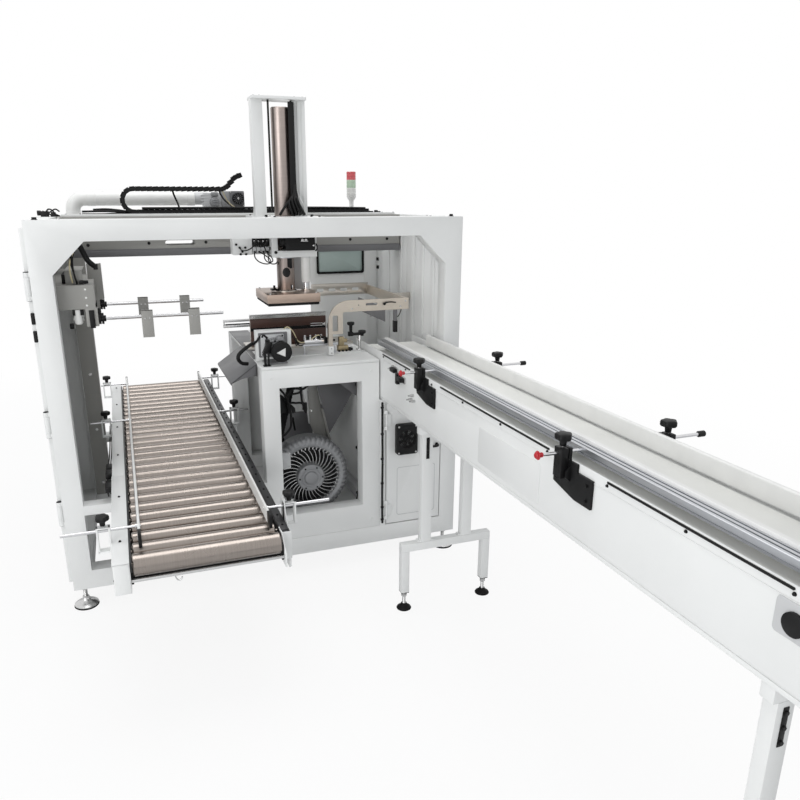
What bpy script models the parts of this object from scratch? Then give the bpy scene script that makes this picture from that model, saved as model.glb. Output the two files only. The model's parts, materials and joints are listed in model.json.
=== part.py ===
"""Case packing machine: a vacuum head on a top gantry lifts packs from an infeed belt into
cases that stand on a roller conveyor.

Metres, +Z up. The machine frame's front left corner on the floor is the modelling origin: X runs
right along the front, Y runs back. One empty then moves everything so that the world's origin
is under the front left levelling foot.
"""

import math

import bmesh
import bpy
from mathutils import Matrix, Vector

# Widths across the front, from the left: case lane, cabinet, door bay
TUBE = 0.08
LANE_BAY = 0.777
CABINET_WIDTH = 0.544
DOOR_BAY = 0.319
CABINET_LEFT = TUBE + LANE_BAY
CABINET_RIGHT = CABINET_LEFT + CABINET_WIDTH
FRAME_WIDTH = CABINET_RIGHT + DOOR_BAY + TUBE
FRAME_DEPTH = 1.05

# Heights of the working levels
TABLE_HEIGHT = 1.015
HEADROOM = 0.625
FRAME_HEIGHT = TABLE_HEIGHT + HEADROOM
RAIL_TOP = 0.590

# Welded frame of square tube
BASE_LIFT = 0.097
BASE_BEAM = 0.085
GUSSET = 0.125
SIDE_POST_BACK = 0.40
CROSS_BEAM_DEPTH = 0.063
CROSS_BEAM_HEIGHT = 0.041
SEAM = 0.0003
SHEET = 0.004

# Levelling feet
FOOT_RADIUS = 0.052
FOOT_PAD = 0.012
FOOT_CONE = 0.022
FOOT_STEM = 0.009

# Cabinet under the table
CABINET_POST = 0.080
CABINET_SILL = 0.305
CABINET_APRON = 0.097
CABINET_BACK = FRAME_DEPTH - 0.10
TABLE_THICK = 0.012
CABINET_FLOOR = 0.235
CABINET_FLOOR_THICK = 0.02

# Side channel blower on the cabinet floor
BLOWER_X = CABINET_LEFT + 0.233
BLOWER_FRONT = 0.12
BLOWER_RADIUS = 0.195
BLOWER_WIDTH = 0.12
BLOWER_HUB = 0.070
BLOWER_MOTOR = 0.085
BLOWER_MOTOR_LENGTH = 0.17
BLOWER_BOX_LOW = 0.060
BLOWER_BOX_TOP = 0.140
BLOWER_STUB_REACH = 0.125
HOSE_RADIUS = 0.019
BLOWER_STUB = BLOWER_RADIUS - HOSE_RADIUS

# Infeed belt conveyor along Y
INFEED_GAP = 0.006
INFEED_WIDTH = 0.303
INFEED_LEFT = CABINET_RIGHT + INFEED_GAP
INFEED_RIGHT = INFEED_LEFT + INFEED_WIDTH
INFEED_FRONT = -2.30
INFEED_BACK = 0.36
BELT_OVER_TABLE = 0.015
BELT_TOP = TABLE_HEIGHT + BELT_OVER_TABLE
BELT_THICK = 0.004
BELT_MARGIN = 0.0255
BELT_LEFT = INFEED_LEFT + BELT_MARGIN
BELT_RIGHT = INFEED_RIGHT - BELT_MARGIN
BELT_DRUM_RADIUS = 0.046
BELT_END_INSET = 0.04
SIDE_PLATE_LIP = 0.020
SIDE_PLATE_TOP = BELT_TOP + SIDE_PLATE_LIP
SIDE_PLATE_HEIGHT = 0.221
INFEED_BOTTOM = SIDE_PLATE_TOP - SIDE_PLATE_HEIGHT
INFEED_PAD = 0.040
GUIDE_HEIGHT = 0.058
GUIDE_TOP = BELT_TOP + GUIDE_HEIGHT
GUIDE_FRONT_INSET = 0.02
GUIDE_BACK = 0.14
NEAR_GUIDE_LEFT = INFEED_LEFT + 0.034
NEAR_GUIDE_RIGHT = INFEED_LEFT + 0.092
FAR_GUIDE_LEFT = INFEED_RIGHT - 0.020
FAR_GUIDE_RIGHT = INFEED_RIGHT - 0.006
GUIDE_RUNNING_GAP = 0.006
CLAMP_PLACES = (INFEED_BACK - 0.86, INFEED_FRONT + 0.81)
CLAMP_ROD_RADIUS = 0.005
CLAMP_ROD_DROP = 0.020
CLAMP_ROD_HEIGHT = GUIDE_TOP - CLAMP_ROD_DROP
NEAR_ROD_END = INFEED_LEFT - 0.104
FAR_ROD_END = INFEED_RIGHT + 0.152
ROD_CAP_RADIUS = 0.009
ROD_CAP_LENGTH = 0.024
CLAMP_BODY = 0.034
KNOB_RADIUS = 0.023
KNOB_HEIGHT = 0.020
KNOB_STEM = 0.010
KNOB_LIFT = 0.055
KNOB_TOP = CLAMP_ROD_HEIGHT + KNOB_LIFT

# Stands under the infeed conveyor
STAND_PLACES = (INFEED_BACK - 0.834, INFEED_FRONT + 0.10)
STAND_LEFT = INFEED_LEFT - 0.074
STAND_RIGHT = INFEED_RIGHT + 0.041
STAND_TUBE = 0.036
STAND_BAR_TOP = 0.312
STAND_POST_WIDTH = 0.046
STAND_POST_LEFT = INFEED_LEFT + 0.013
STAND_POST_RIGHT = INFEED_RIGHT - 0.100

# Wall panels and the front door
WALL_SHEET = 0.012
WALL_INSET = 0.015
REAR_WALL_LEFT = CABINET_RIGHT - 0.071
WINDOW_LEFT = REAR_WALL_LEFT + 0.046
WINDOW_WIDTH = 0.264
WINDOW_TOP = FRAME_HEIGHT - 0.171
WINDOW_HEIGHT = 0.151
DOOR_HEADROOM = 0.027
DOOR_TOP = INFEED_BOTTOM - DOOR_HEADROOM
DOOR_THICK = 0.018
DOOR_GAP = 0.005
JAMB = 0.030
HEADER = 0.020
DOOR_HINGE_RADIUS = 0.006
HANDLE_LENGTH = 0.054
HANDLE_DROP = 0.231
FAN_WIDTH = 0.105
FAN_HEIGHT = 0.149
FAN_DEPTH = 0.030
FAN_INSET = 0.043
FAN_DROP = 0.105
CABLE_RADIUS = 0.005
SIDE_DOOR_THICK = 0.016
SIDE_DOOR_MARGIN = 0.030
SIDE_HINGE_RADIUS = 0.011
SIDE_HINGE_LENGTH = 0.070
SIDE_HINGE_HEIGHTS = (0.455, 0.845, 1.396)
HINGE_EYE = 0.018

# Roller conveyor that carries the cases through the frame
RAIL_LEFT = TUBE + 0.125
RAIL_WIDTH = 0.052
RAIL_HEIGHT = 0.109
RAIL_FRONT = -0.80
RAIL_BACK = FRAME_DEPTH + 0.61
RIGHT_RAIL_WIDTH = 0.034
RIGHT_RAIL_LEFT = CABINET_LEFT - 0.089
ROLLER_RADIUS = 0.032
ROLLER_PITCH = 0.088
ROLLER_PROUD = 0.008
ROLLER_TOP = RAIL_TOP + ROLLER_PROUD
ROLLER_STRIP = 0.008
DRUM_RADIUS = 0.038
DRUM_PLACE = RAIL_FRONT + 0.045
ROLLER_FIRST = RAIL_FRONT + 0.128
ROLLER_COUNT = int((RAIL_BACK - ROLLER_RADIUS - ROLLER_FIRST) / ROLLER_PITCH) + 1
ROLLER_SIDES = 12

# Guides that line the cases up
CASE_GUIDE_LEFT = RAIL_LEFT + 0.092
CASE_GUIDE_RIGHT = RIGHT_RAIL_LEFT - 0.033
CASE_GUIDE_THICK = 0.008
CASE_GUIDE_LIFT = 0.016
CASE_GUIDE_HEIGHT = 0.050
CASE_GUIDE_BOTTOM = RAIL_TOP + CASE_GUIDE_LIFT
CASE_GUIDE_TOP = CASE_GUIDE_BOTTOM + CASE_GUIDE_HEIGHT
CASE_GUIDE_FRONT = RAIL_FRONT + 0.09
CASE_GUIDE_BACK = RAIL_BACK - 0.06
CASE_ROD_RISE = 0.031
CASE_ROD_HEIGHT = CASE_GUIDE_BOTTOM + CASE_ROD_RISE
CASE_ROD_RADIUS = 0.0055
CASE_ROD_PLACES = (RAIL_FRONT + 0.18, RAIL_BACK - 0.96, RAIL_BACK - 0.16)
LEFT_ROD_REACHES = (0.159, 0.098, 0.058)
RIGHT_ROD_REACHES = (0.176, 0.098, 0.098)
FORK_WIDTH = 0.030
FORK_PLATE = 0.006
FORK_REACH = 0.046
FORK_SEAT = 0.030
FORK_HEAD = 0.015
ROD_FIT = 0.0004
FORK_TOP = CASE_ROD_HEIGHT + FORK_HEAD
CASE_KNOB_LIFT = 0.042
CASE_KNOB_TOP = FORK_TOP + CASE_KNOB_LIFT

# Unit that holds the flaps of the case
FLAP_ROD_DROP = 0.390
FLAP_ROD_HEIGHT = FRAME_HEIGHT - FLAP_ROD_DROP
UNIT_COLUMN_WIDTH = 0.080
UNIT_COLUMN_DEPTH = 0.09
UNIT_BEAM_LEFT = 0.020
UNIT_BEAM_RIGHT = 0.140
UNIT_BOTTOM = FLAP_ROD_HEIGHT + 0.042
UNIT_HEIGHT = 0.097
UNIT_TOP = UNIT_BOTTOM + UNIT_HEIGHT
UNIT_BOX_RIGHT = 0.218
UNIT_BOX_FRONT = 0.085
UNIT_BOX_BACK = 0.575
FLAP_ROD_PLACES = (0.10, 0.54)
FLAP_ROD_RADIUS = 0.007
FLAP_ROD_ENDS = (CABINET_LEFT - 0.133, CABINET_LEFT - 0.167)
FLAP_BLOCK_WIDTH = 0.046
FLAP_BLOCK_DEPTH = 0.040
FLAP_BLOCK_DROP = 0.028
FLAP_PLATE_WIDTH = 0.046
FLAP_PLATE_LEFTS = (0.389, 0.579)
FLAP_PLATE_RISE = 0.026
FLAP_PLATE_DROPS = (0.087, 0.060)
FLAP_PLATE_THICK = 0.004

# Gantry on top
FRONT_GANTRY_DEPTH = 0.060
REAR_GANTRY_FRONT = 0.58
REAR_GANTRY_DEPTH = 0.13
REAR_GANTRY_HEIGHT = 0.18
SLOT_LEFT = 0.539
SLOT_LENGTH = 0.137
SLOT_DROP = 0.111
SLOT_HEIGHT = 0.021
COVER_STRIP_PLACE = REAR_GANTRY_FRONT + 0.02
COVER_STRIP_WIDTH = 0.020
COVER_STRIP_HEIGHT = 0.010
SLIDE_RAIL_WIDTH = 0.020
SLIDE_RAIL_DEPTH = 0.018
SLIDE_RAIL_DROP = 0.052
SLIDE_PLAY = 0.0004
SLIDE_BLOCK_GAP = 0.006
SLIDE_BLOCK_DEPTH = 0.030
SLIDE_BLOCK_LENGTH = 0.080
SLIDE_BLOCK_DROP = 0.070

# Lift column, ram and vacuum head
HEAD_CENTRE_X = CABINET_LEFT + 0.201
HEAD_CENTRE_Y = 0.348
HEAD_LEFT_REACH = 0.117
HEAD_RIGHT_REACH = 0.130
HEAD_FRONT_REACH = 0.132
HEAD_BACK_REACH = 0.162
HEAD_LIFT = 0.285
HEAD_TOP = TABLE_HEIGHT + HEAD_LIFT
HEAD_THICK = 0.041
PAD_THICK = 0.0125
RAM_RADIUS = 0.041
RAM_TOP = FRAME_HEIGHT + 0.46
RAM_CLEARANCE = 0.006
RAM_FIT = 0.0004
GUIDE_ROD_OFFSET = 0.097
GUIDE_ROD_RADIUS = 0.022
GUIDE_ROD_TOP = FRAME_HEIGHT - 0.126
CARRIAGE_LEFT = HEAD_CENTRE_X - 0.138
CARRIAGE_RIGHT = HEAD_CENTRE_X + 0.142
CARRIAGE_PLATE = 0.014
COLUMN_TOP = RAM_TOP + 0.04
COLUMN_PLATE_LEFT = HEAD_CENTRE_X - 0.133
COLUMN_PLATE_WIDTH = 0.052
COLUMN_PLATE_DEPTH = 0.045
COLUMN_BOX_LEFT = HEAD_CENTRE_X + 0.048
COLUMN_BOX_WIDTH = 0.062
COLUMN_BOX_DEPTH = 0.070
COLUMN_CAP = 0.012
HANGER_LEFT = HEAD_CENTRE_X - 0.077
HANGER_RIGHT = HEAD_CENTRE_X + 0.134
HANGER_PLATE = 0.008
HANGER_BAR = 0.028
BUSH_DROP = 0.180
BUSH_BOTTOM = FRAME_HEIGHT - BUSH_DROP
BUSH_HEIGHT = 0.030
BUSH_FRONT_REACH = 0.078
BUSH_BACK_REACH = 0.059
BRAKE_LEFT = HEAD_CENTRE_X - 0.041
BRAKE_RIGHT = HEAD_CENTRE_X + 0.120
BRAKE_FRONT = HEAD_CENTRE_Y - 0.100
BRAKE_DEPTH = 0.051
BRAKE_HEIGHT = 0.074
VALVES_WIDTH = 0.168
VALVES_RISE = 0.012
VALVES_HEIGHT = 0.073

# Drag chain in its tray
CHAIN_TRAY_FRONT = REAR_GANTRY_FRONT + 0.07
CHAIN_TRAY_WIDTH = 0.050
CHAIN_TRAY_LEFT = 0.40
CHAIN_TRAY_RIGHT = FRAME_WIDTH - 0.20
CHAIN_TRAY_THICK = 0.006
CHAIN_THICK = 0.022
CHAIN_WIDTH = 0.040
CHAIN_BEND_X = CHAIN_TRAY_LEFT + 0.02
CHAIN_END = CARRIAGE_LEFT
CHAIN_RISE_START = CHAIN_END - 0.09
CHAIN_BEND_RADIUS = 0.052
CHAIN_RISE = 0.062
CHAIN_FOOT_RIGHT = CHAIN_TRAY_RIGHT - 0.025

# Duct, its fan drive and the signal light on the rear beam
DUCT_X = 0.135
DUCT_RADIUS = 0.036
DUCT_LIFT = 0.078
DUCT_HEIGHT = FRAME_HEIGHT + DUCT_LIFT
DUCT_END = 0.730
DUCT_BEND = 0.055
DRIVE_LEFT = DUCT_END + 0.012
DRIVE_WIDTH = 0.243
DRIVE_HEIGHT = 0.116
LIGHT_X = FRAME_WIDTH - 0.206
LIGHT_RADIUS = 0.026
LIGHT_STEM_RADIUS = 0.012
LIGHT_STEM = 0.060
LIGHT_HEIGHT = 0.162

# Transfer lane on the table
LANE_LEFT = CABINET_LEFT + 0.013
LANE_RIGHT = CABINET_RIGHT - 0.005
LANE_FRONT = 0.185
LANE_BACK = 0.540
LANE_BAR_LEFT = CABINET_LEFT + 0.028
LANE_BAR_RIGHT = CABINET_RIGHT - 0.139
LANE_BAR_BACK = 0.410
LANE_BAR_HEIGHT = 0.171
LANE_BAR_THICK = 0.012
LANE_STOP_WIDTH = 0.172
LANE_STOP_HEIGHT = 0.085
CHUTE_WIDTH = 0.119
CHUTE_DROP = 0.085
CHUTE_FRONT = 0.100
CHUTE_THICK = 0.006

# Guard rail around the pick-up place
GUARD_FRONT = GUIDE_BACK + 0.010
GUARD_BACK = 0.755
GUARD_THICK = 0.008
GUARD_LEFT = CABINET_RIGHT - 0.196
GUARD_RIGHT = INFEED_RIGHT - 0.108
GUARD_HEIGHT = 0.253
GUARD_BAR = 0.053
GUARD_LEG = 0.070
GUARD_FORK_WIDTH = 0.026
GUARD_FORK_HEIGHT = 0.180
GUARD_ARC = 0.100
REAR_GUARD_INSET = 0.075
GUARD_BRACKET_WIDTH = 0.040
SENSOR_INSET = 0.072
SENSOR_WIDTH = 0.020
SENSOR_LIFT = 0.090

# Gearmotor on the table
GEARBOX_LEFT = CABINET_LEFT + 0.005
GEARBOX_WIDTH = 0.138
GEARBOX_FRONT = 0.055
GEARBOX_DEPTH = 0.110
GEARBOX_HEIGHT = 0.140
MOTOR_RADIUS = 0.045
MOTOR_LENGTH = 0.055
MOTOR_OFFSET = 0.093
MOTOR_LIFT = 0.057

FOOT_INSET = TUBE / 2
MACHINE_AT = Vector((-FOOT_INSET, -FOOT_INSET, 0.0))
ROUND = 24

COLOURS = {
    "white paint": ((0.80, 0.81, 0.80), 0.38, 0.0),
    "grey paint": ((0.42, 0.42, 0.40), 0.45, 0.0),
    "stainless": ((0.62, 0.60, 0.57), 0.32, 1.0),
    "chrome": ((0.80, 0.80, 0.82), 0.15, 1.0),
    "aluminium": ((0.72, 0.73, 0.75), 0.35, 1.0),
    "black plastic": ((0.02, 0.02, 0.02), 0.45, 0.0),
    "black rubber": ((0.03, 0.03, 0.03), 0.80, 0.0),
    "white belt": ((0.86, 0.86, 0.84), 0.55, 0.0),
    "teal glass": ((0.62, 0.74, 0.73), 0.10, 0.0),
    "white plastic": ((0.84, 0.84, 0.83), 0.40, 0.0),
    "brown plastic": ((0.17, 0.08, 0.05), 0.50, 0.0),
}


def clear_scene():
    for old in list(bpy.data.objects):
        bpy.data.objects.remove(old, do_unlink=True)


def material(name):
    found = bpy.data.materials.get(name)
    if found:
        return found
    colour, roughness, metallic = COLOURS[name]
    made = bpy.data.materials.new(name)
    made.use_nodes = True
    shader = made.node_tree.nodes["Principled BSDF"]
    shader.inputs["Base Color"].default_value = (*colour, 1.0)
    shader.inputs["Roughness"].default_value = roughness
    shader.inputs["Metallic"].default_value = metallic
    return made


def mesh_object(name, bm):
    bmesh.ops.recalc_face_normals(bm, faces=bm.faces)
    mesh = bpy.data.meshes.new(name)
    bm.to_mesh(mesh)
    bm.free()
    made = bpy.data.objects.new(name, mesh)
    bpy.context.scene.collection.objects.link(made)
    return made


def box(low, high):
    """A block between two corners."""
    bm = bmesh.new()
    bmesh.ops.create_cube(bm, size=1.0)
    low, high = Vector(low), Vector(high)
    for vertex in bm.verts:
        vertex.co = Vector(a + (b - a) * (c + 0.5) for a, b, c in zip(low, high, vertex.co))
    return mesh_object("block", bm)


def turned(axis, centre, start, end, radius, end_radius=None, sides=ROUND):
    """A cylinder or a cone along "X", "Y" or "Z", from start to end, round a centre."""
    bm = bmesh.new()
    bmesh.ops.create_cone(
        bm,
        cap_ends=True,
        segments=sides,
        radius1=radius,
        radius2=radius if end_radius is None else end_radius,
        depth=end - start,
    )
    turn = {"X": Matrix.Rotation(math.pi / 2, 4, "Y"), "Y": Matrix.Rotation(-math.pi / 2, 4, "X")}
    index = "XYZ".index(axis)
    place = Vector(centre)
    place[index] = (start + end) / 2
    bmesh.ops.transform(bm, matrix=Matrix.Translation(place) @ turn.get(axis, Matrix()), verts=bm.verts)
    made = mesh_object("round", bm)
    made.data.shade_smooth()
    made.data.set_sharp_from_angle(angle=math.radians(40))
    return made


def prism(axis, outline, start, end):
    """An outline extruded along an axis: its points are (Y, Z), (X, Z) or (X, Y)."""
    bm = bmesh.new()
    index = "XYZ".index(axis)
    corners = []
    for first, second in outline:
        point = [first, second]
        point.insert(index, start)
        corners.append(bm.verts.new(point))
    face = bm.faces.new(corners)
    side = bmesh.ops.extrude_face_region(bm, geom=[face])
    moved = [part for part in side["geom"] if isinstance(part, bmesh.types.BMVert)]
    shift = Vector((0, 0, 0))
    shift[index] = end - start
    bmesh.ops.translate(bm, vec=shift, verts=moved)
    return mesh_object("prism", bm)


def arc(centre, radius, start, end, steps=8):
    """Points on a circle between two angles in degrees."""
    angles = [math.radians(start + (end - start) * step / steps) for step in range(steps + 1)]
    return [(centre[0] + radius * math.cos(a), centre[1] + radius * math.sin(a)) for a in angles]


def combine(whole, operation, helpers):
    """Boolean modifiers on a solid, with their operands kept out of the render."""
    for helper in helpers:
        step = whole.modifiers.new(operation.lower(), "BOOLEAN")
        step.operation = operation
        step.solver = "EXACT"
        step.object = helper
        helper.name = "helper of " + whole.name
        helper.hide_render = True
        helper.display_type = "WIRE"
        helper.parent = ROOT


def joined(name, pieces, look, cuts=()):
    """One solid: the first piece with the others added and the cuts taken away."""
    whole = pieces[0]
    whole.name = name
    combine(whole, "UNION", pieces[1:])
    combine(whole, "DIFFERENCE", cuts)
    whole.data.name = name
    whole.data.materials.append(material(look))
    whole.parent = ROOT
    return whole


def portal(name, start, end, beam_back):
    """A front or rear frame with gusseted corners, its cross beam and no loose piece."""
    left, right, top = TUBE, FRAME_WIDTH - TUBE, FRAME_HEIGHT - TUBE
    outer = prism(
        "Y",
        [(0, BASE_LIFT), (FRAME_WIDTH, BASE_LIFT), (FRAME_WIDTH, FRAME_HEIGHT), (0, FRAME_HEIGHT)],
        start,
        end,
    )
    base = BASE_LIFT + BASE_BEAM
    hole = prism(
        "Y",
        [
            (left, base),
            (right, base),
            (right, top - GUSSET),
            (right - GUSSET, top),
            (left + GUSSET, top),
            (left, top - GUSSET),
        ],
        start - TUBE,
        end + TUBE,
    )
    beam_top = RAIL_TOP - RAIL_HEIGHT - SEAM
    beam_start = end - CROSS_BEAM_DEPTH if beam_back else start
    beam_end = FRAME_WIDTH - TUBE / 2 if beam_back else CABINET_LEFT - SEAM
    added = [
        box(
            (TUBE / 2, beam_start, beam_top - CROSS_BEAM_HEIGHT),
            (beam_end, beam_start + CROSS_BEAM_DEPTH, beam_top),
        )
    ]
    if not beam_back:
        axis = side_door_axis()
        for height in SIDE_HINGE_HEIGHTS:
            low, high = height - SIDE_HINGE_LENGTH / 2, height + SIDE_HINGE_LENGTH / 2
            plate_low, plate_high = (axis[0], axis[1] - 0.007), (0.002, axis[1] + 0.001)
            added += hinge_eyes(axis, SIDE_HINGE_RADIUS, low, high, plate_low, plate_high)
    ring = joined(name, [outer], "white paint", cuts=[hole])
    combine(ring, "UNION", added)


def side_beams(left):
    """Top and base beams of one side, as two solids."""
    front, back = TUBE + SEAM, FRAME_DEPTH - TUBE - SEAM
    right = left + TUBE
    return (
        box((left, front, FRAME_HEIGHT - TUBE), (right, back, FRAME_HEIGHT)),
        box((left, front, BASE_LIFT), (right, back, BASE_LIFT + BASE_BEAM)),
    )


def foot(name, x, y):
    cone = turned("Z", (x, y, 0), FOOT_PAD, FOOT_PAD + FOOT_CONE, FOOT_RADIUS * 0.9, FOOT_STEM)
    pad = turned("Z", (x, y, 0), 0, FOOT_PAD + 0.001, FOOT_RADIUS)
    stem = turned("Z", (x, y, 0), FOOT_PAD, BASE_LIFT - SEAM, FOOT_STEM, sides=12)
    joined(name, [pad, cone, stem], "stainless")


def frame():
    portal("front_portal", 0, TUBE, False)
    portal("rear_portal", FRAME_DEPTH - TUBE, FRAME_DEPTH, True)
    for name, beam in zip(("left_top_beam", "left_base_beam"), side_beams(0)):
        joined(name, [beam], "white paint")
    top, base = side_beams(FRAME_WIDTH - TUBE)
    post = box(
        (FRAME_WIDTH - TUBE, SIDE_POST_BACK, BASE_LIFT + 0.01),
        (FRAME_WIDTH, SIDE_POST_BACK + TUBE, FRAME_HEIGHT - 0.01),
    )
    joined("right_side_frame", [top, post, base], "white paint")
    for row, y in (("front", FOOT_INSET), ("rear", FRAME_DEPTH - FOOT_INSET)):
        for side, x in (("left", FOOT_INSET), ("right", FRAME_WIDTH - FOOT_INSET)):
            foot(f"{row}_{side}_foot", x, y)


def walls():
    """Fixed panels of the right side and the back, with the window."""
    base, top = BASE_LIFT + BASE_BEAM + SEAM, FRAME_HEIGHT - TUBE - SEAM
    outer = FRAME_WIDTH - TUBE + WALL_INSET
    post_back = SIDE_POST_BACK + TUBE
    back = FRAME_DEPTH - TUBE - SEAM
    for name, front, end in (
        ("right_front_panel", TUBE + SEAM, SIDE_POST_BACK - SEAM),
        ("right_rear_panel", post_back + SEAM, back),
    ):
        joined(name, [box((outer, front, base), (outer + WALL_SHEET, end, top))], "white paint")
    right = FRAME_WIDTH - TUBE - SEAM
    shape = [
        (CABINET_LEFT, base),
        (right, base),
        (right, top),
        (REAR_WALL_LEFT, top),
        (REAR_WALL_LEFT, TABLE_HEIGHT + SEAM),
        (CABINET_LEFT, TABLE_HEIGHT + SEAM),
    ]
    window = box(
        (WINDOW_LEFT, back - 0.1, WINDOW_TOP - WINDOW_HEIGHT),
        (WINDOW_LEFT + WINDOW_WIDTH, back + 0.1, WINDOW_TOP),
    )
    joined("rear_panel", [prism("Y", shape, back - WALL_SHEET, back)], "white paint", cuts=[window])
    joined(
        "rear_window",
        [
            box(
                (
                    WINDOW_LEFT + SEAM,
                    back - WALL_SHEET * 0.75,
                    WINDOW_TOP - WINDOW_HEIGHT + SEAM,
                ),
                (
                    WINDOW_LEFT + WINDOW_WIDTH - SEAM,
                    back - WALL_SHEET * 0.25,
                    WINDOW_TOP - SEAM,
                ),
            )
        ],
        "teal glass",
    )


def side_door_axis():
    return -SIDE_HINGE_RADIUS - 0.001, SIDE_DOOR_MARGIN - SIDE_HINGE_RADIUS - 0.002


def hinge_eyes(axis, radius, low, high, plate_low, plate_high):
    """Fixed eyes above and below a door's knuckle, each with the plate that carries it."""
    pieces = []
    for start, end in ((low - SEAM - HINGE_EYE, low - SEAM), (high + SEAM, high + SEAM + HINGE_EYE)):
        pieces.append(turned("Z", (*axis, 0), start, end, radius, sides=12))
        pieces.append(box((*plate_low, start + 0.001), (*plate_high, end - 0.001)))
    return pieces


def side_door():
    """Door over the whole left side, hung on its front edge."""
    axis_x, axis_y = side_door_axis()
    leaf = box(
        (-SIDE_DOOR_THICK - 0.002, SIDE_DOOR_MARGIN, BASE_LIFT + SIDE_DOOR_MARGIN),
        (-0.002, FRAME_DEPTH - SIDE_DOOR_MARGIN, FRAME_HEIGHT - SIDE_DOOR_MARGIN),
    )
    knuckles = []
    for height in SIDE_HINGE_HEIGHTS:
        low, high = height - SIDE_HINGE_LENGTH / 2, height + SIDE_HINGE_LENGTH / 2
        knuckles.append(turned("Z", (axis_x, axis_y, 0), low, high, SIDE_HINGE_RADIUS, sides=12))
        knuckles.append(
            box(
                (axis_x - 0.003, axis_y, low + 0.002),
                (axis_x + 0.005, SIDE_DOOR_MARGIN + 0.01, high - 0.002),
            )
        )
    joined("left_side_door", [leaf, *knuckles], "white paint")


def cabinet():
    base = BASE_LIFT + BASE_BEAM + SEAM
    top = TABLE_HEIGHT - TABLE_THICK - SEAM
    rings = []
    for start, end in ((0, CABINET_POST), (CABINET_BACK - CABINET_POST, CABINET_BACK)):
        rings.append(box((CABINET_LEFT, start, base), (CABINET_RIGHT, end, top)))
    side = box(
        (CABINET_RIGHT - SHEET, CABINET_POST / 2, base + 0.002),
        (CABINET_RIGHT - 0.0005, CABINET_BACK - CABINET_POST / 2, top - 0.002),
    )
    opening = box(
        (CABINET_LEFT + CABINET_POST - 0.003, -0.1, CABINET_SILL),
        (CABINET_RIGHT - CABINET_POST - 0.005, CABINET_BACK + 0.1, TABLE_HEIGHT - CABINET_APRON),
    )
    floor = box(
        (CABINET_LEFT + SHEET, CABINET_POST / 2, CABINET_FLOOR - CABINET_FLOOR_THICK),
        (CABINET_RIGHT - SHEET / 2, CABINET_BACK - CABINET_POST / 2, CABINET_FLOOR),
    )
    joined("cabinet_frame", [rings[0], side, floor, rings[1]], "white paint", cuts=[opening])
    joined(
        "table_top",
        [box((CABINET_LEFT, 0, top + SEAM), (CABINET_RIGHT, CABINET_BACK, TABLE_HEIGHT))],
        "white paint",
    )


def blower():
    """Side channel blower on two foot rails, and its hose up to the table."""
    height = CABINET_FLOOR + SEAM + BLOWER_RADIUS + 0.006
    centre = (BLOWER_X, 0, height)
    back = BLOWER_FRONT + BLOWER_WIDTH
    base = CABINET_FLOOR + SEAM
    joined(
        "ring_blower",
        [
            turned("Y", centre, BLOWER_FRONT, back, BLOWER_RADIUS, sides=32),
            turned("Y", centre, BLOWER_FRONT - 0.025, BLOWER_FRONT + 0.01, BLOWER_HUB),
            turned("Y", centre, back - 0.01, back + BLOWER_MOTOR_LENGTH, BLOWER_MOTOR),
            box(
                (BLOWER_X - 0.11, BLOWER_FRONT + 0.02, base),
                (BLOWER_X + 0.11, back + BLOWER_MOTOR_LENGTH * 0.8, base + 0.05),
            ),
            box(
                (BLOWER_X - 0.155, BLOWER_FRONT - 0.012, height + BLOWER_BOX_LOW),
                (BLOWER_X - 0.095, BLOWER_FRONT + 0.03, height + BLOWER_BOX_TOP),
            ),
            turned(
                "Z",
                (BLOWER_X - BLOWER_STUB_REACH, BLOWER_FRONT + 0.06, 0),
                height,
                height + BLOWER_STUB,
                HOSE_RADIUS + 0.006,
                sides=16,
            ),
        ],
        "grey paint",
    )
    top = TABLE_HEIGHT - TABLE_THICK - 2 * SEAM
    base_x = BLOWER_X - BLOWER_STUB_REACH
    stub = Vector((base_x, BLOWER_FRONT + 0.06, height + BLOWER_STUB + SEAM))
    outlet = Vector((BLOWER_X - 0.02, BLOWER_FRONT + 0.14, top))
    up = Vector((0, 0, 0.02))
    route = [
        stub,
        stub + up,
        stub + 2 * up,
        stub.lerp(outlet, 0.5),
        outlet - 2 * up,
        outlet - up,
        outlet,
    ]
    cord("blower_hose", route, HOSE_RADIUS, "black rubber", steps=3)


def smooth_route(points, steps):
    """Points on a smooth curve that passes through the given ones."""
    ends = [points[0], *points, points[-1]]
    route = []
    for index in range(1, len(ends) - 2):
        before, start, end, after = (Vector(p) for p in ends[index - 1 : index + 3])
        for step in range(steps):
            t = step / steps
            route.append(
                0.5
                * (
                    2 * start
                    + (end - before) * t
                    + (2 * before - 5 * start + 4 * end - after) * t * t
                    + (3 * start - before - 3 * end + after) * t * t * t
                )
            )
    route.append(Vector(points[-1]))
    return route


def cord(name, points, radius, look, steps=4):
    curve = bpy.data.curves.new(name, "CURVE")
    curve.dimensions = "3D"
    curve.bevel_depth = radius
    curve.bevel_resolution = 2
    curve.use_fill_caps = True
    route = smooth_route(points, steps)
    line = curve.splines.new("POLY")
    line.points.add(len(route) - 1)
    for point, place in zip(line.points, route):
        point.co = (*place, 1.0)
    curve.materials.append(material(look))
    made = bpy.data.objects.new(name, curve)
    bpy.context.scene.collection.objects.link(made)
    made.parent = ROOT


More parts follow.
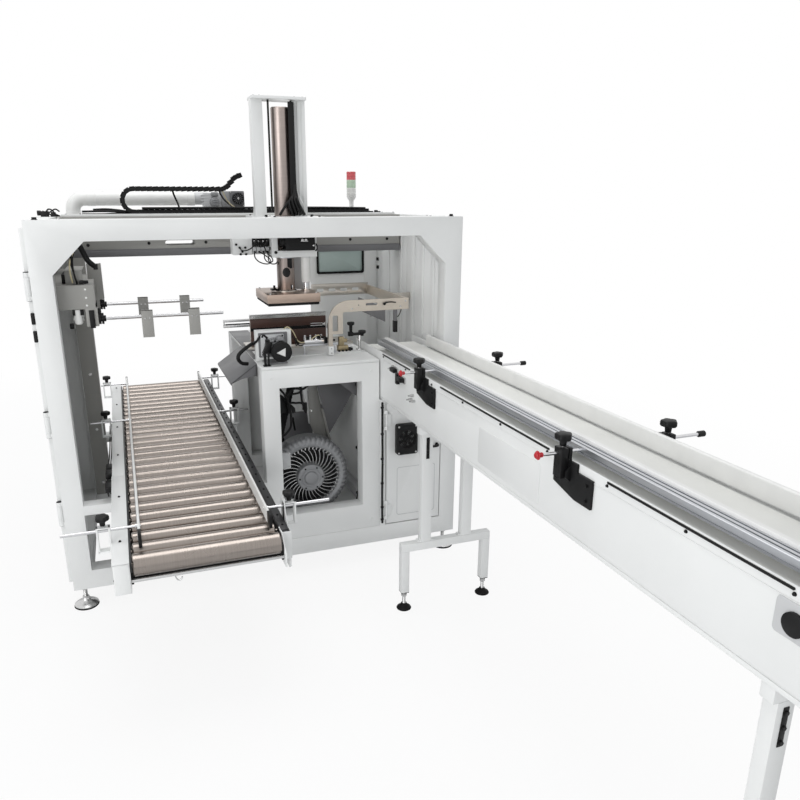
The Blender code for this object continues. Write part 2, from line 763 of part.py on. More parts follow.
def front_door():
    """Hinged door right of the cabinet with its surround, handle, fan and clipped cable."""
    base = BASE_LIFT + BASE_BEAM + SEAM
    left = CABINET_RIGHT + SEAM
    right = FRAME_WIDTH - TUBE - SEAM
    jamb_right = left + JAMB
    leaf_left = jamb_right + DOOR_GAP
    axis = (leaf_left - 0.002, -DOOR_HINGE_RADIUS - 0.001)
    knuckles = [(height - 0.03, height + 0.03) for height in (base + 0.08, DOOR_TOP - 0.08)]
    eyes = []
    for low, high in knuckles:
        plate_low, plate_high = (jamb_right - 0.010, axis[1] - 0.002), (axis[0], 0.002)
        eyes += hinge_eyes(axis, DOOR_HINGE_RADIUS, low, high, plate_low, plate_high)
    joined(
        "door_surround",
        [
            box((left, 0, base), (jamb_right, DOOR_THICK, DOOR_TOP + HEADER)),
            box((left + 0.001, 0, DOOR_TOP + DOOR_GAP), (right, DOOR_THICK, DOOR_TOP + HEADER)),
            *eyes,
        ],
        "white paint",
    )
    leaf_right = FRAME_WIDTH - TUBE - DOOR_GAP
    pieces = [box((leaf_left, 0, base + DOOR_GAP), (leaf_right, DOOR_THICK, DOOR_TOP))]
    for low, high in knuckles:
        pieces.append(turned("Z", (*axis, 0), low, high, DOOR_HINGE_RADIUS, sides=12))
        pieces.append(
            box((axis[0], axis[1] - 0.002, low + 0.002), (leaf_left + 0.02, 0.002, high - 0.002))
        )
    joined("front_door", pieces, "white paint")
    handle_right = leaf_right - 0.012
    handle_height = DOOR_TOP - HANDLE_DROP
    fan_left, fan_top = leaf_left + FAN_INSET, DOOR_TOP - FAN_DROP
    joined(
        "door_handle",
        [
            turned(
                "X",
                (0, -0.026, handle_height),
                handle_right - HANDLE_LENGTH,
                handle_right,
                0.007,
                sides=12,
            ),
            box(
                (handle_right - 0.016, -0.026, handle_height - 0.006),
                (handle_right - 0.004, -SEAM, handle_height + 0.006),
            ),
            box(
                (handle_right - HANDLE_LENGTH + 0.004, -0.026, handle_height - 0.006),
                (handle_right - HANDLE_LENGTH + 0.016, -SEAM, handle_height + 0.006),
            ),
        ],
        "black plastic",
    )
    joined(
        "door_fan",
        [
            box(
                (fan_left, -FAN_DEPTH, fan_top - FAN_HEIGHT),
                (fan_left + FAN_WIDTH, -SEAM, fan_top),
            )
        ],
        "black plastic",
    )
    cable_x = left + JAMB * 0.4
    cable_y = -CABLE_RADIUS - SEAM
    cord(
        "door_cable",
        [
            (cable_x, cable_y, DOOR_TOP + HEADER - 0.01),
            (cable_x, cable_y, DOOR_TOP - 0.1),
            (cable_x, cable_y, (base + DOOR_TOP) / 2),
            (cable_x, cable_y, base + 0.1),
            (cable_x, cable_y, base + 0.012),
        ],
        CABLE_RADIUS,
        "black plastic",
    )


def knob(x, y, top, bottom):
    """Star knob on its stem, as two round solids."""
    return [
        turned("Z", (x, y, 0), top - KNOB_HEIGHT, top, KNOB_RADIUS, sides=16),
        turned("Z", (x, y, 0), bottom, top - KNOB_HEIGHT / 2, KNOB_STEM, sides=12),
    ]


def belt_ends():
    """Places of the end drums' centres along Y."""
    inset = BELT_END_INSET + BELT_DRUM_RADIUS
    return INFEED_FRONT + inset, INFEED_BACK - inset


def infeed_frame():
    """Two side plates joined by the slider bed and the end drums that the belt runs round."""
    drums = []
    for y in belt_ends():
        centre = (0, y, BELT_TOP - BELT_THICK - BELT_DRUM_RADIUS)
        shell = (BELT_LEFT + 0.002, BELT_RIGHT - 0.002)
        axle = (INFEED_LEFT + SHEET / 2, INFEED_RIGHT - SHEET / 2)
        drums.append(turned("X", centre, *shell, BELT_DRUM_RADIUS - 2 * SEAM))
        drums.append(turned("X", centre, *axle, 0.010, sides=12))
    bed_low = BELT_TOP - BELT_THICK - 2 * BELT_DRUM_RADIUS + SEAM
    bed_high = BELT_TOP - BELT_THICK - SEAM
    front = INFEED_FRONT + BELT_END_INSET + BELT_DRUM_RADIUS * 2 + 0.02
    back = INFEED_BACK - BELT_END_INSET - BELT_DRUM_RADIUS * 2 - 0.02
    joined(
        "infeed_frame",
        [
            box(
                (INFEED_LEFT, INFEED_FRONT, INFEED_BOTTOM),
                (INFEED_LEFT + SHEET, INFEED_BACK, SIDE_PLATE_TOP),
            ),
            box((INFEED_LEFT + SHEET / 2, front, bed_low), (INFEED_RIGHT - SHEET / 2, back, bed_high)),
            box(
                (INFEED_RIGHT - SHEET, INFEED_FRONT, INFEED_BOTTOM),
                (INFEED_RIGHT, INFEED_BACK, SIDE_PLATE_TOP),
            ),
            *[
                box(
                    (CABINET_RIGHT + SEAM, y, INFEED_BOTTOM + 0.02),
                    (INFEED_LEFT + SHEET / 2, y + INFEED_PAD, INFEED_BOTTOM + 0.02 + 2 * INFEED_PAD),
                )
                for y in (CABINET_POST / 4, INFEED_BACK - 2 * INFEED_PAD)
            ],
            *drums,
        ],
        "white paint",
    )


def loop_outline(front, back, centre, radius):
    """A flat loop round two end drums, seen from the side."""
    return arc((back, centre), radius, -90, 90, 14) + arc((front, centre), radius, 90, 270, 14)


def infeed_belt():
    centre = BELT_TOP - BELT_THICK - BELT_DRUM_RADIUS
    front, back = belt_ends()
    outer = loop_outline(front, back, centre, BELT_DRUM_RADIUS + BELT_THICK)
    inner = loop_outline(front, back, centre, BELT_DRUM_RADIUS)
    joined(
        "infeed_belt",
        [prism("X", outer, BELT_LEFT, BELT_RIGHT)],
        "white belt",
        cuts=[prism("X", inner, BELT_LEFT - 0.1, BELT_RIGHT + 0.1)],
    )


def infeed_guides():
    """Guides on both sides of the belt with their clamp rods and the clamps."""
    low = BELT_TOP + GUIDE_RUNNING_GAP
    front, back = INFEED_FRONT + GUIDE_FRONT_INSET, GUIDE_BACK
    step = NEAR_GUIDE_LEFT + (NEAR_GUIDE_RIGHT - NEAR_GUIDE_LEFT) * 0.6
    near = prism(
        "Y",
        [
            (step, low),
            (NEAR_GUIDE_RIGHT, low),
            (NEAR_GUIDE_RIGHT, GUIDE_TOP),
            (step, GUIDE_TOP),
            (step, CLAMP_ROD_HEIGHT + 0.012),
            (NEAR_GUIDE_LEFT, CLAMP_ROD_HEIGHT + 0.012),
            (NEAR_GUIDE_LEFT, SIDE_PLATE_TOP + GUIDE_RUNNING_GAP),
            (step, SIDE_PLATE_TOP + GUIDE_RUNNING_GAP),
        ],
        front,
        back,
    )
    far = box((FAR_GUIDE_LEFT, front, low), (FAR_GUIDE_RIGHT, back, GUIDE_TOP))
    for name, guide, look, inner, end in (
        ("near_guide", near, "aluminium", NEAR_GUIDE_LEFT + 0.01, NEAR_ROD_END),
        ("far_guide", far, "white plastic", FAR_GUIDE_RIGHT - 0.004, FAR_ROD_END),
    ):
        pieces = [guide]
        toward = 1 if end > inner else -1
        for y in CLAMP_PLACES:
            centre = (0, y, CLAMP_ROD_HEIGHT)
            rod_end = end - toward * 0.002
            cap_start = end - toward * ROD_CAP_LENGTH
            pieces.append(
                turned("X", centre, min(inner, rod_end), max(inner, rod_end), CLAMP_ROD_RADIUS, sides=12)
            )
            pieces.append(
                turned("X", centre, min(cap_start, end), max(cap_start, end), ROD_CAP_RADIUS, sides=12)
            )
        joined(name, pieces, look)


def infeed_clamps():
    """Cast brackets on the side plates, each with a star knob over the rod it clamps."""
    for row, y in enumerate(CLAMP_PLACES, start=1):
        for side, face, toward in (("near", INFEED_LEFT, -1), ("far", INFEED_RIGHT, 1)):
            seat = face + toward * SEAM
            outer = seat + toward * 0.008
            body_outer = seat + toward * CLAMP_BODY
            plate = prism(
                "X",
                [
                    (y + 0.052, SIDE_PLATE_TOP),
                    (y + 0.052, SIDE_PLATE_TOP - 0.081),
                    (y - 0.048, SIDE_PLATE_TOP - 0.103),
                    (y - 0.120, SIDE_PLATE_TOP - 0.103),
                    (y - 0.120, SIDE_PLATE_TOP - 0.024),
                    (y - 0.052, SIDE_PLATE_TOP - 0.024),
                    (y - 0.052, SIDE_PLATE_TOP),
                ],
                min(seat, outer),
                max(seat, outer),
            )
            body = box(
                (min(seat, body_outer), y - 0.018, SIDE_PLATE_TOP - 0.05),
                (max(seat, body_outer), y + 0.018, CLAMP_ROD_HEIGHT + 0.014),
            )
            x = seat + toward * (CLAMP_BODY - 0.014)
            hole = turned(
                "X",
                (0, y, CLAMP_ROD_HEIGHT),
                min(seat, body_outer) - 0.05,
                max(seat, body_outer) + 0.05,
                CLAMP_ROD_RADIUS + ROD_FIT,
                sides=12,
            )
            pieces = [plate, body, *knob(x, y, KNOB_TOP, CLAMP_ROD_HEIGHT + 0.008)]
            joined(f"{side}_clamp_{row}", pieces, "black plastic", cuts=[hole])


def infeed_stand(name, y):
    """One trestle: two legs, the cross bar, two posts and the levelling pads, in one weldment."""
    back = y + STAND_TUBE
    bar_low = STAND_BAR_TOP - STAND_TUBE
    middle = y + STAND_TUBE / 2
    leg_low = FOOT_PAD + 0.070
    pieces = [box((STAND_LEFT, y, bar_low), (STAND_RIGHT, back, STAND_BAR_TOP))]
    for x in (STAND_LEFT, STAND_RIGHT - STAND_TUBE):
        centre = (x + STAND_TUBE / 2, middle, 0)
        pieces.append(box((x, y, leg_low), (x + STAND_TUBE, back, bar_low + 0.004)))
        pieces.append(turned("Z", centre, FOOT_PAD, leg_low + 0.01, FOOT_STEM, sides=12))
        pieces.append(turned("Z", centre, 0, FOOT_PAD + 0.001, STAND_TUBE * 0.9))
    for x in (STAND_POST_LEFT, STAND_POST_RIGHT):
        pieces.append(box((x, y, bar_low + 0.004), (x + STAND_POST_WIDTH, back, INFEED_BOTTOM - 0.002)))
    head_low = INFEED_BOTTOM - STAND_TUBE
    pieces.append(
        box((INFEED_LEFT, y + 0.001, head_low), (INFEED_RIGHT, back - 0.001, INFEED_BOTTOM - SEAM))
    )
    joined(name, pieces, "white paint")


def fork_bracket(face, toward, y):
    """Two-pronged bracket beside a rail: the rod runs through both prongs under a knob."""
    reach = face + toward * FORK_REACH
    pieces = [
        box(
            (min(face - toward * 0.002, reach), y - FORK_WIDTH / 2, RAIL_TOP - FORK_SEAT),
            (max(face - toward * 0.002, reach), y + FORK_WIDTH / 2, RAIL_TOP - FORK_SEAT + FORK_PLATE),
        )
    ]
    for start in (face + toward * 0.0005, reach - toward * FORK_PLATE):
        end = start + toward * FORK_PLATE
        pieces.append(
            box(
                (min(start, end), y - FORK_WIDTH / 2, RAIL_TOP - FORK_SEAT),
                (max(start, end), y + FORK_WIDTH / 2, FORK_TOP),
            )
        )
    bridge = (face + toward * 0.0005, reach)
    pieces.append(
        box(
            (min(bridge), y - FORK_WIDTH / 2, FORK_TOP - 0.004),
            (max(bridge), y + FORK_WIDTH / 2, FORK_TOP),
        )
    )
    pieces += knob(face + toward * FORK_REACH / 2, y, CASE_KNOB_TOP, FORK_TOP - 0.002)
    hole = turned(
        "X",
        (0, y, CASE_ROD_HEIGHT),
        min(face, reach) - 0.02,
        max(face, reach) + 0.02,
        CASE_ROD_RADIUS + ROD_FIT,
        sides=12,
    )
    return pieces, hole


def roller_conveyor():
    low = RAIL_TOP - RAIL_HEIGHT
    right_end = RIGHT_RAIL_LEFT + RIGHT_RAIL_WIDTH
    for name, left, right, face, toward in (
        ("left_roller_rail", RAIL_LEFT, RAIL_LEFT + RAIL_WIDTH, RAIL_LEFT, -1),
        ("right_roller_rail", RIGHT_RAIL_LEFT, right_end, right_end, 1),
    ):
        pieces = [box((left, RAIL_FRONT, low), (right, RAIL_BACK, RAIL_TOP))]
        holes = []
        for y in CASE_ROD_PLACES:
            bracket, hole = fork_bracket(face, toward, y)
            pieces += bracket
            holes.append(hole)
        joined(name, pieces, "white paint", cuts=holes)
    inner_left = RAIL_LEFT + RAIL_WIDTH + SEAM
    inner_right = RIGHT_RAIL_LEFT - SEAM
    axis_height = ROLLER_TOP - ROLLER_RADIUS
    strips = []
    for x in (inner_left, inner_right - ROLLER_STRIP):
        strips.append(
            box(
                (x, DRUM_PLACE - 0.02, axis_height - 0.028),
                (x + ROLLER_STRIP, RAIL_BACK, axis_height + 0.014),
            )
        )
    rollers = [
        turned(
            "X",
            (0, ROLLER_FIRST + index * ROLLER_PITCH, axis_height),
            inner_left + ROLLER_STRIP / 2,
            inner_right - ROLLER_STRIP / 2,
            ROLLER_RADIUS,
            sides=ROLLER_SIDES,
        )
        for index in range(ROLLER_COUNT)
    ]
    drum = turned(
        "X",
        (0, DRUM_PLACE, ROLLER_TOP - DRUM_RADIUS),
        inner_left + ROLLER_STRIP / 2,
        inner_right - ROLLER_STRIP / 2,
        DRUM_RADIUS,
        sides=16,
    )
    joined("roller_bed", [strips[0], drum, *rollers, strips[1]], "chrome")


def case_guides():
    right_face = RIGHT_RAIL_LEFT + RIGHT_RAIL_WIDTH
    for name, x, face, reaches, toward in (
        ("left_case_guide", CASE_GUIDE_LEFT, RAIL_LEFT, LEFT_ROD_REACHES, -1),
        ("right_case_guide", CASE_GUIDE_RIGHT, right_face, RIGHT_ROD_REACHES, 1),
    ):
        half = CASE_GUIDE_THICK / 2
        pieces = [
            box(
                (x - half, CASE_GUIDE_FRONT, CASE_GUIDE_BOTTOM),
                (x + half, CASE_GUIDE_BACK, CASE_GUIDE_TOP),
            ),
            box(
                (x - half - 0.002, CASE_GUIDE_FRONT - 0.022, CASE_GUIDE_BOTTOM - 0.002),
                (x + half + 0.002, CASE_GUIDE_FRONT + 0.004, CASE_GUIDE_TOP + 0.002),
            ),
        ]
        for y, reach in zip(CASE_ROD_PLACES, reaches):
            start, end = x - toward * 0.001, face + toward * reach
            pieces.append(
                turned(
                    "X",
                    (0, y, CASE_ROD_HEIGHT),
                    min(start, end),
                    max(start, end),
                    CASE_ROD_RADIUS,
                    sides=12,
                )
            )
        joined(name, pieces, "white plastic")


def flap_unit():
    """Column, beam and box on the left that hold the two rods with flap plates."""
    base = BASE_LIFT + BASE_BEAM + SEAM
    column_left = TUBE + 0.005
    back = FRAME_DEPTH - TUBE - SEAM
    column_front = back - UNIT_COLUMN_DEPTH
    lip = 0.002
    pieces = [
        box(
            (UNIT_BEAM_LEFT, TUBE + SEAM, UNIT_BOTTOM),
            (UNIT_BEAM_RIGHT, column_front + lip, UNIT_TOP),
        ),
        box(
            (column_left, column_front, base),
            (column_left + UNIT_COLUMN_WIDTH, back, UNIT_TOP + 0.06),
        ),
        box(
            (UNIT_BEAM_RIGHT - lip, UNIT_BOX_FRONT, UNIT_BOTTOM + lip),
            (UNIT_BOX_RIGHT, UNIT_BOX_BACK, UNIT_TOP - lip),
        ),
        box(
            (UNIT_BOX_RIGHT - 0.028, 0.35, UNIT_BOTTOM + 2 * lip),
            (UNIT_BOX_RIGHT + 0.030, 0.40, UNIT_TOP + 0.062),
        ),
    ]
    for y in FLAP_ROD_PLACES:
        pieces.append(
            box(
                (
                    UNIT_BOX_RIGHT - FLAP_BLOCK_WIDTH + 0.006,
                    y - FLAP_BLOCK_DEPTH / 2,
                    FLAP_ROD_HEIGHT - FLAP_BLOCK_DROP,
                ),
                (UNIT_BOX_RIGHT + 0.006, y + FLAP_BLOCK_DEPTH / 2, UNIT_BOTTOM + 3 * lip),
            )
        )
    joined("flap_unit", pieces, "grey paint")
    for name, y, end, drop in zip(
        ("front_flap_rod", "rear_flap_rod"), FLAP_ROD_PLACES, FLAP_ROD_ENDS, FLAP_PLATE_DROPS
    ):
        pieces = [
            turned(
                "X",
                (0, y, FLAP_ROD_HEIGHT),
                UNIT_BOX_RIGHT + 0.006 + SEAM,
                end,
                FLAP_ROD_RADIUS,
                sides=16,
            )
        ]
        face = y - FLAP_ROD_RADIUS - 0.001
        for left in FLAP_PLATE_LEFTS:
            pieces.append(
                box(
                    (left, face, FLAP_ROD_HEIGHT - drop),
                    (
                        left + FLAP_PLATE_WIDTH,
                        face + FLAP_PLATE_THICK,
                        FLAP_ROD_HEIGHT + FLAP_PLATE_RISE,
                    ),
                )
            )
            pieces.append(
                box(
                    (left + 0.008, face + 0.001, FLAP_ROD_HEIGHT - 0.012),
                    (left + FLAP_PLATE_WIDTH - 0.008, y + 0.012, FLAP_ROD_HEIGHT + 0.012),
                )
            )
        joined(name, pieces, "chrome")


def gantry():
    left, right = TUBE + SEAM, FRAME_WIDTH - TUBE - SEAM
    front_start = TUBE + SEAM
    front_back = front_start + FRONT_GANTRY_DEPTH
    rail_top = FRAME_HEIGHT - SLIDE_RAIL_DROP + SLIDE_RAIL_WIDTH
    rail_low = FRAME_HEIGHT - SLIDE_RAIL_DROP
    joined(
        "front_gantry_beam",
        [
            box((left, front_start, FRAME_HEIGHT - TUBE), (right, front_back, FRAME_HEIGHT)),
            box((left + 0.02, front_back - 0.002, rail_low), (right - 0.02, front_back + SLIDE_RAIL_DEPTH, rail_top)),
        ],
        "white paint",
    )
    slot_top = FRAME_HEIGHT - SLOT_DROP
    slot = box(
        (SLOT_LEFT, REAR_GANTRY_FRONT - 0.1, slot_top - SLOT_HEIGHT),
        (SLOT_LEFT + SLOT_LENGTH, REAR_GANTRY_FRONT + REAR_GANTRY_DEPTH + 0.1, slot_top),
    )
    tray_low = FRAME_HEIGHT - 0.002
    rear_rail = REAR_GANTRY_FRONT - SLIDE_RAIL_DEPTH
    joined(
        "rear_gantry_beam",
        [
            box(
                (left, REAR_GANTRY_FRONT, FRAME_HEIGHT - REAR_GANTRY_HEIGHT),
                (right, REAR_GANTRY_FRONT + REAR_GANTRY_DEPTH, FRAME_HEIGHT),
            ),
            box((left + 0.02, rear_rail, rail_low), (right - 0.02, REAR_GANTRY_FRONT + 0.002, rail_top)),
            box(
                (left + 0.02, COVER_STRIP_PLACE, tray_low),
                (right - 0.02, COVER_STRIP_PLACE + COVER_STRIP_WIDTH, FRAME_HEIGHT + COVER_STRIP_HEIGHT),
            ),
            box(
                (CHAIN_TRAY_LEFT, CHAIN_TRAY_FRONT, tray_low),
                (
                    CHAIN_TRAY_RIGHT,
                    CHAIN_TRAY_FRONT + CHAIN_TRAY_WIDTH,
                    FRAME_HEIGHT + CHAIN_TRAY_THICK,
                ),
            ),
        ],
        "white paint",
        cuts=[slot],
    )


def carriage():
    """Plate between the beams on four slide blocks, with the lift columns and the guide block."""
    low = FRAME_HEIGHT - CARRIAGE_PLATE
    front = TUBE + SEAM + FRONT_GANTRY_DEPTH + SLIDE_BLOCK_GAP
    back = REAR_GANTRY_FRONT - SLIDE_BLOCK_GAP
    pieces = [box((CARRIAGE_LEFT, front, low), (CARRIAGE_RIGHT, back, FRAME_HEIGHT))]
    grooves = []
    block_low = FRAME_HEIGHT - SLIDE_BLOCK_DROP
    rail_low = FRAME_HEIGHT - SLIDE_RAIL_DROP
    reach = SLIDE_RAIL_DEPTH + SLIDE_PLAY
    for y, start, end in (
        (front, front - SLIDE_BLOCK_GAP - 0.01, front - SLIDE_BLOCK_GAP + reach),
        (back - SLIDE_BLOCK_DEPTH, back + SLIDE_BLOCK_GAP - reach, back + SLIDE_BLOCK_GAP + 0.01),
    ):
        for x in (CARRIAGE_LEFT, CARRIAGE_RIGHT - SLIDE_BLOCK_LENGTH):
            pieces.append(
                box(
                    (x + 0.001, y + 0.001, block_low),
                    (x + SLIDE_BLOCK_LENGTH - 0.001, y + SLIDE_BLOCK_DEPTH - 0.001, low + 0.002),
                )
            )
        grooves.append(
            box(
                (CARRIAGE_LEFT - 0.1, start, rail_low - SLIDE_PLAY),
                (CARRIAGE_RIGHT + 0.1, end, rail_low + SLIDE_RAIL_WIDTH + SLIDE_PLAY),
            )
        )
    ram_hole = RAM_RADIUS + RAM_CLEARANCE
    for x, radius in (
        (HEAD_CENTRE_X, ram_hole),
        (HEAD_CENTRE_X + GUIDE_ROD_OFFSET, GUIDE_ROD_RADIUS + RAM_CLEARANCE),
    ):
        grooves.append(turned("Z", (x, HEAD_CENTRE_Y, 0), low - 0.1, low + 0.1, radius))
    joined("carriage_plate", pieces, "white paint", cuts=grooves)

    start = low + CARRIAGE_PLATE + SEAM
    cap_low = COLUMN_TOP - COLUMN_CAP
    column_front = HEAD_CENTRE_Y - COLUMN_PLATE_DEPTH / 2
    box_front = HEAD_CENTRE_Y - 0.02
    box_right = COLUMN_BOX_LEFT + COLUMN_BOX_WIDTH
    cap = box(
        (COLUMN_PLATE_LEFT, HEAD_CENTRE_Y - 0.055, cap_low),
        (box_right, box_front + COLUMN_BOX_DEPTH + 0.006, COLUMN_TOP),
    )
    joined(
        "lift_column",
        [
            cap,
            box(
                (COLUMN_PLATE_LEFT + 0.001, column_front, start),
                (
                    COLUMN_PLATE_LEFT + COLUMN_PLATE_WIDTH,
                    column_front + COLUMN_PLATE_DEPTH,
                    cap_low + 0.002,
                ),
            ),
            box(
                (COLUMN_BOX_LEFT, box_front, start),
                (box_right - 0.001, box_front + COLUMN_BOX_DEPTH, cap_low + 0.002),
            ),
        ],
        "white paint",
        cuts=[turned("Z", (HEAD_CENTRE_X, HEAD_CENTRE_Y, 0), cap_low - 0.05, COLUMN_TOP + 0.05, ram_hole)],
    )

    top = low - SEAM
    bush_front = HEAD_CENTRE_Y - BUSH_FRONT_REACH
    bush_back = HEAD_CENTRE_Y + BUSH_BACK_REACH
    block = box((HANGER_LEFT, bush_front, BUSH_BOTTOM), (HANGER_RIGHT, bush_back, BUSH_BOTTOM + BUSH_HEIGHT))
    pieces = [block]
    for x, width in (
        (HANGER_LEFT + 0.001, HANGER_BAR - 0.001),
        (HANGER_RIGHT - HANGER_PLATE - 0.001, HANGER_PLATE),
    ):
        pieces.append(
            box((x, bush_front + 0.001, BUSH_BOTTOM + 0.002), (x + width, bush_back - 0.01, top))
        )
    holes = [
        turned("Z", (HEAD_CENTRE_X + offset, HEAD_CENTRE_Y, 0), BUSH_BOTTOM - 0.05, top + 0.05, radius)
        for offset, radius in (
            (0, RAM_RADIUS + RAM_FIT),
            (GUIDE_ROD_OFFSET, GUIDE_ROD_RADIUS + RAM_FIT),
        )
    ]
    joined("ram_guide", pieces, "stainless", cuts=holes)
    joined(
        "carriage_brake",
        [
            box(
                (BRAKE_LEFT, BRAKE_FRONT, BUSH_BOTTOM + BUSH_HEIGHT + SEAM),
                (BRAKE_RIGHT, BRAKE_FRONT + BRAKE_DEPTH, BUSH_BOTTOM + BUSH_HEIGHT + BRAKE_HEIGHT),
            )
        ],
        "black plastic",
    )
    joined(
        "carriage_valves",
        [
            box(
                (HANGER_LEFT - VALVES_WIDTH, HEAD_CENTRE_Y - 0.035, BUSH_BOTTOM + VALVES_RISE),
                (
                    HANGER_LEFT - SEAM,
                    HEAD_CENTRE_Y + 0.045,
                    BUSH_BOTTOM + VALVES_RISE + VALVES_HEIGHT,
                ),
            )
        ],
        "grey paint",
    )


def vacuum_head():
    """Ram and guide rod fixed on the head plate, with the foam pad under it."""
    left, right = HEAD_CENTRE_X - HEAD_LEFT_REACH, HEAD_CENTRE_X + HEAD_RIGHT_REACH
    front, back = HEAD_CENTRE_Y - HEAD_FRONT_REACH, HEAD_CENTRE_Y + HEAD_BACK_REACH
    rod_x = HEAD_CENTRE_X + GUIDE_ROD_OFFSET
    low = HEAD_TOP - HEAD_THICK
    joined(
        "vacuum_head",
        [
            box((left, front, low), (right, back, HEAD_TOP)),
            turned("Z", (HEAD_CENTRE_X, HEAD_CENTRE_Y, 0), HEAD_TOP - 0.01, RAM_TOP, RAM_RADIUS),
            turned("Z", (rod_x, HEAD_CENTRE_Y, 0), HEAD_TOP - 0.012, GUIDE_ROD_TOP, GUIDE_ROD_RADIUS),
        ],
        "stainless",
    )
    joined(
        "head_pad",
        [
            box(
                (left + 0.004, front + 0.004, low - PAD_THICK),
                (right - 0.004, back - 0.004, low - SEAM),
            )
        ],
        "black rubber",
    )


def drag_chain():
    """Cable carrier: a band that runs in the tray, turns over and climbs to the carriage."""
    half = CHAIN_THICK / 2
    low = FRAME_HEIGHT + CHAIN_TRAY_THICK + SEAM + half
    centre = (CHAIN_BEND_X, low + CHAIN_BEND_RADIUS)
    high = low + 2 * CHAIN_BEND_RADIUS
    climb = (CHAIN_END - CHAIN_RISE_START) / 2
    path = [(CHAIN_FOOT_RIGHT, low)]
    path += arc(centre, CHAIN_BEND_RADIUS, 270, 90, 10)
    path += [
        (CHAIN_RISE_START, high),
        (CHAIN_RISE_START + climb * 0.5, high + CHAIN_RISE * 0.15),
        (CHAIN_RISE_START + climb * 1.4, high + CHAIN_RISE * 0.85),
        (CHAIN_END, high + CHAIN_RISE),
    ]
    points = [Vector((x, z)) for x, z in path]
    left_side, right_side = [], []
    for index, point in enumerate(points):
        before = points[max(index - 1, 0)]
        after = points[min(index + 1, len(points) - 1)]
        along = (after - before).normalized()
        across = Vector((-along.y, along.x)) * half
        left_side.append(tuple(point + across))
        right_side.append(tuple(point - across))
    outline = left_side + right_side[::-1]
    front = CHAIN_TRAY_FRONT + (CHAIN_TRAY_WIDTH - CHAIN_WIDTH) / 2
    joined("drag_chain", [prism("Y", outline, front, front + CHAIN_WIDTH)], "black plastic")


def rear_top_units():
    """Duct with its fan drive and the signal light, all on the rear beam."""
    y = FRAME_DEPTH - TUBE / 2
    seat = FRAME_HEIGHT + SEAM
    bend = DUCT_BEND
    curve = bpy.data.curves.new("duct_pipe", "CURVE")
    curve.dimensions = "3D"
    curve.bevel_depth = DUCT_RADIUS
    curve.bevel_resolution = 3
    curve.use_fill_caps = True
    turn = arc((DUCT_X + bend, DUCT_HEIGHT - bend), bend, 180, 90, 6)
    path = [(DUCT_X, seat), *turn, (DUCT_END, DUCT_HEIGHT)]
    line = curve.splines.new("POLY")
    line.points.add(len(path) - 1)
    for point, (x, z) in zip(line.points, path):
        point.co = (x, y, z, 1.0)
    curve.materials.append(material("white plastic"))
    pipe = bpy.data.objects.new("duct_pipe", curve)
    bpy.context.scene.collection.objects.link(pipe)
    pipe.parent = ROOT
    drive_right, drive_top = DRIVE_LEFT + DRIVE_WIDTH, FRAME_HEIGHT + DRIVE_HEIGHT
    middle = (DRIVE_LEFT + drive_right) / 2
    joined(
        "duct_fan_drive",
        [
            box((DRIVE_LEFT + 0.03, y - 0.035, seat), (middle + 0.01, y + 0.035, drive_top - 0.008)),
            turned("X", (0, y, DUCT_HEIGHT), DUCT_END + SEAM, middle, 0.032),
            box((middle, y - 0.036, seat), (drive_right, y + 0.036, drive_top)),
            turned(
                "Y",
                (drive_right - 0.036, 0, DUCT_HEIGHT),
                y - 0.075,
                y,
                0.029,
            ),
        ],
        "aluminium",
    )
    stem_top = FRAME_HEIGHT + LIGHT_STEM
    joined(
        "signal_light",
        [
            turned("Z", (LIGHT_X, y, 0), seat, seat + 0.012, LIGHT_RADIUS * 1.2),
            turned("Z", (LIGHT_X, y, 0), seat + 0.006, stem_top, LIGHT_STEM_RADIUS, sides=12),
            turned("Z", (LIGHT_X, y, 0), stem_top - 0.012, stem_top + LIGHT_HEIGHT, LIGHT_RADIUS),
        ],
        "white plastic",
    )


def transfer_lane():
    """Steel floor on the table with its rear bar, front stop and the chute to the cases."""
    low = TABLE_HEIGHT + SEAM
    joined(
        "transfer_lane",
        [
            box((LANE_LEFT, LANE_FRONT, low), (LANE_RIGHT, LANE_BACK, BELT_TOP)),
            box(
                (LANE_BAR_LEFT, LANE_BAR_BACK - LANE_BAR_THICK, BELT_TOP - 0.002),
                (LANE_BAR_RIGHT, LANE_BAR_BACK, TABLE_HEIGHT + LANE_BAR_HEIGHT),
            ),
            box(
                (LANE_BAR_RIGHT - LANE_STOP_WIDTH, LANE_FRONT + 0.01, BELT_TOP - 0.002),
                (LANE_BAR_RIGHT, LANE_FRONT + 0.025, TABLE_HEIGHT + LANE_STOP_HEIGHT),
            ),
        ],
        "stainless",
    )
    right, top = CABINET_LEFT - SEAM, TABLE_HEIGHT
    left = right - CHUTE_WIDTH
    joined(
        "transfer_chute",
        [
            prism(
                "Y",
                [
                    (right, top - 0.06),
                    (right, top),
                    (left, top - CHUTE_DROP),
                    (left, top - CHUTE_DROP - CHUTE_THICK),
                    (right - CHUTE_THICK, top - CHUTE_THICK * 1.5),
                    (right - CHUTE_THICK, top - 0.06),
                ],
                CHUTE_FRONT,
                LANE_BACK,
            )
        ],
        "stainless",
    )


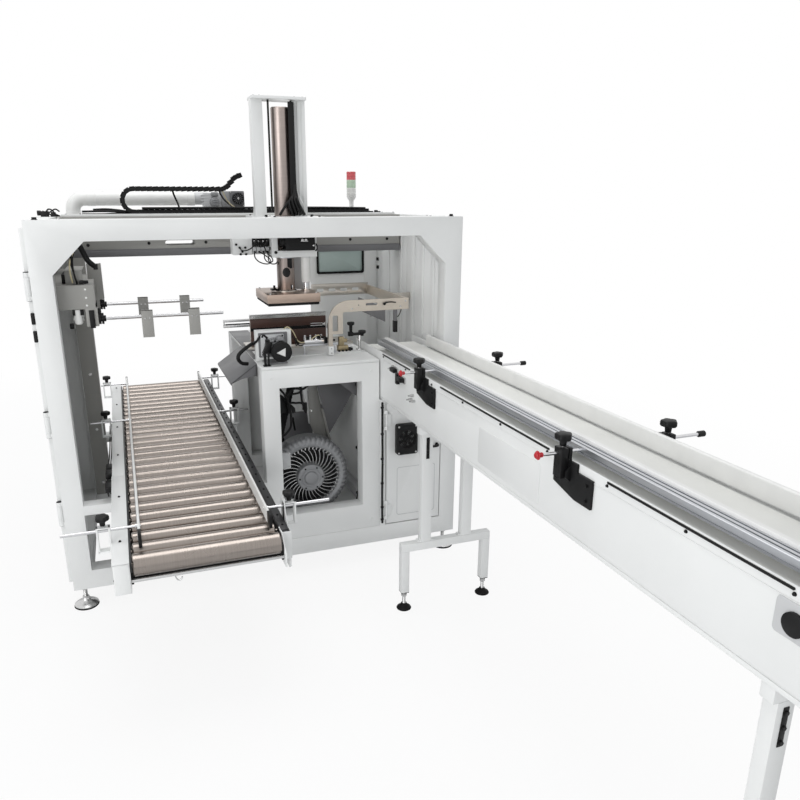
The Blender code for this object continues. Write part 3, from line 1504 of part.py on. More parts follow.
def guard_rail():
    """Arch over the belt, side rail and slotted rear rail, held by the right side's upright."""
    foot = TABLE_HEIGHT + SEAM
    top = TABLE_HEIGHT + GUARD_HEIGHT
    bar_low = top - GUARD_BAR
    leg_right = GUARD_LEFT + GUARD_LEG
    rear_left = GUARD_LEFT + REAR_GUARD_INSET
    corner = (GUARD_LEFT + GUARD_ARC, top - GUARD_ARC)
    arch = prism(
        "Y",
        [
            (GUARD_LEFT, foot),
            (leg_right, foot),
            (leg_right, bar_low - 0.02),
            (leg_right + 0.02, bar_low),
            (GUARD_RIGHT, bar_low),
            (GUARD_RIGHT, top),
            *arc(corner, GUARD_ARC, 90, 180),
        ],
        GUARD_FRONT,
        GUARD_FRONT + GUARD_THICK,
    )
    fork = box(
        (GUARD_LEFT + 0.020, GUARD_FRONT - 0.05, foot - 0.05),
        (GUARD_LEFT + 0.020 + GUARD_FORK_WIDTH, GUARD_FRONT + 0.05, TABLE_HEIGHT + GUARD_FORK_HEIGHT),
    )
    lip = 0.001
    side = box(
        (GUARD_RIGHT - GUARD_THICK, GUARD_FRONT + lip, bar_low + lip),
        (GUARD_RIGHT - lip, GUARD_BACK - lip, top - lip),
    )
    rear = box(
        (rear_left, GUARD_BACK - GUARD_THICK, bar_low + 2 * lip),
        (GUARD_RIGHT - 2 * lip, GUARD_BACK, top + 0.012),
    )
    bracket_y = SIDE_POST_BACK + TUBE / 2
    bracket = box(
        (GUARD_RIGHT - 0.004, bracket_y - GUARD_BRACKET_WIDTH / 2, bar_low + 3 * lip),
        (FRAME_WIDTH - TUBE - SEAM, bracket_y + GUARD_BRACKET_WIDTH / 2, top - 0.01),
    )
    slots = []
    pitch = 0.066
    for index in range(4):
        start = rear_left + 0.03 + index * pitch
        slots.append(
            box(
                (start, GUARD_BACK - 0.05, top - 0.030),
                (start + 0.040, GUARD_BACK + 0.05, top - 0.014),
            )
        )
    joined("guard_rail", [arch, side, rear, bracket], "stainless", cuts=[fork, *slots])
    joined(
        "lane_sensor",
        [
            box(
                (
                    GUARD_RIGHT - SENSOR_INSET,
                    GUARD_FRONT + GUARD_THICK + SEAM,
                    TABLE_HEIGHT + SENSOR_LIFT,
                ),
                (
                    GUARD_RIGHT - SENSOR_INSET + SENSOR_WIDTH,
                    GUARD_FRONT + GUARD_THICK + 0.018,
                    top - 0.01,
                ),
            )
        ],
        "stainless",
    )


def table_gearmotor():
    low = TABLE_HEIGHT + SEAM
    joined(
        "table_gearmotor",
        [
            box(
                (GEARBOX_LEFT, GEARBOX_FRONT, low),
                (
                    GEARBOX_LEFT + GEARBOX_WIDTH,
                    GEARBOX_FRONT + GEARBOX_DEPTH,
                    TABLE_HEIGHT + GEARBOX_HEIGHT,
                ),
            ),
            turned(
                "Y",
                (GEARBOX_LEFT + MOTOR_OFFSET, 0, TABLE_HEIGHT + MOTOR_LIFT),
                GEARBOX_FRONT - MOTOR_LENGTH,
                GEARBOX_FRONT + 0.01,
                MOTOR_RADIUS,
            ),
        ],
        "white paint",
    )


clear_scene()
ROOT = bpy.data.objects.new("machine_at", None)
bpy.context.scene.collection.objects.link(ROOT)
ROOT.location = MACHINE_AT

frame()
walls()
side_door()
cabinet()
blower()
front_door()
infeed_frame()
infeed_belt()
infeed_guides()
infeed_clamps()
for number, place in enumerate(STAND_PLACES, start=1):
    infeed_stand(f"infeed_stand_{number}", place)
roller_conveyor()
case_guides()
flap_unit()
gantry()
carriage()
vacuum_head()
drag_chain()
rear_top_units()
transfer_lane()
guard_rail()
table_gearmotor()
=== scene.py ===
"""Looks of the case packing machine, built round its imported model.

Sizes are metres in the machine's own coordinates: the frame's front left corner on the floor is
zero, X runs right, Y runs back and Z runs up. Every piece is shifted to the model's origin, under
the front left foot, when its mesh is done.
"""

import json
import math

import bmesh
import bpy
from mathutils import Matrix, Vector
from mathutils.geometry import tessellate_polygon


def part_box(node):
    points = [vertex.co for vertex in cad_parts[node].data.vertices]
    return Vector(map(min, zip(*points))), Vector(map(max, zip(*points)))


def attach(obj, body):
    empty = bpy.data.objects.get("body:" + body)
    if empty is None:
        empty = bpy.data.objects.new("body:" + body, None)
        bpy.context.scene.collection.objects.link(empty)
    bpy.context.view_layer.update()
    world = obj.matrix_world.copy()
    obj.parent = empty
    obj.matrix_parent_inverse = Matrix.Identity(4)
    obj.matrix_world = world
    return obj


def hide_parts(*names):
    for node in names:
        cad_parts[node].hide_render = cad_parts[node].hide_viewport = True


bl_info = {
    "name": "Case packing machine", "version": (1, 0, 0), "blender": (4, 5, 0),
    "location": "3D View > Sidebar > Machine",
    "description": "Detailed pieces and finishes of a gantry case packing machine",
    "category": "Object"
}

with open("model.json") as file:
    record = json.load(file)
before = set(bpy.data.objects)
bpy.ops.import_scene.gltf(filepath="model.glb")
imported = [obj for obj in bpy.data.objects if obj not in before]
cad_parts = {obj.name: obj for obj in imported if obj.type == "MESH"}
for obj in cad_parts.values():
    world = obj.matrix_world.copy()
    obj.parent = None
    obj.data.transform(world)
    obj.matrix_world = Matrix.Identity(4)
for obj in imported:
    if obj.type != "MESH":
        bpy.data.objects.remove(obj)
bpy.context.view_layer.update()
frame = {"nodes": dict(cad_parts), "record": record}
SHIFT = Vector((-0.04, -0.04, 0.0))
# Edges that bend more than this stay sharp, and those past the second get a bevel
SMOOTH_ANGLE = math.radians(33)
BEVEL_ANGLE = math.radians(40)
# The camera that the photograph was taken with, fitted to the frame's corners
CAMERA_PLACE = Vector((0.3229, -3.0172, 1.7107))
CAMERA_PITCH, CAMERA_ROLL, CAMERA_YAW = 17.211, 0.035, -19.661
CAMERA_LENS, CAMERA_SHIFT = 32.16, (0.0258, 0.0266)
FLOOR_REACH = 14.0
BODY_OF = {
    name: body for body, names in frame["record"]["behaviour"]["bodies"].items() for name in names
}


def linear(code):
    """A colour written as an sRGB hex code, as the linear values that a shader takes."""
    parts = [int(code[i : i + 2], 16) / 255 for i in (1, 3, 5)]
    return (*[c / 12.92 if c <= 0.04045 else ((c + 0.055) / 1.055) ** 2.4 for c in parts], 1.0)


def colour(label, words, code):
    """A colour that the user can change."""
    return bpy.props.FloatVectorProperty(
        name=label, description=words, subtype="COLOR", size=4, min=0, max=1, default=linear(code)
    )


def length(label, words, value):
    """A size that the user can change."""
    return bpy.props.FloatProperty(
        name=label, description=words, default=value, min=0.0001, unit="LENGTH", precision=4
    )


class PACKER_PG_colours(bpy.types.PropertyGroup):
    white_coat: colour("White coat", "Powder coat of the frame, doors and conveyors", "#E9EAE9")
    # Grey powder coat of the rear beam and the flap unit, and painted shade on one sheet inside the
    # cabinet
    grey_coat_and_shade: colour("Grey coat", "Powder coat of the rear beam and the flap unit", "#9C9B97")
    # Dark grey paint of real plates, and painted shade on the cabinet's inner sheets, the rear
    # beam's lower strip and the chute
    dark_paint_and_shade: colour("Dark grey paint", "Paint of the drive plates and covers", "#6C6C6E")
    steel: colour("Steel", "Stainless sheet of the lane, rails and flanges", "#C6C1BA")
    head_plate: colour("Head plate", "Ground steel of the lift head", "#B7A497")
    ram: colour("Ram", "Honed tube of the lift ram", "#A69B96")
    guard: colour("Guard", "Lacquered sheet of the guard arch", "#CFC6BA")
    # Worn zinc, set darker as painted reflection of dark surroundings
    rollers: colour("Rollers", "Worn zinc of the roller bed", "#978F89")
    chrome: colour("Chrome", "Hard chrome of the guide rods", "#D8D8DA")
    aluminium: colour("Aluminium", "Anodised profiles and cast housings", "#C4C6CA")
    casting: colour("Casting", "Painted cast aluminium of the blower and the motors", "#8E8F91")
    black: colour("Black", "Nylon knobs, chain and fittings", "#09090A")
    belt: colour("Belt", "Cover of the infeed belt", "#ECECE8")
    # Also the thin white cable in the column's loom, a painted highlight
    plastic: colour("White plastic", "Sliding strips, duct and bushes", "#EEEEEC")
    red: colour("Red", "Rubber caps and the red lens", "#B3202B")
    cream: colour("Cream", "Sheath of the signal cables", "#D9CDA8")
    brown: colour("Brown", "Laminate slide plates under the head", "#3B2219")
    window: colour("Window", "Tinted sheet of the rear window", "#B6C7C3")


class PACKER_PG_sizes(bpy.types.PropertyGroup):
    tube_rounding: length("Tube rounding", "Outer radius of the frame tube's edges", 0.005)
    fold: length("Fold radius", "Radius of folded sheet edges", 0.0016)
    screw_head: length("Screw head", "Width of the usual cap screw's head", 0.012)
    wire: length("Cable", "Diameter of the usual control cable", 0.0065)
    hose: length("Air hose", "Diameter of the usual air hose", 0.008)
    chain_pitch: length("Chain pitch", "Pitch of the drag chain's links", 0.026)
    thread_pitch: length("Thread pitch", "Pitch drawn on the threaded stems", 0.004)
    blower_ribs: bpy.props.IntProperty(
        name="Blower ribs", description="Cooling ribs round the blower's ring", default=48, min=3
    )


def colours():
    return bpy.context.scene.packer_colours


def sizes():
    return bpy.context.scene.packer_sizes


# Shapes


def across(axis, first, second, along):
    """A point from its two coordinates across an axis and the one along it."""
    point = [first, second]
    point.insert("XYZ".index(axis), along)
    return tuple(point)


def arc(centre, radius, start, end, steps=6):
    """Points on a circle between two angles in degrees."""
    angles = [math.radians(start + (end - start) * i / steps) for i in range(steps + 1)]
    return [(centre[0] + radius * math.cos(a), centre[1] + radius * math.sin(a)) for a in angles]


def rounded(low, high, radius, steps=4):
    """Outline of a rectangle with round corners."""
    (a, b), (c, d) = low, high
    points = []
    for x, y, turn in ((c, d, 0), (a, d, 90), (a, b, 180), (c, b, 270)):
        centre = (x - radius if x == c else x + radius, y - radius if y == d else y + radius)
        points += arc(centre, radius, turn, turn + 90, steps)
    return points


def circle(centre, radius, sides=24):
    """Points round a circle."""
    return arc(centre, radius, 0, 360, sides)[:-1]


def smooth_path(points, steps=6):
    """A curve without corners through the given points."""
    ends = [Vector(p) for p in points]
    ends = [ends[0] * 2 - ends[1], *ends, ends[-1] * 2 - ends[-2]]
    path = []
    for a, b, c, d in zip(ends, ends[1:], ends[2:], ends[3:]):
        for i in range(steps):
            t = i / steps
            path.append(
                0.5
                * (
                    2 * b + (c - a) * t + (2 * a - 5 * b + 4 * c - d) * t**2
                    + (3 * b - a - 3 * c + d) * t**3
                )
            )
    return [*path, ends[-2]]


class Solid:
    """A mesh being made, in the machine's coordinates; each call adds one closed shell."""

    def __init__(self):
        self.mesh = bmesh.new()

    def shell(self, points, faces):
        made = [self.mesh.verts.new(p) for p in points]
        new = [self.mesh.faces.new([made[i] for i in face]) for face in faces]
        bmesh.ops.recalc_face_normals(self.mesh, faces=new)
        return self

    def box(self, low, high):
        (a, b, c), (d, e, f) = low, high
        points = [(x, y, z) for x in (a, d) for y in (b, e) for z in (c, f)]
        faces = [(0, 1, 3, 2), (4, 6, 7, 5), (0, 4, 5, 1), (2, 3, 7, 6), (0, 2, 6, 4), (1, 5, 7, 3)]
        return self.shell(points, faces)

    def boxes(self, *pairs):
        for low, high in pairs:
            self.box(low, high)
        return self

    def sheet(self, axis, outline, start, end, holes=()):
        """An outline with holes, extruded: its points are (Y, Z), (X, Z) or (X, Y)."""
        loops = [list(outline), *[list(hole) for hole in holes]]
        flat = [(x, y) for loop in loops for x, y in loop]
        count = len(flat)
        points = [across(axis, x, y, start) for x, y in flat]
        points += [across(axis, x, y, end) for x, y in flat]
        faces = []
        if len(loops) == 1:
            faces += [tuple(range(count)), tuple(range(count, 2 * count))[::-1]]
        else:
            for a, b, c in tessellate_polygon([[(x, y, 0) for x, y in loop] for loop in loops]):
                faces += [(a, b, c), (c + count, b + count, a + count)]
        first = 0
        for loop in loops:
            size = len(loop)
            for i in range(size):
                a, b = first + i, first + (i + 1) % size
                faces.append((a, b, b + count, a + count))
            first += size
        return self.shell(points, faces)

    def lathe(self, centre, axis, profile, sides=32, lobes=(0, 0.0)):
        """A turned body: its profile is (place along the axis, radius) from end to end."""
        points, rings = [], []
        spot = list(centre)
        index = "XYZ".index(axis)
        others = [i for i in range(3) if i != index]
        for along, radius in profile:
            spot[index] = along
            if radius < 1e-6:
                rings.append([len(points)])
                points.append(tuple(spot))
                continue
            rings.append(list(range(len(points), len(points) + sides)))
            for step in range(sides):
                angle = 2 * math.pi * step / sides
                point = list(spot)
                wide = radius * (1 + lobes[1] * math.cos(lobes[0] * angle))
                point[others[0]] += wide * math.cos(angle)
                point[others[1]] += wide * math.sin(angle)
                points.append(tuple(point))
        faces = []
        for one, two in zip(rings, rings[1:]):
            for i in range(sides):
                j = (i + 1) % sides
                corners = [
                    one[i % len(one)], one[j % len(one)], two[j % len(two)], two[i % len(two)]
                ]
                faces.append(tuple(dict.fromkeys(corners)))
        for ring in (rings[0], rings[-1]):
            if len(ring) > 1:
                faces.append(tuple(ring))
        return self.shell(points, faces)

    def disc(self, centre, axis, start, end, radius, rounding=0.001, sides=32):
        """A round bar with its end edges broken."""
        r = min(rounding, (end - start) / 3, radius / 2)
        profile = [(start, radius - r), (start + r, radius), (end - r, radius), (end, radius - r)]
        return self.lathe(centre, axis, profile, sides)

    def tube(self, points, radius, sides=12):
        """A round bar along a path."""
        path = [Vector(p) for p in points]
        side = None
        verts, rings = [], []
        for i, place in enumerate(path):
            along = (path[min(i + 1, len(path) - 1)] - path[max(i - 1, 0)]).normalized()
            if side is None:
                side = along.orthogonal().normalized()
            side = (side - along * side.dot(along)).normalized()
            other = along.cross(side)
            rings.append(range(len(verts), len(verts) + sides))
            wide = radius[i] if hasattr(radius, "__len__") else radius
            for step in range(sides):
                angle = 2 * math.pi * step / sides
                verts.append(place + (side * math.cos(angle) + other * math.sin(angle)) * wide)
        faces = [tuple(rings[0]), tuple(rings[-1])]
        for one, two in zip(rings, rings[1:]):
            for i in range(sides):
                j = (i + 1) % sides
                faces.append((one[i], one[j], two[j], two[i]))
        return self.shell(verts, faces)

    def node(self, *names):
        """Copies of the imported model's solids, with their flat faces made whole."""
        for name in names:
            part = bmesh.new()
            part.from_mesh(frame["nodes"][name].data)
            bmesh.ops.remove_doubles(part, verts=part.verts, dist=1e-6)
            bmesh.ops.dissolve_limit(
                part, angle_limit=math.radians(1.0), verts=part.verts, edges=part.edges
            )
            bmesh.ops.translate(part, verts=part.verts, vec=-SHIFT)
            copy = bpy.data.meshes.new(name + " copy")
            part.to_mesh(copy)
            part.free()
            self.mesh.from_mesh(copy)
            bpy.data.meshes.remove(copy)
        return self


def settle(obj, body, look, nodes=()):
    """A finished mesh: smooth where it bends gently, in its finish, riding on its body."""
    mesh = obj.data
    mesh.shade_smooth()
    mesh.set_sharp_from_angle(angle=SMOOTH_ANGLE)
    made, slot = FINISHES[look]
    mesh.materials.clear()
    mesh.materials.append(made)
    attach(obj, BODY_OF[nodes[0]] if nodes else body)
    if nodes:
        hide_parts(*nodes)
    return obj


def plain(obj):
    """The object's mesh with its modifiers worked in and taken off."""
    bpy.context.view_layer.update()
    mesh = bpy.data.meshes.new_from_object(obj.evaluated_get(bpy.context.evaluated_depsgraph_get()))
    obj.modifiers.clear()
    if obj.type == "MESH":
        obj.data = mesh
        return obj
    made = bpy.data.objects.new(obj.name + "_", mesh)
    name = obj.name
    bpy.data.objects.remove(obj)
    made.name = name
    bpy.context.scene.collection.objects.link(made)
    return made


def bare(name, solid):
    """The solid as an object at the model's origin."""
    mesh = bpy.data.meshes.new(name)
    solid.mesh.to_mesh(mesh)
    solid.mesh.free()
    mesh.transform(Matrix.Translation(SHIFT))
    obj = bpy.data.objects.new(name, mesh)
    bpy.context.scene.collection.objects.link(obj)
    return obj


def piece(name, solid, look, *nodes, body="machine", edge=0.0, segments=2):
    """A detailed piece from a solid, its edges rounded, standing for the named nodes."""
    obj = bare(name, solid)
    if edge:
        bevel = obj.modifiers.new("edges", "BEVEL")
        bevel.width = edge
        bevel.segments = segments
        bevel.limit_method = "ANGLE"
        bevel.angle_limit = BEVEL_ANGLE
        bevel.use_clamp_overlap = True
        plain(obj)
    return settle(obj, body, look, nodes)


# Nodes


def add(tree, kind, inputs=None, **settings):
    """A node with its settings, its input values, and links from the sockets given as values."""
    node = tree.nodes.new(kind)
    for name, value in settings.items():
        setattr(node, name, value)
    for name, value in (inputs or {}).items():
        if isinstance(value, bpy.types.NodeSocket):
            tree.links.new(value, node.inputs[name])
        else:
            node.inputs[name].default_value = value
    return node


def new_tree(name, wanted):
    """A geometry tree with named inputs; gives the tree and its input node's sockets."""
    tree = bpy.data.node_groups.new(name, "GeometryNodeTree")
    for way in ("INPUT", "OUTPUT"):
        tree.interface.new_socket("Geometry", in_out=way, socket_type="NodeSocketGeometry")
    for label, kind in wanted:
        tree.interface.new_socket(label, in_out="INPUT", socket_type="NodeSocket" + kind)
    tree.interface.new_socket("Finish", in_out="INPUT", socket_type="NodeSocketMaterial")
    return tree, add(tree, "NodeGroupInput").outputs


def close_tree(tree, geometry, given):
    """Ends a tree in plain geometry that carries its finish."""
    real = add(tree, "GeometryNodeRealizeInstances", {"Geometry": geometry}).outputs[0]
    done = add(tree, "GeometryNodeSetMaterial", {"Geometry": real, "Material": given["Finish"]})
    add(tree, "NodeGroupOutput", {"Geometry": done.outputs[0]})
    return tree


def screws_tree():
    """Cap screws on the points of the mesh: a head with a bevelled top, on a washer."""
    tree, given = new_tree(
        "screws", [("Across", "Float"), ("Height", "Float"), ("Sides", "Int"), ("Turn", "Vector")]
    )
    half = add(
        tree, "ShaderNodeMath", {0: given["Across"], 1: 0.5}, operation="MULTIPLY"
    ).outputs[0]
    parts = []
    for sides, wide, low, high, tip in (
        (given["Sides"], 1.0, 0.2, 0.9, 1.0), (given["Sides"], 1.0, 0.9, 1.0, 0.9),
        (20, 1.35, -0.05, 0.2, 1.3)
    ):
        bottom = add(tree, "ShaderNodeMath", {0: half, 1: wide}, operation="MULTIPLY").outputs[0]
        upper = add(tree, "ShaderNodeMath", {0: half, 1: tip}, operation="MULTIPLY").outputs[0]
        tall = add(
            tree, "ShaderNodeMath", {0: given["Height"], 1: high - low}, operation="MULTIPLY"
        ).outputs[0]
        rise = add(
            tree, "ShaderNodeMath", {0: given["Height"], 1: low}, operation="MULTIPLY"
        ).outputs[0]
        cone = add(
            tree, "GeometryNodeMeshCone",
            {"Vertices": sides, "Radius Top": upper, "Radius Bottom": bottom, "Depth": tall}
        ).outputs[0]
        lift = add(tree, "ShaderNodeCombineXYZ", {"Z": rise}).outputs[0]
        parts.append(
            add(tree, "GeometryNodeTransform", {"Geometry": cone, "Translation": lift}).outputs[0]
        )
    join = add(tree, "GeometryNodeJoinGeometry")
    for part in parts:
        tree.links.new(part, join.inputs[0])
    spread = add(
        tree, "GeometryNodeInstanceOnPoints",
        {"Points": given["Geometry"], "Instance": join.outputs[0], "Rotation": given["Turn"]}
    ).outputs[0]
    return close_tree(tree, spread, given)


def row_tree():
    """The item repeated in a straight row."""
    tree, given = new_tree("row", [("Count", "Int"), ("Step", "Vector")])
    line = add(
        tree, "GeometryNodeMeshLine", {"Count": given["Count"], "Offset": given["Step"]}
    ).outputs[0]
    spread = add(
        tree, "GeometryNodeInstanceOnPoints", {"Points": line, "Instance": given["Geometry"]}
    ).outputs[0]
    return close_tree(tree, spread, given)


def ring_tree():
    """The item repeated round an axis through a centre."""
    tree, given = new_tree("ring", [("Count", "Int"), ("Centre", "Vector"), ("Axis", "Vector")])
    back = add(
        tree, "ShaderNodeVectorMath", {0: given["Centre"], "Scale": -1.0}, operation="SCALE"
    ).outputs[0]
    item = add(
        tree, "GeometryNodeTransform", {"Geometry": given["Geometry"], "Translation": back}
    ).outputs[0]
    line = add(
        tree, "GeometryNodeMeshLine",
        {"Count": given["Count"], "Start Location": given["Centre"], "Offset": (0, 0, 0)}
    ).outputs[0]
    share = add(
        tree, "ShaderNodeMath", {0: 2 * math.pi, 1: given["Count"]}, operation="DIVIDE"
    ).outputs[0]
    index = add(tree, "GeometryNodeInputIndex").outputs[0]
    angle = add(tree, "ShaderNodeMath", {0: index, 1: share}, operation="MULTIPLY").outputs[0]
    turn = add(
        tree, "ShaderNodeVectorMath", {0: given["Axis"], "Scale": angle}, operation="SCALE"
    ).outputs[0]
    spread = add(
        tree, "GeometryNodeInstanceOnPoints", {"Points": line, "Instance": item, "Rotation": turn}
    ).outputs[0]
    return close_tree(tree, spread, given)


def cable_tree():
    """A round cable along each line of the curve, with closed ends."""
    tree, given = new_tree("cable", [("Radius", "Float"), ("Sides", "Int")])
    ring = add(
        tree, "GeometryNodeCurvePrimitiveCircle",
        {"Resolution": given["Sides"], "Radius": given["Radius"]}
    ).outputs[0]
    skin = add(
        tree, "GeometryNodeCurveToMesh",
        {"Curve": given["Geometry"], "Profile Curve": ring, "Fill Caps": True}
    ).outputs[0]
    return close_tree(tree, skin, given)


def links_tree():
    """Chain links along a curve: two side plates with a cross bar above and below."""
    tree, given = new_tree(
        "links", [("Pitch", "Float"), ("Width", "Float"), ("Thick", "Float"), ("Wall", "Float")]
    )

    def times(value, factor):
        node = add(tree, "ShaderNodeMath", {0: value, 1: factor}, operation="MULTIPLY")
        return node.outputs[0]

    parts = []
    offset = times(given["Width"], 0.5)
    inner = add(
        tree, "ShaderNodeMath", {0: offset, 1: times(given["Wall"], -0.5)}, operation="ADD"
    ).outputs[0]
    rise = add(
        tree, "ShaderNodeMath", {0: times(given["Thick"], 0.5), 1: times(given["Wall"], -0.5)},
        operation="ADD"
    ).outputs[0]
    for side in (-1, 1):
        plate = add(
            tree, "ShaderNodeCombineXYZ",
            {"X": given["Wall"], "Y": given["Thick"], "Z": times(given["Pitch"], 0.94)}
        ).outputs[0]
        bar = add(
            tree, "ShaderNodeCombineXYZ",
            {"X": given["Width"], "Y": given["Wall"], "Z": times(given["Pitch"], 0.62)}
        ).outputs[0]
        for size, spot in ((plate, {"X": times(inner, side)}), (bar, {"Y": times(rise, side)})):
            block = add(tree, "GeometryNodeMeshCube", {"Size": size}).outputs[0]
            place = add(tree, "ShaderNodeCombineXYZ", spot).outputs[0]
            parts.append(
                add(
                    tree, "GeometryNodeTransform", {"Geometry": block, "Translation": place}
                ).outputs[0]
            )
    join = add(tree, "GeometryNodeJoinGeometry")
    for part in parts:
        tree.links.new(part, join.inputs[0])
    dots = add(
        tree, "GeometryNodeCurveToPoints", {"Curve": given["Geometry"], "Length": given["Pitch"]},
        mode="LENGTH"
    ).outputs
    spread = add(
        tree, "GeometryNodeInstanceOnPoints",
        {"Points": dots["Points"], "Instance": join.outputs[0], "Rotation": dots["Rotation"]}
    ).outputs[0]
    return close_tree(tree, spread, given)


MAKERS = {
    "screws": screws_tree, "row": row_tree, "ring": ring_tree, "cable": cable_tree,
    "links": links_tree
}
TREES = {}


def grow(obj, kind, look, values):
    """Runs a tree on an object, with its inputs set by name, and gives the plain mesh."""
    if kind not in TREES:
        TREES[kind] = MAKERS[kind]()
    tree = TREES[kind]
    work = obj.modifiers.new(kind, "NODES")
    work.node_group = tree
    values = {**values, "Finish": FINISHES[look][0]}
    for socket in tree.interface.items_tree:
        if socket.in_out == "INPUT" and socket.name in values:
            work[socket.identifier] = values[socket.name]
    return plain(obj)


TURNS = {
    "+Z": (0, 0, 0), "-Z": (math.pi, 0, 0), "+X": (0, math.pi / 2, 0), "-X": (0, -math.pi / 2, 0),
    "-Y": (math.pi / 2, 0, 0), "+Y": (-math.pi / 2, 0, 0)
}


def screws(name, places, way, look, body="machine", size=1.0, sides=6):
    """Screws with their heads facing one way, their seats at the given places."""
    mesh = bpy.data.meshes.new(name)
    mesh.from_pydata([Vector(p) + SHIFT for p in places], [], [])
    obj = bpy.data.objects.new(name, mesh)
    bpy.context.scene.collection.objects.link(obj)
    head = sizes().screw_head * size
    values = {"Across": head, "Height": head * 0.55, "Sides": sides, "Turn": TURNS[way]}
    return settle(grow(obj, "screws", look, values), body, look)


def row(name, item, count, step, look, *nodes, body="machine"):
    """An item repeated in a row."""
    obj = grow(bare(name, item), "row", look, {"Count": count, "Step": step})
    return settle(obj, body, look, nodes)


def ring(name, item, count, centre, axis, look, *nodes, body="machine"):
    """An item repeated round an axis."""
    turn = [1.0 if letter == axis else 0.0 for letter in "XYZ"]
    values = {"Count": count, "Centre": Vector(centre) + SHIFT, "Axis": turn}
    obj = grow(bare(name, item), "ring", look, values)
    return settle(obj, body, look, nodes)


def lines(name, paths):
    """A curve object of one open line for each path."""
    data = bpy.data.curves.new(name, "CURVE")
    data.dimensions = "3D"
    for path in paths:
        line = data.splines.new("POLY")
        line.points.add(len(path) - 1)
        for point, place in zip(line.points, path):
            point.co = (*(Vector(place) + SHIFT), 1.0)
    obj = bpy.data.objects.new(name, data)
    bpy.context.scene.collection.objects.link(obj)
    return obj


def cables(name, paths, diameter, look, *nodes, body="machine", sides=10):
    """Held cables or hoses, each smooth through its points."""
    obj = lines(name, [smooth_path(path) for path in paths])
    values = {"Radius": diameter / 2, "Sides": sides}
    made = grow(obj, "cable", look, values)
    return settle(made, body, look, nodes)


# Finishes


def surface(name, roughness, metallic=0.0, **sockets):
    """An empty finish: its material, tree, shader and the object's own coordinates."""
    made = bpy.data.materials.new(name)
    made.use_nodes = True
    tree = made.node_tree
    shader = tree.nodes["Principled BSDF"]
    shader.inputs["Roughness"].default_value = roughness
    shader.inputs["Metallic"].default_value = metallic
    for socket, value in sockets.items():
        shader.inputs[socket].default_value = value
    place = add(tree, "ShaderNodeTexCoord").outputs["Object"]
    return made, tree, shader, place


def noise(tree, place, scale, detail=2.0, stretch=None):
    """A cloudy pattern, stretched along the way that the surface was worked."""
    if stretch:
        place = add(tree, "ShaderNodeMapping", {"Vector": place, "Scale": stretch}).outputs[0]
    node = add(tree, "ShaderNodeTexNoise", {"Vector": place, "Scale": scale, "Detail": detail})
    return node.outputs["Fac"]


def varied(tree, shader, socket, factor, low, high, start=0.35, end=0.65):
    """A socket that runs between two values or colours as the pattern does."""
    node = add(tree, "ShaderNodeValToRGB", {"Fac": factor})
    for element, place, value in zip(node.color_ramp.elements, (start, end), (low, high)):
        element.position = place
        element.color = value if hasattr(value, "__len__") else (value, value, value, 1)
    tree.links.new(node.outputs["Color"], shader.inputs[socket])


def relief(tree, shader, height, distance, strength=1.0):
    """Bump from a pattern, its depth in metres."""
    bump = add(
        tree, "ShaderNodeBump", {"Height": height, "Distance": distance, "Strength": strength}
    )
    tree.links.new(bump.outputs["Normal"], shader.inputs["Normal"])


def shade(tint, factor):
    """A colour made darker or lighter."""
    return (*[min(1.0, c * factor) for c in tint[:3]], 1.0)


def powder_coat(name, tint, roughness):
    """Polyester powder coat, baked on: faint orange peel, duller in patches where it is handled."""
    made, tree, shader, place = surface(name, roughness)
    broad = noise(tree, place, 2.2, 4.0)
    varied(tree, shader, "Base Color", broad, shade(tint, 0.965), shade(tint, 1.02))
    handled = noise(tree, place, 9.0, 5.0)
    varied(tree, shader, "Roughness", handled, roughness - 0.05, roughness + 0.08)
    # The peel is about 2 mm in reality and is drawn at 5 mm to show
    relief(tree, shader, noise(tree, place, 200.0, 1.0), 0.0001, 0.25)
    return made


def worked_steel(name, tint, roughness, grain, depth=0.00003, spread=0.07):
    """Rolled, ground or turned metal left bare: fine lines along the way it was worked."""
    made, tree, shader, place = surface(name, roughness, 1.0)
    marks = noise(tree, place, 1.0, 3.0, grain)
    varied(tree, shader, "Base Color", marks, shade(tint, 1 - spread), shade(tint, 1 + spread / 2))
    broad = noise(tree, place, 6.0, 3.0)
    varied(tree, shader, "Roughness", broad, roughness - 0.04, roughness + 0.06)
    relief(tree, shader, marks, depth, 0.3)
    return made


def moulded(name, tint, roughness, grain, depth, wear=1.25, metallic=0.0, specular=0.5):
    """Moulded or cast: the grain of its mould, and patches rubbed a little paler."""
    made, tree, shader, place = surface(name, roughness, metallic)
    shader.inputs["Specular IOR Level"].default_value = specular
    patches = noise(tree, place, 14.0, 3.0)
    varied(tree, shader, "Base Color", patches, shade(tint, 1.0), shade(tint, wear), 0.4, 0.75)
    varied(tree, shader, "Roughness", patches, roughness - 0.04, roughness + 0.07)
    relief(tree, shader, noise(tree, place, grain, 2.0), depth, 0.5)
    return made


def woven_belt(name, tint, roughness, thread):
    """PVC coated polyester belt: a matt cover with the cloth's weave faintly pressed through."""
    made, tree, shader, place = surface(name, roughness)
    patches = noise(tree, place, 5.0, 4.0)
    varied(tree, shader, "Base Color", patches, shade(tint, 0.94), shade(tint, 1.01))
    heights = []
    for direction in ("X", "Y"):
        wave = add(
            tree, "ShaderNodeTexWave", {"Vector": place, "Scale": 0.32 / thread, "Distortion": 0.4},
            bands_direction=direction
        )
        heights.append(wave.outputs["Fac"])
    cloth = add(tree, "ShaderNodeMath", {0: heights[0], 1: heights[1]}, operation="ADD").outputs[0]
    relief(tree, shader, cloth, 0.00015, 0.35)
    return made


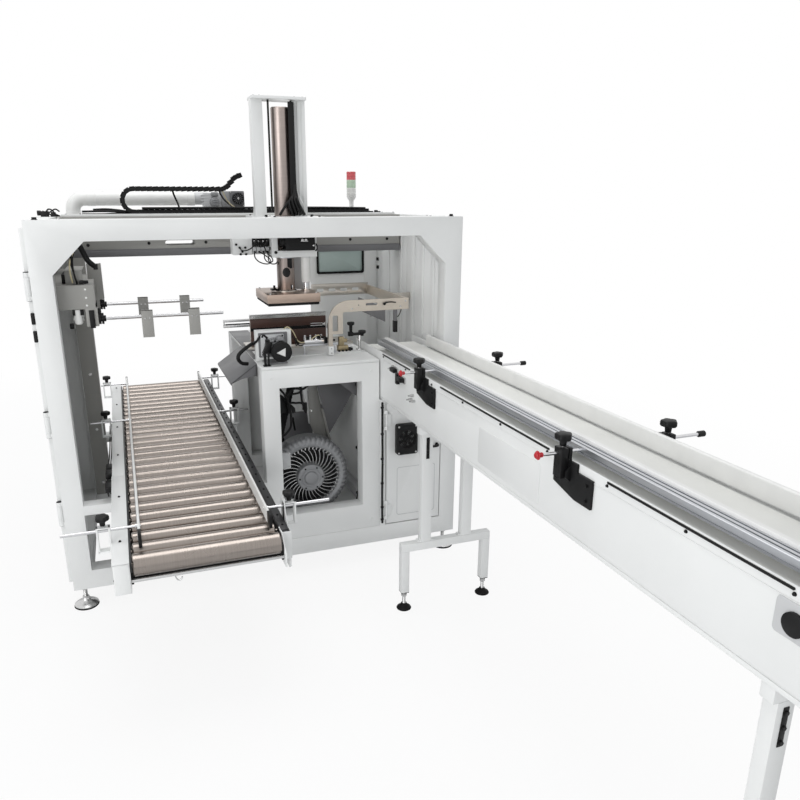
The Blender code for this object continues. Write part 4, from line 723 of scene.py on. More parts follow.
def lens(name, tint):
    """Clear or dyed acrylic over a lamp: glossy, with light let through."""
    made, tree, shader, place = surface(name, 0.12, IOR=1.49)
    shader.inputs["Transmission Weight"].default_value = 0.35
    bands = noise(tree, place, 1.0, 1.0, (3, 3, 260))
    varied(tree, shader, "Base Color", bands, shade(tint, 0.9), shade(tint, 1.1))
    relief(tree, shader, bands, 0.0003, 0.5)
    return made


FINISHES = {}


def make_finishes():
    tints = colours()
    white, steel, black = tints.white_coat, tints.steel, tints.black
    red, plastic, cast = tints.red, tints.plastic, tints.casting
    FINISHES.update(
        {
            # Powder coats: satin and even, a little duller where hands go
            "white coat": (powder_coat("white powder coat", white, 0.36), "white_paint"),
            # Also painted shade: the grey sheet inside the cabinet
            "grey coat and painted shade": (powder_coat("grey powder coat and painted shade", tints.grey_coat_and_shade, 0.4), "grey_paint"),
            # Also painted shade: the dark sheets in the cabinet, the rear beam's lower strip and
            # part of the chute's tone
            "dark paint and painted shade": (powder_coat("dark grey paint and painted shade", tints.dark_paint_and_shade, 0.42), "grey_paint"),
            # Also painted shade: the bead on the service door
            "light grey coat and painted shade": (
                powder_coat("light grey powder coat and painted shade", linear("#C9CACB"), 0.38),
                "grey_paint",
            ),
            # Cold rolled sheet, brushed along its length
            "steel sheet": (
                worked_steel("stainless sheet", steel, 0.3, (40, 40, 900)),
                "stainless",
            ),
            # Turned tube with a zinc plate gone dull with wear: rings round the roller. Its tint is
            # also set darker as painted reflection of dark surroundings
            "worn zinc darkened as painted reflection": (
                worked_steel("worn zinc tube with painted dark reflection", tints.rollers, 0.25, (420, 6, 6)),
                "stainless",
            ),
            # Surface ground plate, its lines along the table's travel
            "ground plate": (
                worked_steel("ground steel", tints.head_plate, 0.3, (30, 700, 300)),
                "stainless",
            ),
            # Seamless tube honed round and dulled by its wipers
            "ram sleeve": (
                worked_steel("honed steel tube", tints.ram, 0.36, (9, 9, 160), 0.00001, 0.04),
                "stainless",
            ),
            # Sheet left mill finished, warm from its lacquer
            "beige steel": (
                worked_steel(
                    "lacquered mill sheet", tints.guard, 0.36, (30, 400, 400), 0.00001, 0.05
                ),
                "stainless",
            ),
            # Cast and turned: a grain the same in every direction
            "brass": (
                worked_steel("cast brass", linear("#A39578"), 0.4, (200, 200, 200)),
                "stainless",
            ),
            # Fasteners, bright zinc plated: small clear glints
            "bright zinc": (
                worked_steel("bright zinc", linear("#CFCFCF"), 0.24, (300, 300, 300)),
                "stainless",
            ),
            "dark rail": (powder_coat("black powder coat", linear("#2A2A2C"), 0.4), "grey_paint"),
            # Hard chrome over a ground shaft: nearly a mirror
            "chrome": (
                worked_steel("hard chrome", tints.chrome, 0.13, (260, 20, 20), 0.00001, 0.03),
                "chrome",
            ),
            # Extruded and anodised: satin, with draw lines along the profile
            "aluminium": (
                worked_steel("anodised aluminium", tints.aluminium, 0.34, (700, 5, 700)),
                "aluminium",
            ),
            # Sand cast and painted: a coarse skin with rubbed high spots
            "cast aluminium": (
                moulded("cast aluminium", cast, 0.46, 420.0, 0.0004, 1.15, 0.35),
                "aluminium",
            ),
            # Matt mould, so that only its edges catch the light
            "nylon": (
                moulded("black glass filled nylon", black, 0.46, 900.0, 0.0001, specular=0.28),
                "black_plastic",
            ),
            # Pressed rubber: dull, with hardly a highlight
            "rubber": (
                moulded("black rubber", black, 0.7, 700.0, 0.0002, specular=0.22),
                "black_rubber",
            ),
            # Closed cell foam: its cells are 1 mm and drawn at 2 mm
            "foam": (moulded("black foam", shade(black, 0.7), 0.92, 480.0, 0.0012), "black_rubber"),
            # Coated cloth, its threads 1.8 mm apart: matt, with a faint weave
            "belt": (woven_belt("white pvc belt", tints.belt, 0.5, 0.0018), "white_belt"),
            # Planed and moulded plastics: soft highlights on a nearly even colour
            # Also the thin white cable in the column's loom: painted highlight
            "sliding plastic and painted highlight": (
                moulded("white sliding plastic and painted highlight", plastic, 0.4, 300.0, 0.0001, 0.95),
                "white_plastic",
            ),
            "duct": (
                moulded("white pvc duct", plastic, 0.28, 120.0, 0.0001, 0.97),
                "white_plastic",
            ),
            "red rubber": (moulded("red rubber", red, 0.42, 700.0, 0.0001, 1.2), "black_rubber"),
            "cream sheath": (
                moulded("cream pvc sheath", tints.cream, 0.45, 500.0, 0.0001, 0.92),
                "white_plastic",
            ),
            # Resin and cloth pressed into a sheet: paler where cases rub
            "laminate": (
                moulded("brown cloth laminate", tints.brown, 0.42, 260.0, 0.0002, 1.4),
                "black_plastic",
            ),
            # Acrylic lenses and the tinted window: glossy
            "red lens": (lens("red acrylic", linear("#E8656B")), "white_plastic"),
            "green lens": (lens("green acrylic", linear("#C9DFC6")), "white_plastic"),
            "clear lens": (lens("clear acrylic", linear("#F1F1EE")), "white_plastic"),
            "window": (
                moulded("tinted acrylic sheet", tints.window, 0.1, 60.0, 0.00002, 0.95),
                "teal_glass",
            ),
        }
    )


# Frame, walls and doors


def span(node):
    """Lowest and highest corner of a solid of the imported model, in the machine's coordinates."""
    low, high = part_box(node)
    return low - SHIFT, high - SHIFT


def thread(low, high, radius, pitch):
    """Profile of a threaded stem."""
    profile, place = [], low
    while place + pitch < high:
        profile += [(place, radius * 0.86), (place + pitch / 2, radius)]
        place += pitch
    return [*profile, (high, radius * 0.86)]


def make_frame():
    tubes = "front_portal rear_portal left_top_beam left_base_beam right_side_frame".split()
    piece("frame_tubes", Solid().node(*tubes), "white coat", *tubes, edge=sizes().tube_rounding)
    feet = [f"{row}_{side}_foot" for row in ("front", "rear") for side in ("left", "right")]
    metal, rubber = Solid(), Solid()
    for name in feet:
        low, high = span(name)
        centre = ((low.x + high.x) / 2, (low.y + high.y) / 2, 0)
        bell = [(0.007, 0.05), (0.01, 0.0505), (0.013, 0.047), (0.019, 0.034)]
        bell += [(0.027, 0.02), (0.034, 0.015), (0.044, 0.014), (0.046, 0.012)]
        metal.lathe(centre, "Z", [*bell, *thread(0.0461, high.z, 0.009, sizes().thread_pitch)])
        metal.lathe(centre, "Z", [(0.08, 0.0), (0.08, 0.016), (0.0915, 0.016), (0.0915, 0.0)], 6)
        metal.disc(centre, "Z", 0.0915, 0.0945, 0.019)
        rubber.lathe(
            centre, "Z", [(0, 0.0), (0, 0.05), (0.002, 0.052), (0.0068, 0.051), (0.0068, 0)]
        )
    piece("levelling_feet", metal, "bright zinc", *feet)
    piece("foot_pads", rubber, "rubber")
    # Plugs in the crane eyes' threads, and the cover screws of the tubes' ends
    places = [(x, y, 1.64) for x in (0.04, 1.76) for y in (0.04, 1.01)]
    screws("top_plugs", places, "+Z", "nylon", size=1.5)
    places = [(x, y, z) for x, z in ((0.11, 1.6), (1.69, 1.6)) for y in (1.05,)]
    screws("earth_screws", places, "+Y", "bright zinc")


def make_walls():
    fold = sizes().fold
    names = ("right_front_panel", "right_rear_panel", "rear_panel")
    panels = Solid().node(*names)
    piece("wall_panels", panels, "white coat", *names, edge=0.001)
    ribs = Solid()
    for y in (0.17, 0.3, 0.6, 0.78):
        ribs.sheet("X", rounded((y - 0.02, 0.2), (y + 0.02, 1.54), 0.006), 1.729, 1.7348)
    for x in (1.05, 1.24):
        ribs.sheet("Y", rounded((x - 0.02, 0.2), (x + 0.02, 0.98), 0.006), 0.9515, 0.9576)
    piece("wall_stiffeners", ribs, "white coat", edge=fold)
    side, back = [], []
    for y0, y1 in ((0.095, 0.388), (0.492, 0.955)):
        for y in (y0, (y0 + y1) / 2, y1):
            side += [(1.747, y, z) for z in (0.2, 0.53, 0.87, 1.2, 1.545)]
    back += [(x, 0.9697, z) for x in (0.875, 1.12, 1.37, 1.6, 1.7) for z in (0.205, 0.6)]
    back += [(x, 0.9697, z) for x in (1.345, 1.7) for z in (1.1, 1.3, 1.53)]
    screws("side_panel_screws", side, "+X", "bright zinc", size=0.7, sides=16)
    screws("rear_panel_screws", back, "+Y", "bright zinc", size=0.7, sides=16)
    inner = [(x, 0.9577, z) for x in (1.345, 1.69) for z in (1.06, 1.2, 1.53)]
    screws("rear_panel_inner_nuts", inner, "-Y", "bright zinc", size=0.8)

    low, high = span("rear_window")
    glass = Solid()
    glass.sheet(
        "Y", rounded((low.x, low.z), (high.x, high.z), 0.004), low.y + 0.001, high.y - 0.001
    )
    piece("window_sheet", glass, "window", "rear_window", edge=0.0008)
    seal = Solid()
    outer = rounded((low.x - 0.008, low.z - 0.008), (high.x + 0.008, high.z + 0.008), 0.012)
    inner = rounded((low.x + 0.004, low.z + 0.004), (high.x - 0.004, high.z - 0.004), 0.008)
    seal.sheet("Y", outer, 0.9535, 0.9578, [inner])
    seal.sheet("Y", outer, 0.9698, 0.9735, [inner])
    seal.sheet("Y", rounded((1.362, 1.47), (1.662, 1.486), 0.004), 0.948, 0.9577)
    piece("window_seal", seal, "rubber", edge=0.0008)

    clips = Solid()
    for z in (1.505, 1.475, 1.38, 1.335):
        clips.sheet("Y", rounded((1.708, z), (1.7199, z + 0.018), 0.003), 0.9, 0.915)
    piece("wall_clips", clips, "nylon", edge=0.001)


def make_side_door():
    leaf = Solid().node("left_side_door")
    piece("side_door_leaf", leaf, "white coat", "left_side_door", edge=0.0005)
    frame_in = Solid()
    outer = rounded((0.1, 0.2), (0.95, 1.54), 0.03)
    inner = rounded((0.112, 0.212), (0.938, 1.528), 0.024)
    frame_in.sheet("X", outer, -0.0205, -0.0179, [inner])
    for z in (0.53, 0.87, 1.21):
        frame_in.sheet("X", rounded((0.16, z - 0.006), (0.89, z + 0.006), 0.005), -0.02, -0.0179)
    piece("side_door_beads", frame_in, "white coat", body="side_door", edge=0.0009)
    latch = Solid()
    for z in (0.62, 1.12):
        latch.sheet("X", rounded((0.962, z - 0.045), (0.996, z + 0.045), 0.012), -0.0225, -0.0179)
        latch.disc((0, 0.979, z + 0.012), "X", -0.027, -0.0224, 0.012)
        latch.box((-0.03, 0.972, z - 0.034), (-0.0224, 0.986, z + 0.006))
    piece("side_door_latches", latch, "nylon", body="side_door", edge=0.0012)
    pins = Solid()
    for z in (0.455, 0.845, 1.396):
        for low in (z - 0.0545, z + 0.053):
            pins.disc((-0.012, 0.017, 0), "Z", low, low + 0.003, 0.01, sides=20)
    piece("side_hinge_caps", pins, "nylon")
    places = [(-0.018, 0.045, z + d) for z in (0.455, 0.845, 1.396) for d in (-0.02, 0.02)]
    screws("side_hinge_screws", places, "-X", "bright zinc", "side_door", 0.7)
    # Small dark pulls on the door's front edge
    pulls = Solid()
    for z in (1.18, 1.25):
        pulls.sheet("Y", rounded((-0.0175, z), (-0.003, z + 0.045), 0.004), 0.0235, 0.0301)
    piece("side_door_pulls", pulls, "nylon", body="side_door", edge=0.001)


def make_service_door():
    fold = sizes().fold
    piece(
        "door_surround_piece", Solid().node("door_surround"), "white coat", "door_surround",
        edge=fold
    )
    piece("service_door_leaf", Solid().node("front_door"), "white coat", "front_door", edge=fold)
    # Pressed bead round the lower field of the leaf, drawn in light grey as painted shade along the
    # pressing
    bead = Solid()
    outer = rounded((1.49, 0.225), (1.69, 0.475), 0.012)
    inner = rounded((1.4925, 0.2275), (1.6875, 0.4725), 0.01)
    bead.sheet("Y", outer, -0.0012, 0.0002, [inner])
    piece("door_bead_painted_shade", bead, "light grey coat and painted shade", body="service_door")

    low, high = span("door_handle")
    grip = Solid()
    z = (low.z + high.z) / 2
    path = [(low.x + 0.006, -0.0004, z), (low.x + 0.006, -0.018, z), (low.x + 0.016, -0.0255, z)]
    path += [
        (high.x - 0.016, -0.0255, z), (high.x - 0.006, -0.018, z), (high.x - 0.006, -0.0004, z)
    ]
    grip.tube(smooth_path(path, 5), 0.0058, 14)
    for x in (low.x + 0.006, high.x - 0.006):
        grip.disc((x, 0, z), "Y", -0.0035, -0.0003, 0.0095)
    piece("door_handle_grip", grip, "nylon", "door_handle")

    low, high = span("door_fan")
    case = Solid()
    middle = ((low.x + high.x) / 2, (low.z + high.z) / 2)
    outline = rounded((low.x, low.z), (high.x, high.z), 0.01)
    case.sheet("Y", outline, low.y, -0.0003, [circle(middle, 0.044, 32)])
    case.disc((middle[0], 0, middle[1]), "Y", low.y + 0.004, low.y + 0.014, 0.016)
    for radius in (0.023, 0.031, 0.039):
        case.sheet(
            "Y", circle(middle, radius + 0.0014), low.y - 0.0012, low.y + 0.0016,
            [circle(middle, radius - 0.0014)]
        )
    for angle in (45, 135):
        a = math.radians(angle)
        reach = Vector((math.cos(a), 0, math.sin(a))) * 0.0455
        spot = Vector((middle[0], low.y + 0.0008, middle[1]))
        case.tube([spot - reach, spot + reach], 0.0016, 8)
    piece("door_fan_case", case, "nylon", "door_fan", edge=0.0012)
    blade = Solid()
    x, z = middle
    corners = [
        (x + 0.015, z - 0.004), (x + 0.042, z - 0.016), (x + 0.043, z + 0.004),
        (x + 0.015, z + 0.007)
    ]
    blade.sheet("Y", corners, low.y + 0.008, low.y + 0.01)
    ring("door_fan_blades", blade, 7, (x, low.y, z), "Y", "nylon", body="service_door")
    places = [
        (x0, low.y, z0) for x0 in (low.x + 0.009, high.x - 0.009)
        for z0 in (low.z + 0.009, high.z - 0.009)
    ]
    screws("door_fan_screws", places, "-Y", "bright zinc", "service_door", 0.6, 16)

    low, high = span("door_cable")
    x, y = (low.x + high.x) / 2, (low.y + high.y) / 2
    path = [
        (x, y, high.z - 0.002), (x, y, 0.7), (x + 0.001, y, 0.5), (x - 0.001, y, 0.35),
        (x, y, low.z + 0.002)
    ]
    cables("door_loom", [path], 0.0098, "nylon", "door_cable")
    ties = Solid()
    for z in (0.785, 0.655, 0.53, 0.405, 0.28, 0.215):
        ties.lathe(
            (x, y, 0), "Z",
            [(z - 0.004, 0.005), (z - 0.003, 0.0064), (z + 0.003, 0.0064), (z + 0.004, 0.005)]
        )
        ties.box((x - 0.007, y - 0.0015, z - 0.004), (x + 0.007, 0.0004, z + 0.004))
    piece("door_loom_ties", ties, "nylon")
    screws(
        "surround_screws", [(1.421, -0.0001, z) for z in (0.2, 0.5, 0.79)], "-Y", "bright zinc",
        size=0.6
    )


# Cabinet, table and blower


def make_cabinet():
    body = Solid()
    outline = [(0.8573, 0.1826), (1.4007, 0.1826), (1.4007, 1.0024), (0.8573, 1.0024)]
    opening = [(0.934, 0.305), (1.316, 0.305), (1.316, 0.918), (0.934, 0.918)]
    for y in (0.0, 0.87):
        body.sheet("Y", outline, y, y + 0.08, [opening])
    body.box((1.397, 0.079, 0.1826), (1.4007, 0.871, 1.0024))
    body.box((0.8613, 0.079, 0.2153), (1.3985, 0.871, 0.235))
    piece("cabinet_body", body, "white coat", "cabinet_frame", edge=0.0022)
    piece("table_plate", Solid().node("table_top"), "white coat", "table_top", edge=0.002)
    # Sheets beside the blower in dark, grey and white: painted shade and painted light on the
    # cabinet's inside, dark where it lies in shade under the table and white where it is lit
    dark_shade_sheets = Solid()
    dark_shade_sheets.sheet(
        "Y", [(1.187, 0.828), (1.298, 0.837), (1.367, 0.775), (1.235, 0.56), (1.216, 0.709)], 0.32,
        0.324
    )
    dark_shade_sheets.sheet(
        "Y", [(1.298, 0.837), (1.367, 0.775), (1.367, 1.0), (1.187, 1.0), (1.187, 0.828)], 0.3205,
        0.3235
    )
    dark_shade_sheets.box((1.235, 0.324, 0.56), (1.238, 0.76, 0.7))
    piece("painted_light_and_shade", dark_shade_sheets, "dark paint and painted shade", edge=0.0014)
    # Grey sheet: painted shade, a lighter step of the same shade
    fold = Solid()
    fold.sheet(
        "Y",
        [
            (1.14, 1.0), (1.192, 1.0), (1.192, 0.82), (1.206, 0.709), (1.245, 0.543), (1.185, 0.53),
            (1.15, 0.635)
        ], 0.34, 0.346
    )
    fold.sheet("Y", [(1.187, 0.815), (1.19, 0.815), (1.205, 0.725), (1.202, 0.725)], 0.33, 0.3402)
    fold.sheet("Y", [(1.206, 0.709), (1.216, 0.709), (1.252, 0.543), (1.24, 0.543)], 0.318, 0.342)
    piece("painted_light_and_shade_fold", fold, "grey coat and painted shade", edge=0.0014)
    # White sheets: painted light where the cabinet's inside is lit
    lit = Solid()
    lit.sheet(
        "Y",
        [
            (1.121, 1.0), (1.143, 1.0), (1.145, 0.811), (1.155, 0.628), (1.147, 0.629),
            (1.137, 0.732), (1.121, 0.808)
        ], 0.352, 0.358
    )
    lit.box((1.11, 0.15, 0.752), (1.116, 0.168, 0.76))
    piece("painted_light_and_shade_back", lit, "white coat", edge=0.0014)
    # More dark sheets: painted shade deeper in the cabinet
    shade_plate = Solid()
    shade_plate.sheet(
        "Y", [(1.245, 0.93), (1.245, 0.886), (1.339, 0.808), (1.372, 0.808), (1.372, 0.93)], 0.138,
        0.142
    )
    shade_plate.sheet(
        "Y",
        [(1.029, 0.67), (1.163, 0.668), (1.19, 0.56), (1.19, 0.47), (0.96, 0.47), (1.038, 0.56)],
        0.448, 0.454
    )
    shade_plate.sheet("Y", [(0.938, 0.68), (1.029, 0.67), (1.029, 0.59), (0.938, 0.59)], 0.5, 0.506)
    piece("cabinet_painted_shade_partitions", shade_plate, "dark paint and painted shade", edge=0.0014)
    tray = Solid()
    tray.box((0.938, 0.0805, 0.2353), (1.3965, 0.096, 0.248))
    tray.box((1.36, 0.15, 0.2353), (1.3965, 0.7, 0.29))
    piece("cabinet_tray", tray, "light grey coat and painted shade", edge=0.002)
    x = 1.3225
    clips, side = Solid(), []
    for y, z in ((0.095, 0.88), (0.095, 0.566), (0.095, 0.33)):
        clips.box((x - 0.008, y - 0.009, z - 0.006), (x + 0.006, y + 0.009, z + 0.006))
    clips.sheet(
        "Y",
        [
            (x - 0.028, 0.2356), (x + 0.004, 0.2356), (x + 0.004, 0.25), (x - 0.012, 0.27),
            (x - 0.022, 0.266)
        ], 0.088, 0.112
    )
    piece("cabinet_clips", clips, "nylon", edge=0.001)
    drift = [(0.0, 0.92), (0.001, 0.84), (0.005, 0.755), (0.006, 0.67), (0.002, 0.6), (0.0, 0.566)]
    drift += [(0.003, 0.5), (0.002, 0.4), (0.0, 0.33), (-0.014, 0.272)]
    side = [(x + dx, 0.098, z) for dx, z in drift]
    loops = [
        [
            (0.938, 0.12, 0.905), (0.962, 0.13, 0.88), (0.988, 0.13, 0.842), (1.002, 0.13, 0.797),
            (1.009, 0.13, 0.737), (1.006, 0.13, 0.697), (0.99, 0.13, 0.671), (0.966, 0.13, 0.652),
            (0.94, 0.14, 0.64)
        ],
        [
            (1.002, 0.13, 0.76), (0.998, 0.14, 0.82), (1.006, 0.14, 0.85), (1.023, 0.14, 0.871),
            (1.045, 0.14, 0.874), (1.064, 0.14, 0.865), (1.057, 0.14, 0.855), (1.032, 0.14, 0.85),
            (1.011, 0.14, 0.85)
        ],
        [
            (0.938, 0.14, 0.856), (0.965, 0.14, 0.846), (0.99, 0.15, 0.82), (1.004, 0.15, 0.78),
            (1.014, 0.15, 0.74), (1.012, 0.15, 0.69)
        ],
        [
            (1.058, 0.15, 0.9), (1.062, 0.15, 0.877), (1.074, 0.15, 0.866), (1.089, 0.15, 0.875),
            (1.102, 0.15, 0.884), (1.125, 0.16, 0.905), (1.15, 0.18, 0.96), (1.15, 0.2, 1.0)
        ],
        [
            (1.067, 0.16, 0.877), (1.066, 0.16, 0.852), (1.068, 0.16, 0.832), (1.07, 0.16, 0.807),
            (1.076, 0.16, 0.782), (1.086, 0.16, 0.752)
        ],
        [
            (0.998, 0.16, 0.795), (1.021, 0.16, 0.802), (1.04, 0.16, 0.799), (1.06, 0.16, 0.798),
            (1.079, 0.16, 0.79), (1.09, 0.16, 0.77), (1.088, 0.165, 0.745)
        ], [(1.072, 0.158, 0.8), (1.082, 0.158, 0.788), (1.088, 0.158, 0.77), (1.086, 0.158, 0.75)],
        [(1.09, 0.42, 0.58), (1.086, 0.42, 0.61), (1.08, 0.42, 0.65)]
    ]
    cables("cabinet_cables", [side], sizes().wire, "nylon")
    cables("cabinet_loops", loops, 0.0105, "nylon")
    box = Solid()
    box.sheet(
        "Y",
        [
            (0.938, 0.87), (0.955, 0.862), (0.99, 0.82), (0.997, 0.789), (0.993, 0.755),
            (0.938, 0.755)
        ], 0.158, 0.176
    )
    box.sheet(
        "Y", [(1.016, 0.79), (1.024, 0.788), (1.038, 0.772), (1.04, 0.75), (1.024, 0.747)], 0.166,
        0.18
    )
    box.box((1.074, 0.162, 0.76), (1.096, 0.176, 0.795))
    piece("cabinet_relays", box, "nylon", edge=0.002)
    places = [(x, 0.0, z) for x in (0.897, 1.361) for z in (0.225, 0.965)]
    screws("cabinet_screws", places, "-Y", "white coat", size=0.7, sides=16)


def make_blower():
    """Side channel blower: ribbed ring, open fan cover, hub, motor, terminal box and hose."""
    x, z = 1.09, 0.4363
    centre = (x, 0, z)
    body = Solid()
    shell = [(0.24, 0.0), (0.24, 0.164), (0.232, 0.184), (0.215, 0.192), (0.165, 0.194)]
    shell += [(0.14, 0.188), (0.128, 0.178), (0.1225, 0.164), (0.126, 0.15), (0.136, 0.143)]
    shell += [(0.154, 0.14), (0.156, 0.0)]
    body.lathe(centre, "Y", shell, 72)
    hub = [(0.16, 0.0), (0.16, 0.069), (0.118, 0.068), (0.104, 0.066), (0.1, 0.062)]
    hub += [
        (0.1, 0.048), (0.105, 0.045), (0.105, 0.033), (0.0975, 0.031), (0.096, 0.028), (0.096, 0.0)
    ]
    body.lathe(centre, "Y", hub, 56)
    motor = [(0.236, 0.0), (0.236, 0.078), (0.256, 0.078), (0.258, 0.07), (0.385, 0.07)]
    motor += [(0.387, 0.083), (0.4, 0.083), (0.408, 0.074), (0.4097, 0.055), (0.4097, 0.0)]
    body.lathe(centre, "Y", motor, 40)
    top, stub_x = z + 0.176, x - 0.125
    stub = [(z, 0.0), (z, 0.024), (top - 0.032, 0.024), (top - 0.028, 0.0255)]
    stub += [(top - 0.003, 0.0255), (top, 0.023), (top, 0.0)]
    body.lathe((stub_x, 0.18, 0), "Z", stub, 24)
    base = 0.2353
    for y in (0.145, 0.335):
        body.box((x - 0.109, y, base), (x + 0.109, y + 0.04, base + 0.012))
        wedge = [
            (x - 0.075, base + 0.01), (x + 0.075, base + 0.01), (x + 0.05, base + 0.049),
            (x - 0.05, base + 0.049)
        ]
        body.sheet("Y", wedge, y + 0.008, y + 0.03)
    piece("blower_body", body, "cast aluminium", "ring_blower", edge=0.0016)

    rib = Solid()
    sides, middle = 12, 0.167
    half = math.pi / sizes().blower_ribs * 0.8
    points, faces = [], []
    sections = (
        (-1.0, 0.024), (-0.8, 0.0268), (-0.35, 0.0283), (0.35, 0.0283), (0.8, 0.0268), (1.0, 0.024)
    )
    for share, radius in sections:
        turn = share * half
        for step in range(sides):
            a = math.radians(-110 + 250 * step / (sides - 1))
            out = middle + radius * math.cos(a)
            points.append(
                (x + out * math.cos(turn), 0.15 - radius * math.sin(a), z + out * math.sin(turn))
            )
    for i in range(len(sections) - 1):
        for j in range(sides):
            k = (j + 1) % sides
            faces.append((i * sides + j, i * sides + k, (i + 1) * sides + k, (i + 1) * sides + j))
    faces += [tuple(range(sides)), tuple(range(len(points) - sides, len(points)))]
    rib.shell(points, faces)
    ring("blower_ribs", rib, sizes().blower_ribs, (x, 0.15, z), "Y", "cast aluminium")

    fin = Solid()
    path = [(0.066 + 0.072 * t / 6, math.radians(16 * (t / 6) ** 1.4)) for t in range(7)]
    left = [
        (
            x + r * math.cos(a) - 0.0012 * math.sin(a), z + r * math.sin(a) + 0.0012 * math.cos(a)
        ) for r, a in path
    ]
    right = [
        (
            x + r * math.cos(a) + 0.0012 * math.sin(a), z + r * math.sin(a) - 0.0012 * math.cos(a)
        ) for r, a in path
    ]
    fin.sheet("Y", left + right[::-1], 0.1215, 0.1575)
    ring("blower_fins", fin, 33, (x, 0.15, z), "Y", "bright zinc")
    lip = Solid()
    lip.disc((x + 0.1465, 0, z), "Y", 0.1225, 0.14, 0.003, sides=8)
    lip.box((x + 0.135, 0.13, z - 0.0022), (x + 0.1425, 0.156, z + 0.0022))
    ring("blower_studs", lip, 48, (x, 0.15, z), "Y", "bright zinc")
    back = Solid()
    back.lathe(centre, "Y", [(0.154, 0.0), (0.154, 0.1395), (0.1565, 0.1395), (0.1565, 0.0)], 64)
    piece("blower_fan_back", back, "nylon")
    stud = Solid()
    stud.disc((x + 0.056, 0, z), "Y", 0.0965, 0.101, 0.0045, sides=6)
    ring("blower_hub_screws", stud, 6, (x, 0.1, z), "Y", "nylon")
    cool = Solid()
    cool.box((x + 0.068, 0.262, z - 0.0012), (x + 0.083, 0.382, z + 0.0012))
    ring("blower_motor_fins", cool, 36, (x, 0.3, z), "Y", "cast aluminium")
    low, high = z + 0.062, z + 0.138
    box = Solid()
    box.sheet("Y", rounded((0.937, low), (0.993, high), 0.006), 0.1095, 0.15)
    box.sheet("Y", rounded((0.9355, low - 0.0015), (0.9945, high + 0.0015), 0.006), 0.108, 0.1125)
    piece("blower_terminal_box", box, "light grey coat and painted shade", edge=0.0012)
    places = [(a, 0.108, b) for a in (0.943, 0.987) for b in (low + 0.006, high - 0.006)]
    screws("terminal_screws", places, "-Y", "bright zinc", size=0.45, sides=16)
    stub, outlet = Vector((stub_x, 0.18, top + 0.0003)), Vector((x - 0.02, 0.26, 1.0024))
    up = Vector((0, 0, 0.02))
    route = [stub, stub + 2 * up, stub.lerp(outlet, 0.5), outlet - 2 * up, outlet]
    route = smooth_path(route, 22)
    radii = [0.0188 if i % 2 else 0.0168 for i in range(len(route))]
    piece("blower_hose_sleeve", Solid().tube(route, radii, 16), "rubber", "blower_hose")
    foot = [(x + dx, y + 0.02, base + 0.012) for dx in (-0.092, 0.092) for y in (0.145, 0.335)]
    screws("blower_foot_screws", foot, "+Z", "bright zinc")


# Conveyors and their guides


def star_knob(solid, x, y, top, bottom, radius=0.0235, height=0.02, stem=0.01):
    """Five lobed knob on its boss, pressed on a stud."""
    low = top - height
    cap = [(low, 0.0), (low, radius * 0.8), (low + height * 0.22, radius * 0.93)]
    cap += [(top - height * 0.3, radius * 0.93), (top - height * 0.1, radius * 0.86)]
    cap += [(top - height * 0.02, radius * 0.62), (top, 0.0)]
    solid.lathe((x, y, 0), "Z", cap, 40, (5, 0.1))
    solid.lathe(
        (x, y, 0), "Z",
        [
            (bottom, 0.0), (bottom, stem * 0.86), (low - 0.004, stem), (low + 0.004, stem * 1.25),
            (low + 0.004, 0.0)
        ], 20
    )
    return solid


